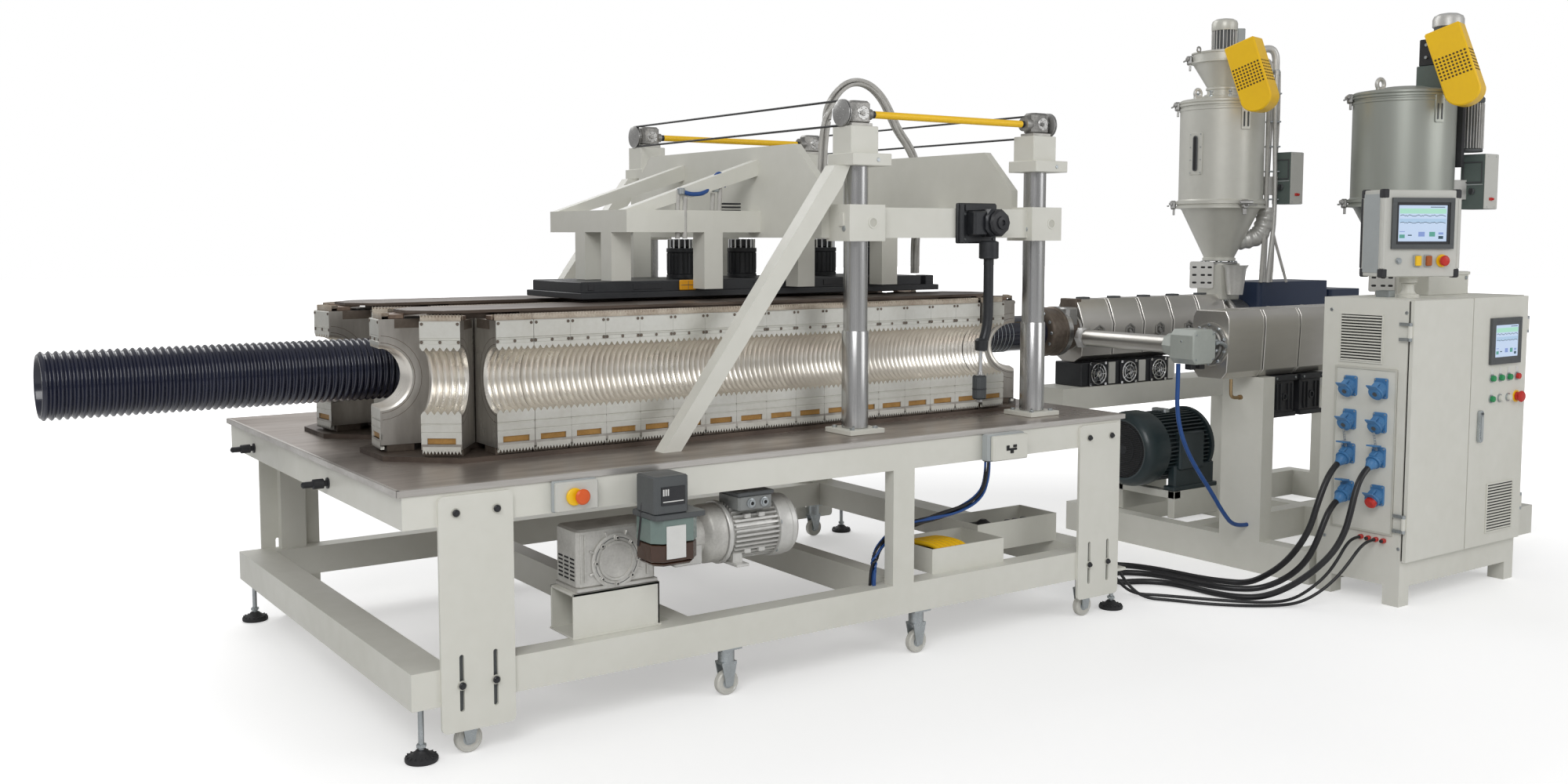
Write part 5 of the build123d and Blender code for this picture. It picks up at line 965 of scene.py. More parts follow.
# %% Post and top box of the cabinet
post_parts = [
    (moved(lathe([(0.055, 0), (0.055, 0.014), (0.04, 0.02), (0.031, 0.034), (0.03, 0.066), (0.036, 0.071)],
        32), 5.129, -0.637, 1.565), "ivory"),
    (box_of((5.4, -0.59, 1.565), (5.8, -0.41, 1.69), 0.004), "ivory"),
    (box_of((5.394, -0.596, 1.672), (5.806, -0.404, 1.688), 0.003), "ivory"),
    (box_of((5.02, -0.6, 1.565), (5.075, -0.52, 1.6), 0.004), "zinc"),
    (on_front(drum(0.011, 0.004, 0.001, 12), 5.77, -0.591, 1.655), "zinc"),
    (box_of((5.47, -0.56, 1.69), (5.56, -0.47, 1.725), 0.005), "black_plastic")]
piece("panel_post_and_box", post_parts, stands_for=["panel_post"])

# %% Display and buttons of the right door
DISPLAY_X, DISPLAY_Z = 5.695, 1.327
KEY_LEFT, KEY_PITCH = 5.58, 0.085
hmi_parts = [
    (on_front(frame_of(0.302, 0.247, 0.02, 0.0145), DISPLAY_X, DOOR_FRONT, DISPLAY_Z), "grey_plastic"),
    (on_front(sheet(0.268, 0.212, 0.004, 0.0135, 0.001), DISPLAY_X, DOOR_FRONT, DISPLAY_Z), "grey_plastic")]
for z, kinds in ((1.13, ("green", "green", "green", "red")), (1.02, ("green", "ivory", "ivory", "red"))):
    for k, kind in enumerate(kinds):
        large = kind == "red" and z < 1.1
        for shape, tone in button(0.024 if large else 0.0165, 0.021, kind, "yellow" if large else "zinc"):
            hmi_parts.append((on_front(moved(shape, KEY_LEFT + KEY_PITCH * k, 0), 0, DOOR_FRONT, z), tone))
        if kind != "ivory" and not large:
            tag = moved(sheet(0.022, 0.03, 0.002, 0.002), KEY_LEFT + KEY_PITCH * k, 0.037)
            hmi_parts.append((on_front(tag, 0, DOOR_FRONT, z), "white_label"))
hmi_parts += [
    (on_front(moved(lathe([(0.014, 0), (0.03, 0.006), (0.031, 0.014), (0.024, 0.022), (0.01, 0.024)], 24),
        5.835, 0, 0.02), 0, DOOR_FRONT, 1.02), "red"),
    (on_front(sheet(0.034, 0.17, 0.012, 0.0195, 0.003), 5.469, DOOR_FRONT, 0.882), "zinc"),
    (on_front(moved(sheet(0.02, 0.12, 0.008, 0.004, 0.001), z=0.019), 5.469, DOOR_FRONT, 0.875),
        "panel_grey"),
    (on_front(moved(drum(0.007, 0.003, 0.001, 14), z=0.022), 5.469, DOOR_FRONT, 0.95), "grey_plastic")]
piece("door_controls", hmi_parts, "right_door")
door_screen = [(on_front(moved(shape, z=0.0137), DISPLAY_X, DOOR_FRONT, DISPLAY_Z), kind)
    for shape, kind in screen(0.225, 0.17)]
piece("door_screen", door_screen, "right_door")

# %% [markdown]
# Two drying hoppers stand on the extruders. Each is a turned sheet body: a cone, a clamped flange, a
# cylinder and a lid. What sits on the cylinder is drawn flat, with X to the right and Y up, and then
# wrapped round it: a point at distance X goes to the angle start + X / radius.

# %% Things wrapped round a cylinder
HOPPERS = ((5.866, 1.134), (6.336, 0.155))
STOUT = (0.93, 1.03)
SIDE_Y, SIDE_Z = 0.167, 1.29
HOPPER_RADIUS, FLANGE_RADIUS = 0.285, 0.303
CONE_FOOT, FLANGE_LOW, BODY_LOW, BODY_TOP, LID_TOP = 1.719, 2.058, 2.11, 2.715, 2.797
BLOWER_TURN = -35
WINDOW_Z, WINDOW_ANGLE = 2.408, 181


def around(shape, x, y, z, angle, radius=HOPPER_RADIUS):
    """Wraps a flat drawing round an upright cylinder, its middle at an angle in degrees."""
    points = shape[0]
    a = math.radians(angle) + points[:, 0] / radius
    reach = radius + points[:, 2]
    return np.column_stack([x + reach * np.cos(a), y + reach * np.sin(a), z + points[:, 1]]), shape[1]


def beside(x, y, reach, swing=0):
    """Plan point on the blower's side of a hopper."""
    a = math.radians(BLOWER_TURN + swing)
    return x + reach * math.cos(a), y + reach * math.sin(a)


def latch():
    """A clamp over a flange: a rounded jaw with a roller across it and a short lever."""
    return merge([block((0, 0, 0.018), (0.046, 0.058, 0.034), 0.01),
        block((0, -0.046, 0.014), (0.026, 0.04, 0.014)), moved(turned(drum(0.014, 0.084, 0.004, 14), 90, "Y"),
        -0.042, 0.01, 0.034), turned(block((0.03, 0.012, 0.052), (0.06, 0.01, 0.01), 0.003), 20, "X")])


def fins(radius, low, high, count, depth=0.012, thick=0.004):
    """Upright cooling fins round a motor."""
    return ring(block((radius - depth / 2, 0, (low + high) / 2), (depth, thick, high - low), 0.001), count)


# %% Body of a hopper
def hopper_shapes(x, y, tone, window, slots, stout):
    """Cone, flange, cylinder, latches, sight window and hanging slots; stout scales the radii."""
    body = lathe([(0.102, CONE_FOOT), (0.112, CONE_FOOT + 0.003), (0.112, CONE_FOOT + 0.018),
        (0.103, CONE_FOOT + 0.024), (0.106, CONE_FOOT + 0.03), (0.262, FLANGE_LOW - 0.006),
        (0.27, FLANGE_LOW), (FLANGE_RADIUS, FLANGE_LOW + 0.003), (FLANGE_RADIUS, FLANGE_LOW + 0.018),
        (FLANGE_RADIUS - 0.01, FLANGE_LOW + 0.022), (FLANGE_RADIUS - 0.01, FLANGE_LOW + 0.027),
        (FLANGE_RADIUS, FLANGE_LOW + 0.031), (FLANGE_RADIUS, BODY_LOW - 0.003),
        (HOPPER_RADIUS + 0.006, BODY_LOW), (HOPPER_RADIUS, BODY_LOW + 0.008),
        (HOPPER_RADIUS, BODY_TOP - 0.03), (HOPPER_RADIUS + 0.005, BODY_TOP - 0.026),
        (HOPPER_RADIUS + 0.005, BODY_TOP - 0.014), (HOPPER_RADIUS, BODY_TOP - 0.01),
        (HOPPER_RADIUS, BODY_TOP)], 72)
    parts = [(moved((body[0] * (stout, stout, 1), body[1]), x, y), tone)]
    wall = HOPPER_RADIUS * stout
    for angle in (128, 248, 8):
        parts.append((around(latch(), x, y, (FLANGE_LOW + BODY_LOW) / 2, angle,
            (FLANGE_RADIUS - 0.004) * stout), "bare_steel"))
    if window:
        frame_shape = sheet(0.1, 0.27, 0.012, 0.006, 0.002)
        parts += [
            (around(frame_shape, x, y, WINDOW_Z, WINDOW_ANGLE, wall), tone),
            (around(moved(sheet(0.034, 0.226, 0.015, 0.004, 0.001), z=0.0052), x, y, WINDOW_Z, WINDOW_ANGLE,
                wall), "grey_plastic"),
            # A near black strip in the window paints the shade inside the hopper.
            (around(moved(sheet(0.02, 0.212, 0.009, 0.002, 0.0005), z=0.0078), x, y, WINDOW_Z, WINDOW_ANGLE,
                wall), "dark_hole")]
        screws = copies(drum(0.004, 0.002, 0.0005, 8), [(u, v, 0.006) for u in (-0.038, 0.038)
            for v in (-0.122, -0.04, 0.04, 0.122)])
        parts.append((around(screws, x, y, WINDOW_Z, WINDOW_ANGLE, wall), "zinc"))
    for angle in slots:
        parts.append((around(sheet(0.062, 0.17, 0.008, 0.007, 0.002), x, y, BODY_TOP - 0.075, angle, wall),
            tone))
        # Dark strips paint the shade in the hanging slots.
        for u in (-0.014, 0.014):
            slot = moved(sheet(0.011, 0.095, 0.005, 0.002, 0.0005), u, -0.02, 0.0066)
            parts.append((around(slot, x, y, BODY_TOP - 0.075, angle, wall), "grey_plastic"))
    return parts


# %% [markdown]
# Warm air reaches the cone through a ribbed duct, and a control box stands beside it on an arm. A tube
# whose radius swells and shrinks along its bend is lighter than a model of each rib, and looks the same.

# %% Ribbed duct and control box
def duct_shapes(x, y):
    """The ribbed air duct: r = r0 + a cos(2 pi s / pitch) along its bend from the cone to the flange."""
    path = bend([(*beside(x, y, 0.09), 1.85), (*beside(x, y, 0.165), 1.853), (*beside(x, y, 0.262), 1.88),
        (*beside(x, y, 0.3), 1.99), (*beside(x, y, 0.3), 2.07)], 40)
    run = np.concatenate([[0], np.cumsum(np.linalg.norm(np.diff(path, axis=0), axis=1))])
    keep = np.interp(np.arange(0, run[-1], 0.006), run, np.arange(len(run)))
    path = np.stack([np.interp(keep, np.arange(len(run)), path[:, k]) for k in range(3)], -1)
    swell = 0.058 + 0.0035 * np.cos(2 * math.pi * np.arange(len(path)) * 0.006 / 0.048)
    return [(hose(path, swell[:, None, None], 24), "motor_silver")]


def control_box(x, y, reach, wide, depth, low):
    """Control box: dark side with a sunken cover and a knob, light front with a switch."""
    cx, cy = beside(x, y, reach)
    tall = 0.335
    parts = [
        (box_of((cx - wide / 2 + 0.001, cy - depth / 2 + 0.002, low),
            (cx + wide / 2, cy + depth / 2, low + tall), 0.004), "box_green"),
        (box_of((cx - wide / 2, cy - depth / 2 - 0.0015, low + 0.002),
            (cx + wide / 2, cy - depth / 2 + 0.003, low + tall - 0.002), 0.002), "panel_pale")]
    left = cx - wide / 2
    parts += [
        (on_side(frame_of(depth * 0.8, 0.13, 0.008, 0.004), left, cy, low + 0.225), "grey_plastic"),
        (on_side(drum(0.02, 0.012, 0.003, 20), left, cy, low + 0.11), "grey_plastic"),
        (on_side(moved(block((0, 0, 0.01), (0.01, 0.036, 0.018)), z=0.01), left, cy, low + 0.11),
            "black_plastic"),
        (on_side(sheet(depth * 0.86, 0.006, 0.002, 0.003), left, cy, low + 0.15), "panel_grey")]
    front = cy - depth / 2
    parts += [
        (on_front(sheet(0.04, 0.018, 0.004, 0.008, 0.002), cx, front, low + 0.062), "red"),
        (on_front(moved(drum(0.007, 0.01, 0.002, 12), 0.01, 0, 0.006), cx, front, low + 0.062), "red")]
    for u in (-0.044, 0.044):
        for v in (0.014, 0.32):
            parts.append((on_front(drum(0.004, 0.003, 0.001, 8), cx + u, front, low + v), "zinc"))
    arm_x, arm_y = beside(x, y, (reach + HOPPER_RADIUS) / 2)
    arm = turned(block((0, 0, low + 0.12), (reach - HOPPER_RADIUS + 0.03, 0.026, 0.12)), BLOWER_TURN)
    parts.append((moved(arm, arm_x, arm_y), "motor_silver"))
    return parts


# %% [markdown]
# Under the cone a throat leads the granules down. The scoop beside it is bent sheet, so it is drawn as an
# outer and an inner wall that meet at the rims: an open surface would vanish when seen along its edge.

# %% Feed throat and scoop
def feed_shapes(x, y):
    """Holed bracket and flared scoop on the throat under a hopper."""
    top = 1.694
    holes = [(u, v, 0.0075) for u in (-0.045, 0.008, 0.05) for v in (-0.05, 0.0, 0.05)]
    plate = turned(moved(laid(sheet(0.15, 0.175, 0.01, 0.008, 0.002), "-Y"), y=-0.004), -52)
    # Near black spots on the plate paint the shade in its holes.
    spots = turned(moved(laid(copies(sheet(0.028, 0.013, 0.006, 0.001), holes), "-Y"), y=-0.004), -52)
    parts = [
        (moved(plate, x - 0.145, y + 0.02, top - 0.065), "motor_silver"),
        (moved(spots, x - 0.145, y + 0.02, top - 0.065), "dark_hole"),
        (moved(drum(0.118, 0.012, 0.002, 40), x, y, 1.7), "bare_steel"),
        (moved(bolt_circle(0.106, 8, 0.009, 0.008), x, y, 1.712), "zinc")]
    t = np.linspace(-2.6, 0.9, 25)
    levels = [(0.05, -0.19), (0.06, -0.11), (0.068, -0.025), (0.082, 0.0)]
    outside = np.stack([np.column_stack([r * np.sin(t), r * np.cos(t), np.full(25, h)]) for r, h in levels])
    inside = np.stack([np.column_stack([(r - 0.004) * np.sin(t), (r - 0.004) * np.cos(t), np.full(25, h)])
        for r, h in levels])
    scoop = grid(np.concatenate([outside, inside[::-1]]), wrap_u=True)
    points = scoop[0]
    parts.append(((np.column_stack([x - 0.025 + points[:, 0], y - 0.15 - points[:, 1], top + points[:, 2]]),
        scoop[1]), "motor_silver"))
    return parts


# %% Both hoppers with their ducts, boxes and tubes
finish("box_green", (0.125, 0.16, 0.15), (0.09, 0.12, 0.11), 0.4, 8, (0.35, 0.5), bump=0.05)
finish("hopper_steel", (0.44, 0.46, 0.42), (0.33, 0.35, 0.315), 0.5, 1.6, (0.3, 0.42), 0.55, 0.03,
    (1, 1, 0.2))
body_parts = []
for place, tone, window, slots, reach, size, low, stout in zip(HOPPERS, ("hopper", "hopper_steel"),
        (True, False), ((250,), (252,)), (0.435, 0.475), ((0.13, 0.14), (0.15, 0.155)), (2.088, 2.046),
        STOUT):
    body_parts += hopper_shapes(*place, tone, window, slots, stout) + duct_shapes(*place)
    body_parts += control_box(*place, reach, *size, low)
left = HOPPERS[0]
TUBES = ((-9, 0.286, 0.0, 0.013), (0, 0.31, 0.006, 0.013), (-6, 0.338, -0.007, 0.014),
    (2, 0.362, 0.006, 0.011))
for k, (swing, reach, sway, radius) in enumerate(TUBES):
    line = [(*beside(*left, reach + sway * math.sin(5.2 * z) - 0.05 * max(0, 1.95 - z), swing), z)
        for z in np.linspace(1.58, 2.947, 30)]
    body_parts.append((hose(line, radius, 12), "hose_clear" if k in (0, 3) else "motor_silver"))
for z in (2.12, 2.3, 2.46, 2.62, 2.8):
    clip = turned(block((0, 0, 0), (0.095, 0.046, 0.01)), BLOWER_TURN - 4)
    body_parts.append((moved(clip, *beside(*left, 0.324, -3), z), "zinc"))
line_x, line_y = beside(*left, 0.32)
body_parts.append((hose([(line_x, line_y, 2.02), (line_x + 0.05, line_y - 0.02, 1.84),
    (line_x + 0.15, line_y - 0.04, 1.58)], 0.009, 10), "hose_clear"))
piece("drying_hopper_pair", body_parts, stands_for=["drying_hoppers"])
feeds = [part for place in HOPPERS for part in feed_shapes(*place)]
for (x, y), z, start, end in zip(HOPPERS, (PIPE_Z, SIDE_Z), (5.82, 6.173), (6.056, 6.465)):
    feeds += [
        (moved(sheet(0.2, 0.2, 0.02, 1.704 - z - 0.15, 0.006), x, y, z + 0.15), "hopper"),
        (moved(laid(drum(0.15, end - start, 0.006, 48), "X"), start, y, z), "stainless"),
        (moved(laid(drum(0.186, 0.026, 0.004, 48), "X"), start + 0.01, y, z), "bare_steel"),
        (moved(laid(bolt_circle(0.168, 12, 0.012, 0.012), "-X"), start + 0.01, y, z), "zinc")]
piece("feed_sections", feeds, stands_for=["feed_throats"])

# %% [markdown]
# On the lids sit a vacuum loader and a fan tower. Their belt guards are folded yellow sheet with a band
# of holes; each is drawn upright and then leans 19 degrees.

# %% A yellow guard and a hopper lid
def guard(width, deep, tall):
    """Folded sheet cover with a round foot and a band of holes that runs on over its side; each hole is a
    dark disc of painted shade.
    """
    foot = [(width / 2 * math.cos(t), -tall / 2 + 0.085 + 0.085 * math.sin(t))
        for t in np.linspace(-3.1, -0.35, 12)]
    outline = foot + [(width / 2, -tall / 2 + 0.075), (width / 2, tall / 2 - 0.008),
        (width / 2 - 0.008, tall / 2), (-width / 2 + 0.008, tall / 2), (-width / 2, tall / 2 - 0.008)]
    parts = [(laid(prism(outline, deep, 0.007), "-Y"), "yellow")]
    rows = np.arange(-0.055, 0.07, 0.0205)
    front = [(u, v, 0) for u in np.arange(-width / 2 + 0.016, width / 2 - 0.008, 0.0205) for v in rows]
    parts.append((on_front(copies(drum(0.0068, 0.001, 0.0002, 8), front), 0, -deep, 0), "guard_hole"))
    points, faces = copies(sheet(0.013, 0.009, 0.004, 0.001), [(u, v, 0)
        for u in np.arange(-deep / 2 + 0.014, deep / 2 - 0.008, 0.0205) for v in rows])
    for s in (-1, 1):
        parts.append(((np.column_stack([s * (width / 2 + points[:, 2]), points[:, 0] - deep / 2,
            points[:, 1]]), faces), "guard_hole"))
    return parts


def lid(x, y, tone, stout):
    """Lid with a rolled rim and a raised middle."""
    rim = HOPPER_RADIUS * stout
    shape = lathe([(rim, BODY_TOP), (rim + 0.01, BODY_TOP + 0.003), (rim + 0.01, BODY_TOP + 0.014),
        (rim + 0.003, BODY_TOP + 0.018), (rim + 0.009, BODY_TOP + 0.023), (rim + 0.009, BODY_TOP + 0.034),
        (rim - 0.004, BODY_TOP + 0.042), (rim - 0.03, BODY_TOP + 0.046), (0.165, LID_TOP - 0.022),
        (0.12, LID_TOP - 0.01)], 72)
    return [(moved(shape, x, y), tone), (around(latch(), x, y, BODY_TOP + 0.01, 130, rim), "bare_steel")]


# %% Both lids and guards
# Dark brown for the discs that paint the shade inside the guard's holes.
finish("guard_hole", (0.1, 0.055, 0.006), None, 0.2, 8, (0.6, 0.7))
(left_x, left_y), (right_x, right_y) = HOPPERS
GUARD_LEAN = -19
top_parts = lid(left_x, left_y, "hopper", STOUT[0]) + lid(right_x, right_y, "hopper_steel", STOUT[1])
for place, size, anchor, facing in (((5.682, 0.768, 2.865), (0.2, 0.135, 0.45), (left_x, left_y), -77),
        ((6.225, -0.233, 2.868), (0.2, 0.135, 0.475), beside(right_x, right_y, 0.205), -74)):
    for shape, kind in guard(*size):
        leaning = turned(moved(shape, y=size[1] / 2), GUARD_LEAN, "Y")
        top_parts.append((moved(turned(leaning, facing), *place), kind))
    gap = (anchor[0] - place[0], anchor[1] - place[1])
    arm = turned(block((0, 0, 0), (math.hypot(*gap), 0.03, 0.05)), math.degrees(math.atan2(gap[1], gap[0])))
    top_parts.append((moved(arm, place[0] + gap[0] / 2, place[1] + gap[1] / 2, place[2] + 0.13),
        "motor_silver"))

# %% [markdown]
# The loader is one turned profile with clamps round its neck. The motors get upright fins, because a smooth
# drum wouldn't read as a motor.

# %% Vacuum loader, lid knobs and fan tower
loader = [
    (lathe([(0.118, LID_TOP - 0.02), (0.118, LID_TOP - 0.004), (0.1, LID_TOP), (0.1, LID_TOP + 0.024),
        (0.108, LID_TOP + 0.028), (0.108, LID_TOP + 0.04), (0.1, LID_TOP + 0.044), (0.19, 2.99),
        (0.206, 2.995), (0.206, 3.004), (0.196, 3.008), (0.196, 3.05), (0.203, 3.054), (0.203, 3.062),
        (0.11, 3.078)], 64), "hopper"),
    (lathe([(0.07, 3.07), (0.076, 3.074), (0.074, 3.078), (0.072, 3.205)], 40), "grey_plastic"),
    (fins(0.081, 3.082, 3.202, 22), "motor_silver"),
    (lathe([(0.08, 3.203), (0.082, 3.208), (0.082, 3.248), (0.076, 3.264), (0.055, 3.276), (0.02, 3.282)],
        40), "hopper"),
    (turned(box_of((0.07, -0.045, 3.09), (0.122, 0.045, 3.215), 0.006), -35), "panel_grey"),
    (ring(around(latch(), 0, 0, 3.02, 0, 0.196), 3, start=130), "bare_steel"),
    (moved(turned(torus(0.016, 0.006), 90, "X"), -0.214, 0.03, 3.072), "bare_steel")]
top_parts += [(moved(shape, left_x, left_y), kind) for shape, kind in loader]
for x, y, size, angle in ((left_x, left_y, 0.026, 172), (right_x, right_y, 0.03, 172)):
    a = math.radians(angle)
    lug = moved(turned(turned(torus(size, size * 0.42, 28, 12), 90, "X"), angle), x + 0.215 * math.cos(a),
        y + 0.215 * math.sin(a), BODY_TOP + 0.052 + size)
    top_parts += [(lug, "motor_silver"), (moved(turned(block((0, 0, 0), (0.06, 0.022, 0.03)), angle),
        x + 0.215 * math.cos(a), y + 0.215 * math.sin(a), BODY_TOP + 0.05), "motor_silver")]
for angle in (20, 75, 130, 190, 235, 290):
    a = math.radians(angle)
    knob = lathe([(0.014, 0), (0.012, 0.01), (0.007, 0.014), (0.007, 0.026), (0.013, 0.03), (0.013, 0.038)],
        14)
    top_parts.append((moved(knob, left_x + 0.155 * math.cos(a), left_y + 0.155 * math.sin(a),
        LID_TOP - 0.024), "zinc"))
tower_x, tower_y = beside(right_x, right_y, 0.215)
filter_x, filter_y = beside(right_x, right_y, HOPPER_RADIUS + 0.118)
top_parts += [
    (box_of((tower_x - 0.11, tower_y - 0.095, 2.74), (tower_x + 0.06, tower_y + 0.095, 2.915), 0.006),
        "box_green"),
    (box_of((tower_x - 0.105, tower_y - 0.085, 2.915), (tower_x + 0.06, tower_y + 0.085, 3.076), 0.008),
        "black_plastic"),
    (on_side(copies(drum(0.01, 0.01, 0.002, 14), [(0, 0, 0), (0, 0.075, 0)]), tower_x - 0.105,
        tower_y + 0.035, 2.965), "zinc"),
    (moved(lathe([(0.06, 3.076), (0.086, 3.08), (0.086, 3.095), (0.08, 3.098), (0.08, 3.15)], 40),
        tower_x + 0.03, tower_y - 0.02), "grey_plastic"),
    (moved(lathe([(0.086, 3.15), (0.09, 3.154), (0.09, 3.196), (0.082, 3.216), (0.056, 3.23), (0.02, 3.236)],
        40), tower_x + 0.03, tower_y - 0.02), "motor_silver"),
    (moved(lathe([(0.078, 2.395), (0.08, 2.4), (0.08, 2.412), (0.072, 2.416), (0.072, 2.69), (0.08, 2.694),
        (0.083, 2.7), (0.083, 2.72), (0.07, 2.735)], 40), filter_x, filter_y), "grey_plastic"),
    (moved(fins(0.083, 2.416, 2.69, 30), filter_x, filter_y), "motor_silver"),
    (box_of(((tower_x + filter_x) / 2 - 0.12, (tower_y + filter_y) / 2 - 0.075, BODY_TOP + 0.02),
        ((tower_x + filter_x) / 2 + 0.12, (tower_y + filter_y) / 2 + 0.075, BODY_TOP + 0.075), 0.004),
        "motor_silver"),
    (box_of((filter_x - 0.125, filter_y - 0.03, 2.3), (filter_x - 0.095, filter_y + 0.02, 2.7), 0.005),
        "black_plastic")]
for reach, rise, radius, kind in ((0.338, 3.1, 0.024, "motor_silver"), (0.31, 3.03, 0.015, "hose_clear")):
    arch = bend([(left_x + 0.15, left_y - 0.1, rise - 0.06), (*beside(left_x, left_y, reach - 0.06), rise),
        (*beside(left_x, left_y, reach), rise - 0.03), (*beside(left_x, left_y, reach), 2.93)], 12)
    top_parts += [
        (hose(arch, radius, 14), kind),
        (moved(drum(radius + 0.004, 0.03, 0.003, 16), *beside(left_x, left_y, reach), 2.925), "zinc")]
piece("loader_and_tower", top_parts, stands_for=["hopper_loaders"])

# %% [markdown]
# The chain drive stands on the lower frame: a worm gearbox with a round ribbed cover, a coupling bell and a
# motor whose long fins end under a smooth fan cowl. A grease pump hangs at the apron above it.

# %% Worm gearbox on its base
def toothed(count, inner, outer, share=0.5):
    """Outline whose radius steps between inner and outer, count times round; share of each step is outer."""
    t = (np.arange(count)[:, None] + np.array([0, share, share + 0.08, 0.92])) * 2 * math.pi / count
    r = np.broadcast_to([outer, outer, inner, inner], t.shape)
    return np.stack([r * np.cos(t), r * np.sin(t)], -1).reshape(-1, 2)


def along(shape, x, y, z):
    """Lay a shape so that its height runs along X."""
    return moved(laid(shape, "X"), x, y, z)


DRIVE_AXIS = (0.09, 0.661)
GEAR_X, GEAR_Z = 0.075, -0.045
cover = lathe([(0.104, 0), (0.108, 0.006), (0.1, 0.009), (0.092, 0.007), (0.08, 0.007), (0.077, 0.014),
    (0.068, 0.014), (0.066, 0.009), (0.04, 0.01)], 48)
bolt = merge([drum(0.012, 0.003, 0.001, 14), moved(hexagon(0.008, 0.008), z=0.003)])
slots = [(u, v, 0) for u in (-0.05, 0.0, 0.05) for v in np.arange(0.005, 0.1, 0.016)]
gearbox = [
    (box_of((0.561, 0.018, 0.572), (0.907, 0.204, 0.802), 0.014), "cast_aluminium"),
    (box_of((0.556, 0.009, 0.56), (0.911, 0.207, 0.576), 0.004), "cast_aluminium"),
    (on_front(merge([cover, ring(moved(bolt, 0.091, 0, 0.007), 8),
        ring(block((0.112, 0, 0.004), (0.024, 0.009, 0.008), 0.003), 8, start=22)]), 0.728, 0.018, 0.668),
        "cast_aluminium"),
    (on_front(merge([pipe_ring(0.0795, 0.0755, 0.009, 48), pipe_ring(0.0925, 0.0905, 0.0085, 48),
        bolt_circle(0.091, 8, 0.005, 0.003, z=0.015)]), 0.728, 0.018, 0.668), "grey_plastic"),
    (on_front(copies(block((0, 0, 0.003), (0.006, 0.19, 0.006), 0.002),
        [(u, 0, 0) for u in (-0.155, -0.138, 0.135)]), 0.731, 0.018, 0.69), "cast_aluminium"),
    # Near black strips on the gearbox's side paint the shade in its slots.
    (on_side(copies(block((0, 0, 0), (0.036, 0.007, 0.003), 0.001), slots), 0.561, 0.11, 0.6), "dark_hole")]
gearbox = [(moved(shape, GEAR_X, 0, GEAR_Z), tone) for shape, tone in gearbox]
gearbox += [
    (along(lathe([(0.098, 0), (0.098, 0.012), (0.082, 0.016), (0.08, 0.11), (0.088, 0.13), (0.088, 0.22),
        (0.116, 0.24), (0.122, 0.25), (0.122, 0.312)], 40), 0.983, *DRIVE_AXIS), "cast_aluminium"),
    (box_of((1.06, 0.0, 0.56), (1.19, 0.18, 0.64), 0.006), "motor_silver"),
    (merge([box_of(low, high, 0.002) for low, high in (((0.61, 0.003, 0.342), (0.99, 0.012, 0.516)),
        ((0.61, 0.192, 0.342), (0.99, 0.201, 0.516)), ((0.98, 0.003, 0.342), (0.99, 0.201, 0.516)),
        ((0.61, 0.003, 0.506), (0.99, 0.201, 0.516)), ((0.606, -0.002, 0.34), (0.996, 0.205, 0.348)))]),
        "ivory")]
piece("drive_gearbox_and_base", gearbox, stands_for=["drive_gearbox"])

# %% [markdown]
# The motor's fins are the steps of a toothed outline drawn along its axis: one closed shape, where
# separate fins would cross the body at every root. Cowl and flange are turned profiles.

# %% Finned motor
glands = copies(lathe([(0.02, 0), (0.02, 0.006), (0.015, 0.008), (0.015, 0.014), (0.008, 0.014),
    (0.008, 0.004)], 24), [(0.03, 0, 0), (-0.035, 0, 0)])
motor = [
    (along(lathe([(0.1, 0), (0.13, 0.001), (0.132, 0.004), (0.132, 0.016), (0.122, 0.02), (0.114, 0.034),
        (0.1, 0.04)], 56), 1.297, *DRIVE_AXIS), "motor_silver"),
    (along(prism(toothed(36, 0.099, 0.121, 0.4), 0.215, 0.002), 1.335, *DRIVE_AXIS), "motor_silver"),
    (along(lathe([(0.118, 0), (0.13, 0.002), (0.132, 0.006), (0.132, 0.06), (0.128, 0.066), (0.128, 0.086),
        (0.118, 0.098), (0.02, 0.101)], 56), 1.549, *DRIVE_AXIS), "motor_silver"),
    (along(ring(moved(bolt, 0.124, 0, -0.003), 6, start=15), 1.555, *DRIVE_AXIS), "zinc"),
    (merge([box_of((x - 0.016, y - 0.012, z - 0.01), (x + 0.016, y + 0.012, z + 0.01), 0.004)
        for x in (1.4, 1.47) for y, z in ((-0.005, 0.588), (-0.005, 0.734))]), "motor_silver"),
    (merge([box_of((1.33, -0.04, 0.531), (1.39, 0.22, 0.543), 0.003),
        box_of((1.337, 0.0, 0.54), (1.383, 0.19, 0.58), 0.003)]), "motor_silver"),
    (box_of((1.34, -0.04, 0.762), (1.505, 0.12, 0.822), 0.008), "motor_grey"),
    (box_of((1.334, -0.046, 0.822), (1.511, 0.126, 0.838), 0.006), "grey_plastic"),
    (on_front(glands, 1.432, -0.04, 0.792), "zinc"),
    # Near black discs paint the shade inside the cable glands.
    (on_front(copies(drum(0.008, 0.001, 0.0002, 16), [(0.03, 0, 0.01), (-0.035, 0, 0.01)]), 1.432, -0.04,
        0.792), "dark_hole")]
finish("signal_red", (0.8, 0.13, 0.02), (0.6, 0.08, 0.015), 0.4, 12, (0.25, 0.4))
finish("motor_grey", (0.26, 0.27, 0.265), (0.18, 0.19, 0.19), 0.5, 9, (0.35, 0.5))
piece("drive_motor_with_fins", motor, stands_for=["drive_motor"])

# %% [markdown]
# The pump feeds grease to the chains. Its tank is tinted above and shows dark oil below, so it is drawn
# in lengths of two finishes instead of with real glass, which would cost render time.

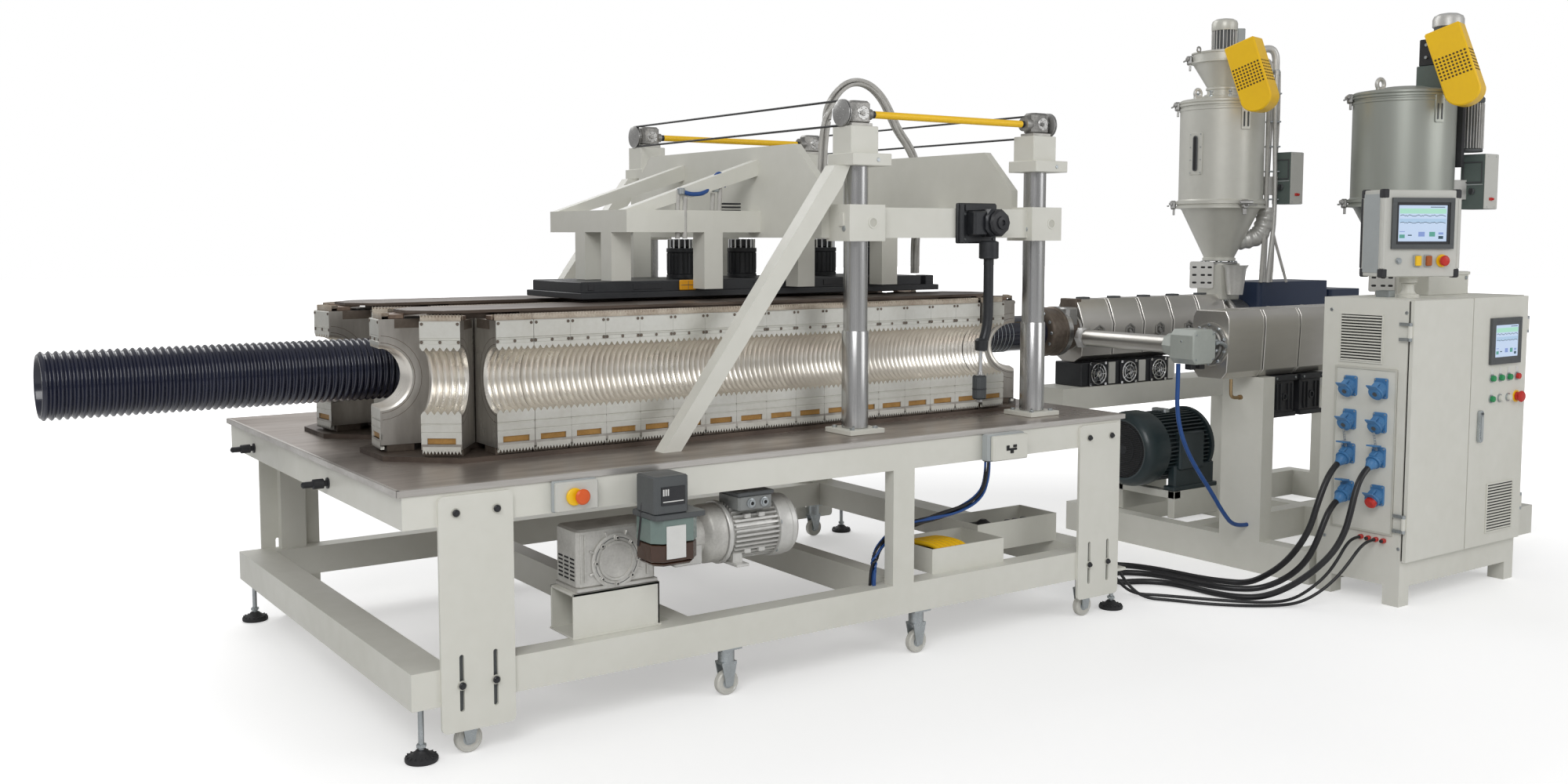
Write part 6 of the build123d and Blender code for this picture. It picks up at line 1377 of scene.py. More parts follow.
# %% Grease pump and tank
tank = rounded(0.204, 0.18, 0.036, 2)
pump = [
    (box_of((0.828, -0.246, 0.836), (0.978, -0.1, 0.982), 0.01), "grey_plastic"),
    (moved(sheet(0.226, 0.19, 0.016, 0.021, 0.003), 0.941, -0.156, 0.815), "grey_plastic"),
    (box_of((0.9, -0.11, 0.83), (1.0, -0.057, 0.93), 0.004), "black_metal"),
    (moved(prism(tank, 0.092, 0.002), 0.934, -0.152, 0.723), "tank_green"),
    (moved(prism(tank * 0.985, 0.066, 0.002), 0.934, -0.152, 0.652), "oil_brown"),
    (moved(prism(tank * 0.9, 0.018, 0.008), 0.934, -0.152, 0.634), "oil_brown"),
    (box_of((0.88, -0.2465, 0.664), (0.965, -0.2415, 0.79), 0.002), "white_label"),
    (box_of((0.856, -0.25, 0.872), (0.96, -0.244, 0.942), 0.004), "black_plastic"),
    (merge([box_of((0.862 + 0.01 * k, -0.2515, 0.909), (0.868 + 0.01 * k, -0.249, 0.934), 0.001)
        for k in range(3)] + [box_of((0.862, -0.2515, 0.884), (0.952, -0.249, 0.888), 0.001)]),
        "white_label"),
    (hose(bend([(0.87, -0.15, 0.9), (0.834, -0.15, 0.9), (0.834, -0.135, 0.82), (0.834, -0.11, 0.7)]), 0.007),
        "cable_black")]
finish("tank_green", (0.17, 0.235, 0.215), (0.12, 0.16, 0.15), 0.5, 7, (0.1, 0.2), coat=0.3)
piece("grease_pump_and_tank", pump, stands_for=["grease_pump"])

# %% Switch boxes on the apron
socket_face = [block((u, v, 0.001), (w, h, 0.003), 0.001) for u, v, w, h in ((0, -0.006, 0.064, 0.01),
    (-0.024, 0.006, 0.018, 0.014), (0.02, 0.008, 0.022, 0.012), (0.002, -0.018, 0.02, 0.014))]
switch_boxes = [
    (box_of((0.491, -0.08, 0.86), (0.674, -0.057, 0.976), 0.01), "panel_grey"),
    (box_of((0.494, -0.102, 0.863), (0.671, -0.08, 0.973), 0.01), "panel_pale"),
    (on_front(drum(0.033, 0.014, 0.003, 28), 0.566, -0.102, 0.918), "yellow"),
    (on_front(lathe([(0.014, 0.01), (0.016, 0.018), (0.028, 0.022), (0.03, 0.029), (0.024, 0.035),
        (0.01, 0.037)], 28), 0.59, -0.102, 0.918), "signal_red"),
    (box_of((2.655, -0.11, 0.851), (2.889, -0.057, 0.976), 0.01), "panel_grey"),
    (box_of((2.665, -0.136, 0.856), (2.884, -0.108, 0.971), 0.008), "ivory"),
    # Near black shapes paint the shade in the socket's openings.
    (on_front(merge(socket_face), 2.775, -0.1365, 0.912), "dark_hole")]
piece("apron_switch_boxes", switch_boxes, stands_for=["apron_boxes"])
print("drive, pump and switch boxes dressed")

# %% [markdown]
# Above the table: chromed columns with a slit sleeve, gearboxes with disc pulleys on the column heads, thin
# belts across and yellow shafts along, and the black cylinders of the press over the mould chains.

# %% Columns and their gearboxes
COLUMN_X, COLUMN_Y = (2.112, 3.222), (0.187, 2.059)
COLUMNS = [(x, y) for x in COLUMN_X for y in COLUMN_Y]
PULLEY_OUT, PULLEY_RADIUS = 0.079, 0.054
SHAFT_Z = 2.4225
posts, gears = [], []
for x, y in COLUMNS:
    far = 1 if x > 3 else -1
    posts += [
        (moved(lathe([(0.0545, 1.03), (0.0545, 2.191)], 48), x, y), "column_steel"),
        (moved(lathe([(0.056, 1.022), (0.0605, 1.026), (0.0605, 1.455), (0.058, 1.46), (0.0545, 1.46)], 48),
            x, y), "column_steel"),
        (moved(sheet(0.194, 0.192, 0.004, 0.022, 0.002), x, y, 1.0005), "ivory"),
        (moved(bolt_circle(0.092, 4, 0.012, 0.01, 45), x, y, 1.022), "zinc")]
    gears += [
        (box_of((x - 0.058, y - 0.046, 2.366), (x + 0.058, y + 0.046, 2.38), 0.003), "cast_aluminium"),
        (box_of((x - 0.055, y - 0.042, 2.376), (x + 0.058, y + 0.042, 2.478), 0.018), "gear_mottled"),
        (along(lathe([(0.034, 0), (0.034, 0.05), (0.024, 0.056), (0.024, 0.1)], 20),
            x - 0.02 if far < 0 else x - 0.085, y, SHAFT_Z), "gear_mottled"),
        (on_front(merge([drum(0.032, 0.008, 0.002, 24), drum(0.014, 0.012, 0.002, 14),
            bolt_circle(0.025, 6, 0.005, 0.011)]), x + 0.008, y - 0.036, 2.424), "bare_steel"),
        (along(ring(block((0.044, 0, 0.012), (0.012, 0.016, 0.024), 0.003), 8), x - 0.012, y, SHAFT_Z),
            "gear_mottled"),
        (along(merge([lathe([(0.016, 0), (0.056, 0.004), (0.06, 0.006), (0.06, 0.01), (0.053, 0.013),
            (0.06, 0.016), (0.06, 0.02), (0.048, 0.023), (0.038, 0.02), (0.016, 0.022), (0.01, 0.028)], 40),
            ring(moved(drum(0.004, 0.024, 0.001, 8), 0.024, 0, 0), 6)]), x + far * PULLEY_OUT - 0.013, y,
            SHAFT_Z), "bare_steel")]
finish("gear_mottled", (0.44, 0.43, 0.41), (0.12, 0.12, 0.115), 0.85, 16, (0.3, 0.5), 0.6, 0.25)
finish("column_steel", (0.7, 0.7, 0.69), (0.3, 0.3, 0.31), 0.75, 5, (0.16, 0.3), 0.95, 0.01, (3, 3, 0.05))
piece("chrome_columns", posts, stands_for=["columns"])
piece("column_gearboxes", gears, stands_for=["head_gearboxes"])

# %% [markdown]
# A belt runs round two pulleys: straight above and below, and a half circle at each end. The function
# that draws the hoses draws it too; only its points come back to where they began.

# %% Belts, shafts and column heads
strands_across, rods = [], []
for x in (COLUMN_X[0] - PULLEY_OUT, COLUMN_X[1] + PULLEY_OUT):
    half_turn = [(PULLEY_RADIUS * math.sin(a), PULLEY_RADIUS * math.cos(a))
        for a in np.linspace(0, math.pi, 12)]
    loop = [(x, COLUMN_Y[0] - s, SHAFT_Z + c) for s, c in half_turn]
    loop += [(x, COLUMN_Y[1] + s, SHAFT_Z - c) for s, c in half_turn] + loop[:2]
    strands_across.append((hose(loop, 0.0052, 8, (1, 0, 0)), "rubber"))
for y in COLUMN_Y:
    rods += [
        (along(drum(0.0165, 0.925, 0.003, 24), 2.205, y, SHAFT_Z), "yellow"),
        (along(drum(0.012, 0.95, 0.002, 20), 2.192, y, SHAFT_Z), "bare_steel")]
    rods += [(along(pipe_ring(0.0168, 0.01, 0.014, 24), x, y, SHAFT_Z), "black_metal")
        for x in (2.198, 3.122)]
heads = []
for x, y in COLUMNS:
    heads += [
        (box_of((x - 0.088, y - 0.096, 2.192), (x + 0.128, y + 0.096, 2.246), 0.004), "ivory"),
        (box_of((x - 0.08, y - 0.07, 2.244), (x + 0.072, y + 0.07, 2.365), 0.004), "ivory"),
        (on_front(drum(0.009, 0.003, 0.001, 14), x + 0.05, y - 0.096, 2.218), "zinc")]
piece("stepped_heads", heads, stands_for=["column_heads"])
piece("belts_across", strands_across, stands_for=["cross_belts"])
piece("yellow_shafts", rods, stands_for=["line_shafts"])

# %% [markdown]
# The press rides on the columns, so its pieces belong to the carriage and move with it. Its cylinders
# are turned profiles with a toothed band and a ring of screws on the lid.

# %% Slide bosses, press cylinders and plate
bosses = []
for x, y in COLUMNS:
    clamp = block((0, 0, 0.001), (0.034, 0.06, 0.012), 0.01)
    bosses += [
        (on_front(pipe_ring(0.026, 0.019, 0.004, 24), x + 0.03, y - 0.085, 1.942), "ivory"),
        (on_front(drum(0.019, 0.001, 0.0002, 24), x + 0.03, y - 0.085, 1.942), "ivory_shade"),
        (on_side(clamp, x - 0.1, y - 0.03, 1.955), "ivory"),
        (on_side(drum(0.012, 0.004, 0.001, 14), x - 0.1, y - 0.045, 1.915), "zinc")]
piece("slide_bosses", bosses, body="carriage")

canisters = []
for x, radius in ((1.764, 0.07), (2.119, 0.074), (2.622, 0.072), (2.95, 0.062)):
    canisters += [
        (moved(lathe([(radius, 1.679), (radius, 1.694), (radius * 0.93, 1.698), (radius * 0.93, 1.8),
            (radius, 1.804), (radius, 1.822), (radius * 0.6, 1.826)], 40), x, PIPE_Y), "black_metal"),
        (moved(prism(toothed(20, radius * 0.93, radius * 0.985, 0.6), 0.1), x, PIPE_Y, 1.699), "black_metal"),
        (moved(ring(moved(drum(0.0045, 0.045, 0.001, 8), radius * 0.86, 0, 0), 14), x, PIPE_Y, 1.822),
            "chrome"),
        (moved(drum(radius * 0.7, 0.04, 0.004, 28), x, PIPE_Y, 1.826), "black_plastic")]
piece("press_canisters", canisters, body="carriage", stands_for=["press_cylinders"])

plate = [
    (box_of((1.078, 0.839, 1.6), (3.18, 1.407, 1.628), 0.004), "black_metal"),
    (box_of((1.095, 0.87, 1.626), (3.085, 1.376, 1.676), 0.006), "black_metal"),
    (box_of((3.115, 0.87, 1.626), (3.17, 0.96, 1.676), 0.004), "black_metal"),
    (merge([box_of((x, 0.8665, 1.638), (x + w, 0.872, 1.664), 0.002)
        for x, w in ((1.13, 0.03), (1.36, 0.15), (2.02, 0.1), (2.44, 0.16), (2.86, 0.05))]), "black_plastic"),
    (box_of((1.603, 0.858, 1.63), (1.69, 0.874, 1.677), 0.008), "orange_block"),
    (merge([box_of((1.6445, 0.8575, 1.634), (1.6485, 0.86, 1.673), 0.001),
        box_of((1.607, 0.8575, 1.652), (1.686, 0.86, 1.656), 0.001)]), "brass")]
finish("orange_block", (0.86, 0.4, 0.012), (0.7, 0.3, 0.01), 0.4, 12, (0.3, 0.45))
piece("press_plate_stepped", plate, body="carriage", stands_for=["press_plate"])

# %% [markdown]
# A tool hangs in front of the moulds: a plate with a knob, a bent tube and a spindle. Clear air lines
# stand over the press further to the left. Both are turned shapes and tubes along a few points.

# %% Hanging tool and air lines
ROD_X, ROD_Y = 2.803, 0.062
cam = lathe([(0.06, 0), (0.062, 0.01), (0.054, 0.022), (0.032, 0.024), (0.03, 0.032), (0.014, 0.034),
    (0.012, 0.026)], 10)
tool = [
    (on_front(sheet(0.244, 0.188, 0.008, 0.018, 0.003), 2.78, 0.136, 1.942), "black_metal"),
    (merge([box_of((2.664, 0.105, 1.852), (2.69, 0.12, 2.032), 0.004),
        box_of((2.7, 0.108, 2.0), (2.896, 0.12, 2.03), 0.004),
        box_of((2.712, 0.06, 1.885), (2.8, 0.12, 1.998), 0.01)]), "black_metal"),
    (merge([on_front(drum(0.007, 0.006, 0.002, 10), x, 0.119, z) for x in (2.702, 2.882)
        for z in (1.868, 1.985)]), "grey_plastic"),
    (on_front(prism(rounded(0.135, 0.128, 0.034, 2), 0.076, 0.008), 2.838, 0.118, 1.944), "black_metal"),
    (on_front(cam, 2.843, 0.043, 1.944), "black_plastic"),
    (moved(lathe([(0.034, 1.86), (0.046, 1.855), (0.046, 1.78), (0.038, 1.776), (0.025, 1.775)], 28), ROD_X,
        ROD_Y), "black_metal"),
    (hose(bend([(ROD_X, ROD_Y, 1.8), (ROD_X, ROD_Y, 1.6), (ROD_X, ROD_Y, 1.5), (ROD_X - 0.012, ROD_Y, 1.43),
        (ROD_X - 0.046, ROD_Y, 1.352)], 12), 0.0235, 24), "black_metal"),
    (moved(lathe([(0.022, 1.405), (0.032, 1.395), (0.03, 1.35), (0.012, 1.345)], 28), ROD_X - 0.04, ROD_Y),
        "black_metal"),
    (moved(drum(0.0095, 0.15, 0.001, 20), ROD_X - 0.046, ROD_Y, 1.21), "chrome"),
    (moved(lathe([(0.012, 1.25), (0.014, 1.236), (0.024, 1.23)], 24), ROD_X - 0.048, ROD_Y), "bare_steel"),
    (moved(prism(toothed(26, 0.03, 0.0325), 0.112, 0.006), ROD_X - 0.05, ROD_Y, 1.12), "grey_plastic"),
    (moved(pipe_ring(0.034, 0.02, 0.006, 28), ROD_X - 0.05, ROD_Y, 1.166), "black_plastic"),
    (moved(hexagon(0.016, 0.016), ROD_X - 0.05, ROD_Y, 1.105), "bare_steel")]
piece("hanging_tool", tool, body="carriage", stands_for=["spindle_tool"])

lines = []
for x, y, high in ((1.53, 0.76, 2.09), (1.56, 0.745, 2.06), (1.735, 0.79, 2.08), (1.765, 0.775, 2.11)):
    lines.append((hose([(x, y, 1.87), (x, y, 2.0), (x + 0.004, y, high)], 0.011, 12), "hose_clear"))
lines += [
    (hose(bend([(1.545, 0.752, 2.085), (1.6, 0.75, 2.07), (1.68, 0.755, 2.078), (1.735, 0.79, 2.13),
        (1.762, 0.78, 2.18), (1.8, 0.775, 2.15), (1.79, 0.775, 2.11)]), 0.01, 12), "cable_blue"),
    (moved(drum(0.018, 0.03, 0.003, 16), 1.545, 0.752, 2.07), "zinc"),
    (moved(drum(0.018, 0.03, 0.003, 16), 1.75, 0.782, 2.085), "zinc"),
    (merge([block((1.83, 0.79, 2.0 + 0.016 * k), (0.1, 0.05, 0.008), 0.002) for k in range(3)]),
        "black_plastic")]
piece("press_air_lines", lines, body="carriage")
print("columns, lifting gear and press dressed")

# %% [markdown]
# The extruders: covers in five lengths with a flat top and slanted shoulders over the barrels, clip
# plates along the main barrel, black fan ducts under both, the melt pipe with its adapter box, and the
# big motor.

# %% Covers of both barrels
def barrel(x, y, z, pitch, count, flat, shoulder):
    """Covers along X over a near black core, which paints the shade in the gaps between them; the
    section is given as (depth, across) corners, depth counted downwards."""
    half = [(0.188, flat * 0.8), (0.15, 0.112), (shoulder, 0.1235), (-0.15, flat + 0.022), (-0.188, flat)]
    section = np.array([(d, -a) for d, a in half[:1]] + half + [(d, -a) for d, a in half[:0:-1]])
    parts = [(along(prism(section * 0.955, pitch * count - 0.06), x + 0.03, y, z), "dark_hole")]
    for k in range(count):
        parts += [
            (along(prism(section * 0.99, pitch - 0.01, 0.003), x + pitch * k, y, z), "cover_steel"),
            (along(prism(section, 0.012, 0.001), x + pitch * (k + 1) - 0.024, y, z), "cover_steel")]
    return parts


finish("cover_steel", (0.6, 0.585, 0.555), (0.44, 0.42, 0.385), 0.4, 1.6, (0.26, 0.36), 0.85, 0.008,
    (0.4, 1.6, 1.6))
MAIN_AXIS, SIDE_AXIS = (PIPE_Y, PIPE_Z), (SIDE_Y, SIDE_Z)
MAIN_LEFT, SIDE_LEFT, MELT_X = 4.46, 4.563, 4.381
MAIN_COVER, SIDE_COVER, COVERS = 0.272, 0.322, 5
main = barrel(MAIN_LEFT, *MAIN_AXIS, MAIN_COVER, COVERS, 0.06, -0.04)
middles = [MAIN_LEFT + (k + 0.5) * MAIN_COVER for k in range(COVERS)]
clip = merge([pipe_ring(0.044, 0.035, 0.008, 6), pipe_ring(0.02, 0.013, 0.012, 14),
    drum(0.008, 0.01, 0.002, 10), block((0, -0.02, 0.004), (0.016, 0.03, 0.006), 0.002)])
for x in middles:
    main += [
        (on_front(turned(clip, 30), x, 1.0005, PIPE_Z - 0.01), "bare_steel"),
        (box_of((x - 0.051, 1.095, 1.503), (x + 0.019, 1.15, 1.516), 0.003), "grey_plastic")]
main += [
    (along(lathe([(0.105, 0), (0.12, 0.004), (0.12, 0.022), (0.1, 0.028)], 32), 4.433, *MAIN_AXIS),
        "bare_steel"),
    (box_of((4.452, 1.055, 1.44), (4.5, 1.19, 1.509), 0.006), "mould_dark")]
piece("main_barrel_covers", main, stands_for=["main_barrel"])

side = barrel(SIDE_LEFT, *SIDE_AXIS, SIDE_COVER, COVERS, 0.098, -0.09)
side += [
    (along(lathe([(0.1, -0.012), (0.121, -0.01), (0.122, 0.004)], 48), SIDE_LEFT, *SIDE_AXIS), "cover_steel"),
    (along(pipe_ring(0.112, 0.104, 0.004, 48), 4.549, *SIDE_AXIS), "bare_steel"),
    (along(bolt_circle(0.108, 10, 0.009, 0.01, z=-0.02), SIDE_LEFT, *SIDE_AXIS), "zinc")]
piece("side_barrel_covers", side, stands_for=["side_barrel"])

# %% [markdown]
# The melt of the side extruder crosses to the main one through a pipe. The adapter is a block with cut
# corners, and a lathe with only eight segments gives the eight-sided collar behind it.

# %% Melt pipe, adapter and drain
finish("adapter_green", (0.43, 0.46, 0.43), (0.33, 0.355, 0.33), 0.5, 5, (0.35, 0.5), 0.15)
box_face = rounded(0.186, 0.186, 0.03, 2)
melt = [
    (moved(laid(prism(box_face, 0.16, 0.006), "Y"), MELT_X, 0.06, SIDE_Z), "adapter_green"),
    (moved(laid(lathe([(0.09, 0), (0.09, 0.016), (0.062, 0.07), (0.062, 0.086), (0.048, 0.088)], 8), "Y"),
        MELT_X, 0.214, SIDE_Z), "adapter_green"),
    (moved(laid(drum(0.0475, 0.655, 0.001, 40), "Y"), MELT_X, 0.295, SIDE_Z), "cover_steel"),
    (moved(laid(lathe([(0.055, 0), (0.066, 0.006), (0.066, 0.04), (0.058, 0.046)], 6), "Y"), MELT_X, 0.9,
        SIDE_Z), "bare_steel"),
    (along(lathe([(0.07, 0), (0.08, 0.003), (0.08, 0.018), (0.066, 0.022), (0.066, 0.04), (0.096, 0.044),
        (0.096, 0.064), (0.088, 0.068)], 36), 4.474, *SIDE_AXIS), "bare_steel"),
    (along(ring(moved(merge([hexagon(0.01, 0.03), moved(drum(0.006, 0.05, 0.001, 8), z=-0.012)]), 0.084, 0,
        0.03), 10), 4.474, *SIDE_AXIS), "zinc"),
    (on_front(bolt_circle(0.095, 4, 0.006, 0.004, 45), MELT_X, 0.0605, SIDE_Z), "zinc"),
    (on_side(drum(0.006, 0.003, 0.001, 10), 4.288, 0.14, 1.32), "zinc"),
    (hose(bend([(4.47, 0.06, 1.305), (4.5, 0.055, 1.312), (4.53, 0.052, 1.3), (4.556, 0.056, 1.285)]), 0.01,
        10), "zinc"),
    (merge([box_of((4.33 + 0.075 * k, 0.105, 1.166), (4.37 + 0.075 * k, 0.15, 1.198), 0.004)
        for k in range(2)]), "black_plastic"),
    (moved(drum(0.017, 0.03, 0.003, 16), 4.47, 0.15, 1.168), "cable_blue")]
piece("melt_pipe_and_adapter", melt, stands_for=["melt_pipe"])
drain = bend([(4.61, 0.06, 1.105), (4.61, 0.06, 1.05), (4.612, 0.06, 1.012), (4.64, 0.06, 1.0),
    (4.69, 0.06, 1.0)])
piece("drain_pipe", [
    (hose(drain, 0.0095, 12), "brass"),
    (along(pipe_ring(0.014, 0.009, 0.016, 18), 4.682, 0.06, 1.0), "brass")])

# %% [markdown]
# The die head is a turned body with a circle of nuts. A long mandrel leaves it towards the moulds, and
# thin bright rings stand along it.

# %% Die head and mandrel
DIE_TUBE = 0.105
die = [
    (along(lathe([(DIE_TUBE, 0), (DIE_TUBE + 0.02, 0.004), (0.14, 0.012), (0.146, 0.02), (0.146, 0.07),
        (0.138, 0.076), (0.138, 0.12), (0.146, 0.126), (0.146, 0.176), (0.125, 0.186), (0.12, 0.247)], 48),
        4.184, *MAIN_AXIS), "mould_dark"),
    (along(bolt_circle(0.125, 12, 0.011, 0.014, z=-0.004), 4.19, *MAIN_AXIS), "zinc"),
    (along(pipe_ring(0.1475, 0.13, 0.034, 48), 4.32, *MAIN_AXIS), "bare_steel"),
    (box_of((4.33, 1.005, 1.35), (4.425, 1.105, 1.462), 0.016), "bare_steel"),
    (along(drum(DIE_TUBE - 0.004, 1.205, 0.002, 48), 2.98, *MAIN_AXIS), "pipe_navy"),
    (along(copies(torus(DIE_TUBE - 0.003, 0.0028, 40, 6), [(0, 0, z) for z in np.arange(0.36, 0.95, 0.03)]),
        2.98, *MAIN_AXIS), "zinc")]
piece("die_head_and_mandrel", die, stands_for=["die_head"])

# %% [markdown]
# Fans cool the barrels. Each guard is a few rings and spokes in front of a near black disc with blades.
# The disc is painted shade, which reads as a deep opening without a cut in the box.

# %% Fans under the barrels
wheel_guard = merge([torus(0.06, 0.0045, 32, 6), torus(0.04, 0.003, 28, 6),
    moved(lathe([(0.02, 0), (0.02, 0.01), (0.008, 0.014)], 16), z=-0.004),
    ring(block((0.04, 0, 0.002), (0.046, 0.004, 0.003), 0.001), 5),
    ring(block((0.063, 0.063, -0.004), (0.016, 0.016, 0.006), 0.002), 4)])
fans = [(box_of((4.462, 1.014, 0.986), (5.298, 1.231, 1.126), 0.006), "black_metal")]
for x in middles[:3]:
    fans += [
        (box_of((x - 0.072, 1.003, 0.99), (x + 0.072, 1.016, 1.124), 0.006), "black_plastic"),
        # The near black disc paints the shade inside the fan's opening.
        (on_front(drum(0.06, 0.001, 0.0002, 32), x, 1.003, 1.057), "dark_hole"),
        (on_front(ring(turned(block((0.036, 0, 0.001), (0.04, 0.024, 0.002), 0.001), 14, "X"), 5, start=20),
            x, 1.002, 1.057), "grey_plastic"),
        (on_front(wheel_guard, x, 0.998, 1.057), "chrome"),
        (box_of((x + 0.1, 1.006, 0.992), (x + 0.156, 1.016, 1.122), 0.002), "panel_pale")]
for x in (5.1, 5.35):
    fans += [
        (box_of((x - 0.109, 0.058, 1.066), (x + 0.109, 0.276, 1.099), 0.006), "black_metal"),
        (box_of((x - 0.096, 0.07, 0.862), (x + 0.096, 0.264, 1.07), 0.01), "black_plastic"),
        (box_of((x - 0.104, 0.062, 0.862), (x + 0.104, 0.272, 0.888), 0.004), "black_metal"),
        (on_front(merge([block((u, 0, 0.004), (0.01, 0.15, 0.008), 0.003)
            for u in (-0.07, -0.035, 0.035, 0.07)] + [pipe_ring(0.022, 0.014, 0.008, 20)]), x, 0.07, 0.975),
            "black_metal"),
        (on_front(copies(hexagon(0.007, 0.004), [(-0.085, 0, 0), (0.085, 0, 0)]), x, 0.058, 1.083), "zinc")]
piece("fan_ducts", fans, stands_for=["barrel_fans"])

# %% [markdown]
# The main motor has a cowl with a barred inlet at its free end. Each bar is as long as the chord of the
# inlet at its distance u from the middle: 2 sqrt(r r - u u).

# %% Main motor
MOTOR_LEFT, MOTOR_AXIS, COWL_RADIUS = 4.738, (0.937, 0.595), 0.229
bars = merge([block((u, 0, 0.002), (0.005, 2 * math.sqrt(0.168 ** 2 - u * u), 0.005), 0.001)
    for u in np.arange(-0.16, 0.165, 0.0115)])
main_drive = [
    (along(lathe([(0.172, 0.016), (0.172, 0.004), (0.184, 0.0), (0.204, 0.01), (0.22, 0.034),
        (COWL_RADIUS, 0.075), (COWL_RADIUS, 0.15), (0.222, 0.158), (0.222, 0.188), (0.205, 0.192)], 64),
        MOTOR_LEFT, *MOTOR_AXIS), "motor_green"),
    # A near black disc behind the bars paints the shade inside the inlet.
    (along(drum(0.171, 0.003, 0.001, 48), MOTOR_LEFT + 0.012, *MOTOR_AXIS), "dark_hole"),
    (along(merge([bars, torus(0.15, 0.003, 40, 6), torus(0.085, 0.003, 32, 6), drum(0.03, 0.005, 0.002, 20)]),
        MOTOR_LEFT + 0.01, *MOTOR_AXIS), "black_metal"),
    (along(prism(toothed(52, 0.19, 0.214, 0.3), 0.37, 0.003), MOTOR_LEFT + 0.19, *MOTOR_AXIS), "motor_green"),
    (along(lathe([(0.205, 0), (0.224, 0.004), (0.224, 0.03), (0.19, 0.05), (0.1, 0.076)], 56),
        MOTOR_LEFT + 0.56, *MOTOR_AXIS), "motor_green"),
    (box_of((5.01, 0.712, 0.47), (5.23, 0.8, 0.7), 0.012), "motor_green"),
    (box_of((5.02, 0.708, 0.48), (5.22, 0.714, 0.69), 0.006), "motor_green"),
    (box_of((5.06, 0.88, 0.795), (5.11, 0.99, 0.824), 0.01), "zinc"),
    (merge([box_of((4.985, y, 0.35), (5.35, y + 0.06, 0.5), 0.01)
        for y in (0.73, 1.084)] + [box_of((4.965, y - 0.012, 0.345), (5.37, y + 0.072, 0.372), 0.006)
        for y in (0.73, 1.084)]), "motor_green"),
    (merge([box_of((4.96, 0.712, 0.182), (5.372, 0.762, 0.345), 0.004),
        box_of((4.96, 1.11, 0.182), (5.372, 1.16, 0.345), 0.004),
        box_of((4.96, 0.712, 0.3), (5.02, 1.16, 0.345), 0.004)]), "ivory")]
piece("main_motor_with_cowl", main_drive, stands_for=["main_motor"])
print("extruders dressed")

# %% [markdown]
# Small parts round the table: dark bolts in the leg plates and their slots, locking handles on the end of the
# apron, wheels with a cream tyre, ribbed rubber feet on studs, and yellow hoses lying in the front tray.

# %% Bolts and handles
bolts, seats = [], []
for x in (0.195, 3.439):
    for u in (-1, 1):
        for dx, z in ((0.078 * u, 0.902), (0.065 * u, 0.272)):
            bolts.append((on_front(merge([drum(0.0135, 0.012, 0.004, 14),
                moved(hexagon(0.009, 0.006), z=0.011)]), x + dx, -0.0712, z), "black_plastic"))
            seats.append((on_front(pipe_ring(0.018, 0.012, 0.002, 18), x + dx, -0.0712, z), "ivory_shade"))
        # Dark strips paint the shade in the slots of the leg plates.
        seats.append((on_front(block((0, 0, 0), (0.017, 0.208, 0.001), 0.0005), x + 0.065 * u, -0.059, 0.28),
            "grey_plastic"))
for y in (0.777, 1.882):
    handle = lathe([(0.022, 0), (0.022, 0.006), (0.012, 0.008), (0.012, 0.016), (0.02, 0.02), (0.02, 0.06),
        (0.013, 0.064), (0.013, 0.1), (0.006, 0.106)], 18)
    bolts.append((on_side(handle, -0.0732, y, 0.905), "black_plastic"))
piece("bolts_and_handles", bolts + seats)

# %% Wheels, feet and the edge of the table
tyre = lathe([(0.022, 0.004), (0.046, 0.002), (0.051, 0.007), (0.0518, 0.019), (0.051, 0.031), (0.046, 0.036),
    (0.022, 0.034)], 40)
core = lathe([(0.006, -0.001), (0.014, -0.001), (0.018, 0.003), (0.036, 0.006), (0.038, 0.002), (0.04, 0.002),
    (0.04, 0.036), (0.036, 0.032), (0.018, 0.035), (0.014, 0.039), (0.006, 0.039)], 32)
wheels, feet = [], []
for y in (-0.007, 2.253):
    for x in (0.174, 1.296, 2.317, 3.397):
        wheels += [
            (on_front(tyre, x, y + 0.019, 0.052), "caster_white"),
            (on_front(core, x, y + 0.019, 0.052), "zinc")]
    for x in (0.0, 3.617):
        feet += [
            (moved(lathe([(0.04, 0), (0.058, 0.001), (0.06, 0.006), (0.06, 0.015), (0.052, 0.022),
                (0.03, 0.03), (0.02, 0.042), (0.011, 0.043)], 36), x, max(y, 0.0), 0), "rubber"),
            (moved(ring(block((0.045, 0, 0.021), (0.022, 0.004, 0.008), 0.001), 16), x, max(y, 0.0), 0),
                "rubber"),
            (moved(drum(0.0105, 0.16, 0.001, 16), x, max(y, 0.0), 0.042), "zinc"),
            (moved(merge([hexagon(0.019, 0.014), moved(hexagon(0.017, 0.01), z=0.14)]), x, max(y, 0.0), 0.05),
                "zinc")]
# A strip of polished steel, lighter than the table top, along its front and left edges: real polish, and also
# a painted highlight where the edge catches the light.
edge = [box_of((-0.0936, -0.0636, 0.9765), (3.6246, -0.0615, 0.9995), 0.0008),
    box_of((-0.0936, -0.0636, 0.9765), (-0.0915, 2.3096, 0.9995), 0.0008),
    box_of((-0.09, -0.06, 0.9996), (3.621, -0.05, 1.0004), 0.0003),
    box_of((-0.09, -0.06, 0.9996), (-0.08, 2.306, 1.0004), 0.0003)]
piece("polished_table_edge", [(merge(edge), "edge_steel")])
piece("caster_tyres", wheels, stands_for=["caster_wheels"])
piece("ribbed_feet", feet, stands_for=["levelling_feet"])

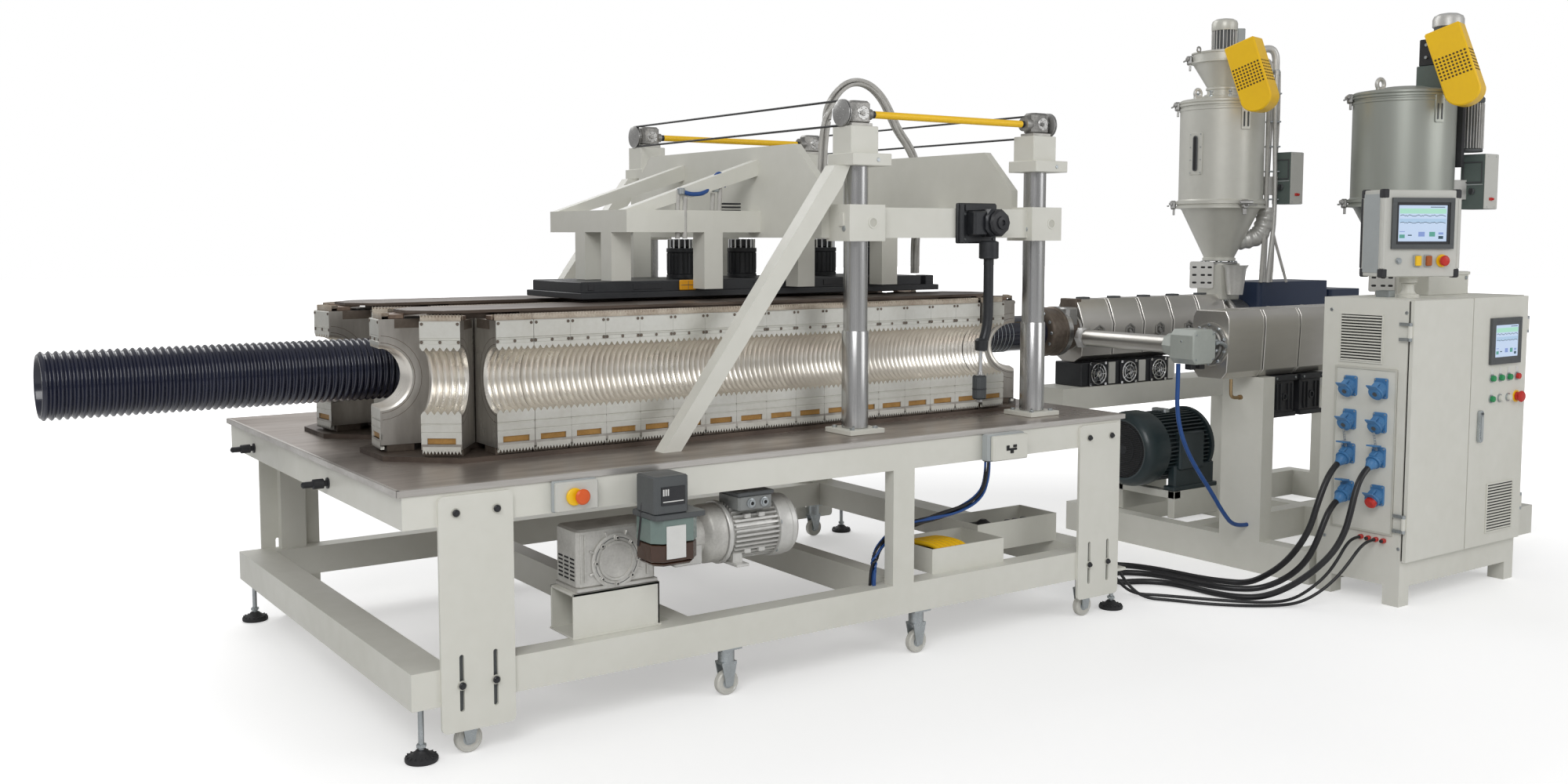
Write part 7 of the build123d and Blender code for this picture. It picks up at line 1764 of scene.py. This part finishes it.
# %% Contents of the trays
contents = []
for k in range(6):
    contents.append((hose(bend([(2.455 + 0.03 * k, 0.275, 0.43), (2.465 + 0.03 * k, 0.2, 0.456),
        (2.5 + 0.03 * k, 0.08, 0.452), (2.515 + 0.03 * k, 0.035, 0.425)]), 0.0125, 12), "yellow"))
contents += [
    (box_of((2.44, 0.03, 0.35), (2.7, 0.29, 0.425), 0.01), "grey_plastic"),
    (box_of((2.98, 0.24, 0.35), (3.1, 0.42, 0.44), 0.01), "black_plastic"),
    (merge([moved(drum(0.02, 0.105, 0.004, 16), x, 0.3, 0.35) for x in (3.18, 3.235, 3.29)]),
        "black_plastic"),
    (moved(lathe([(0.04, 0.43), (0.046, 0.436), (0.046, 0.446), (0.014, 0.47)], 20), 3.04, 0.33),
        "black_plastic")]
piece("tray_contents", contents)
print("bolts, wheels, feet and tray contents dressed")

# %% [markdown]
# The camera stands where the photograph was taken from. Its height, angle and lens were solved from the
# edges of the table, the frame and the cabinet; a small shift keeps the uprights upright.

# %% Camera
SENSOR, PHOTO_WIDTH, PHOTO_MIDDLE = 36.0, 2000, 500
FOCAL_PIXELS, HORIZON_PIXELS = 1784.83, 444.81
camera = bpy.data.objects.new("camera", bpy.data.cameras.new("camera"))
camera.data.sensor_width = SENSOR
camera.data.lens = SENSOR * FOCAL_PIXELS / PHOTO_WIDTH
camera.data.shift_y = (HORIZON_PIXELS - PHOTO_MIDDLE) / PHOTO_WIDTH
camera.data.clip_end = 200
camera.location = (-1.7436, -4.7579, 1.8883)
yaw, pitch, roll = math.radians(35.02), math.radians(4.66), math.radians(-0.04)
camera.rotation_euler = Euler((math.pi / 2 - pitch, roll, -yaw))
bpy.context.scene.collection.objects.link(camera)
bpy.context.scene.camera = camera

# %% [markdown]
# Studio light: a bright even surround, a large soft lamp from the upper left and a weaker one from the
# right. The floor is pale and lets the shadow of the machine fall; a little glow that only the camera
# sees lifts it to the white of the surround. Near the machine the glow is weaker, which paints a darker
# shadow on the floor round it.

# %% Light, surround and floor
def lamp(name, place, target, size, power):
    """A square area lamp at a place, turned to a target."""
    light = bpy.data.lights.new(name, "AREA")
    light.shape = "SQUARE"
    light.size = size
    light.energy = power
    thing = bpy.data.objects.new(name, light)
    thing.location = place
    thing.rotation_euler = (Vector(target) - Vector(place)).to_track_quat("-Z", "Y").to_euler()
    bpy.context.scene.collection.objects.link(thing)


lamp("key", (-5.0, -7.0, 8.0), (2.6, 0.8, 1.0), 6.0, 560)
lamp("fill", (9.0, -9.0, 5.0), (4.0, 0.5, 1.0), 6.0, 200)
lamp("rim", (2.0, 8.0, 7.0), (2.5, 1.0, 1.0), 6.0, 260)

world = bpy.data.worlds.new("surround")
world.use_nodes = True
bpy.context.scene.world = world
tree, link = world.node_tree, world.node_tree.links.new
sky = tree.nodes["Background"]
path = add(tree, "LightPath")
seen = add(tree, "Math", "MAXIMUM")
link(path.outputs["Is Camera Ray"], seen.inputs[0])
link(path.outputs["Is Transmission Ray"], seen.inputs[1])
level = add(tree, "MapRange", To_Min=0.4, To_Max=1.0)
link(seen.outputs[0], level.inputs["Value"])
sky.inputs["Color"].default_value = (1, 1, 1, 1)
link(level.outputs[0], sky.inputs["Strength"])

floor_mesh = bpy.data.meshes.new("floor")
reach = 60.0
floor_mesh.from_pydata([(-reach, -reach, 0), (reach, -reach, 0), (reach, reach, 0), (-reach, reach, 0)], [],
    [(0, 1, 2, 3)])
floor = bpy.data.objects.new("floor", floor_mesh)
bpy.context.scene.collection.objects.link(floor)
floor_finish = bpy.data.materials.new("floor")
floor_finish.use_nodes = True
tree, link = floor_finish.node_tree, floor_finish.node_tree.links.new
floor_shader = tree.nodes["Principled BSDF"]
floor_shader.inputs["Base Color"].default_value = (0.86, 0.86, 0.86, 1)
floor_shader.inputs["Roughness"].default_value = 0.6
floor_shader.inputs["Emission Color"].default_value = (1, 1, 1, 1)
floor_path = add(tree, "LightPath")
glow = add(tree, "Math", "MULTIPLY")
# The glow grows with the distance from the machine's middle: far off it lifts the floor to the white of the
# surround, and near the machine it stays low, which paints a darker shadow on the floor there.
place = add(tree, "TexCoord")
away = add(tree, "VectorMath", "DISTANCE")
away.inputs[1].default_value = (3.0, 0.7, 0.0)
painted_shadow_fade = add(tree, "MapRange", From_Min=3.0, From_Max=8.5, To_Min=0.36, To_Max=1.1)
link(place.outputs["Object"], away.inputs[0])
link(away.outputs["Value"], painted_shadow_fade.inputs["Value"])
link(painted_shadow_fade.outputs[0], glow.inputs[1])
link(floor_path.outputs["Is Camera Ray"], glow.inputs[0])
link(glow.outputs[0], floor_shader.inputs["Emission Strength"])
floor_mesh.materials.append(floor_finish)

# %% View settings
bpy.context.scene.view_settings.view_transform = "Standard"
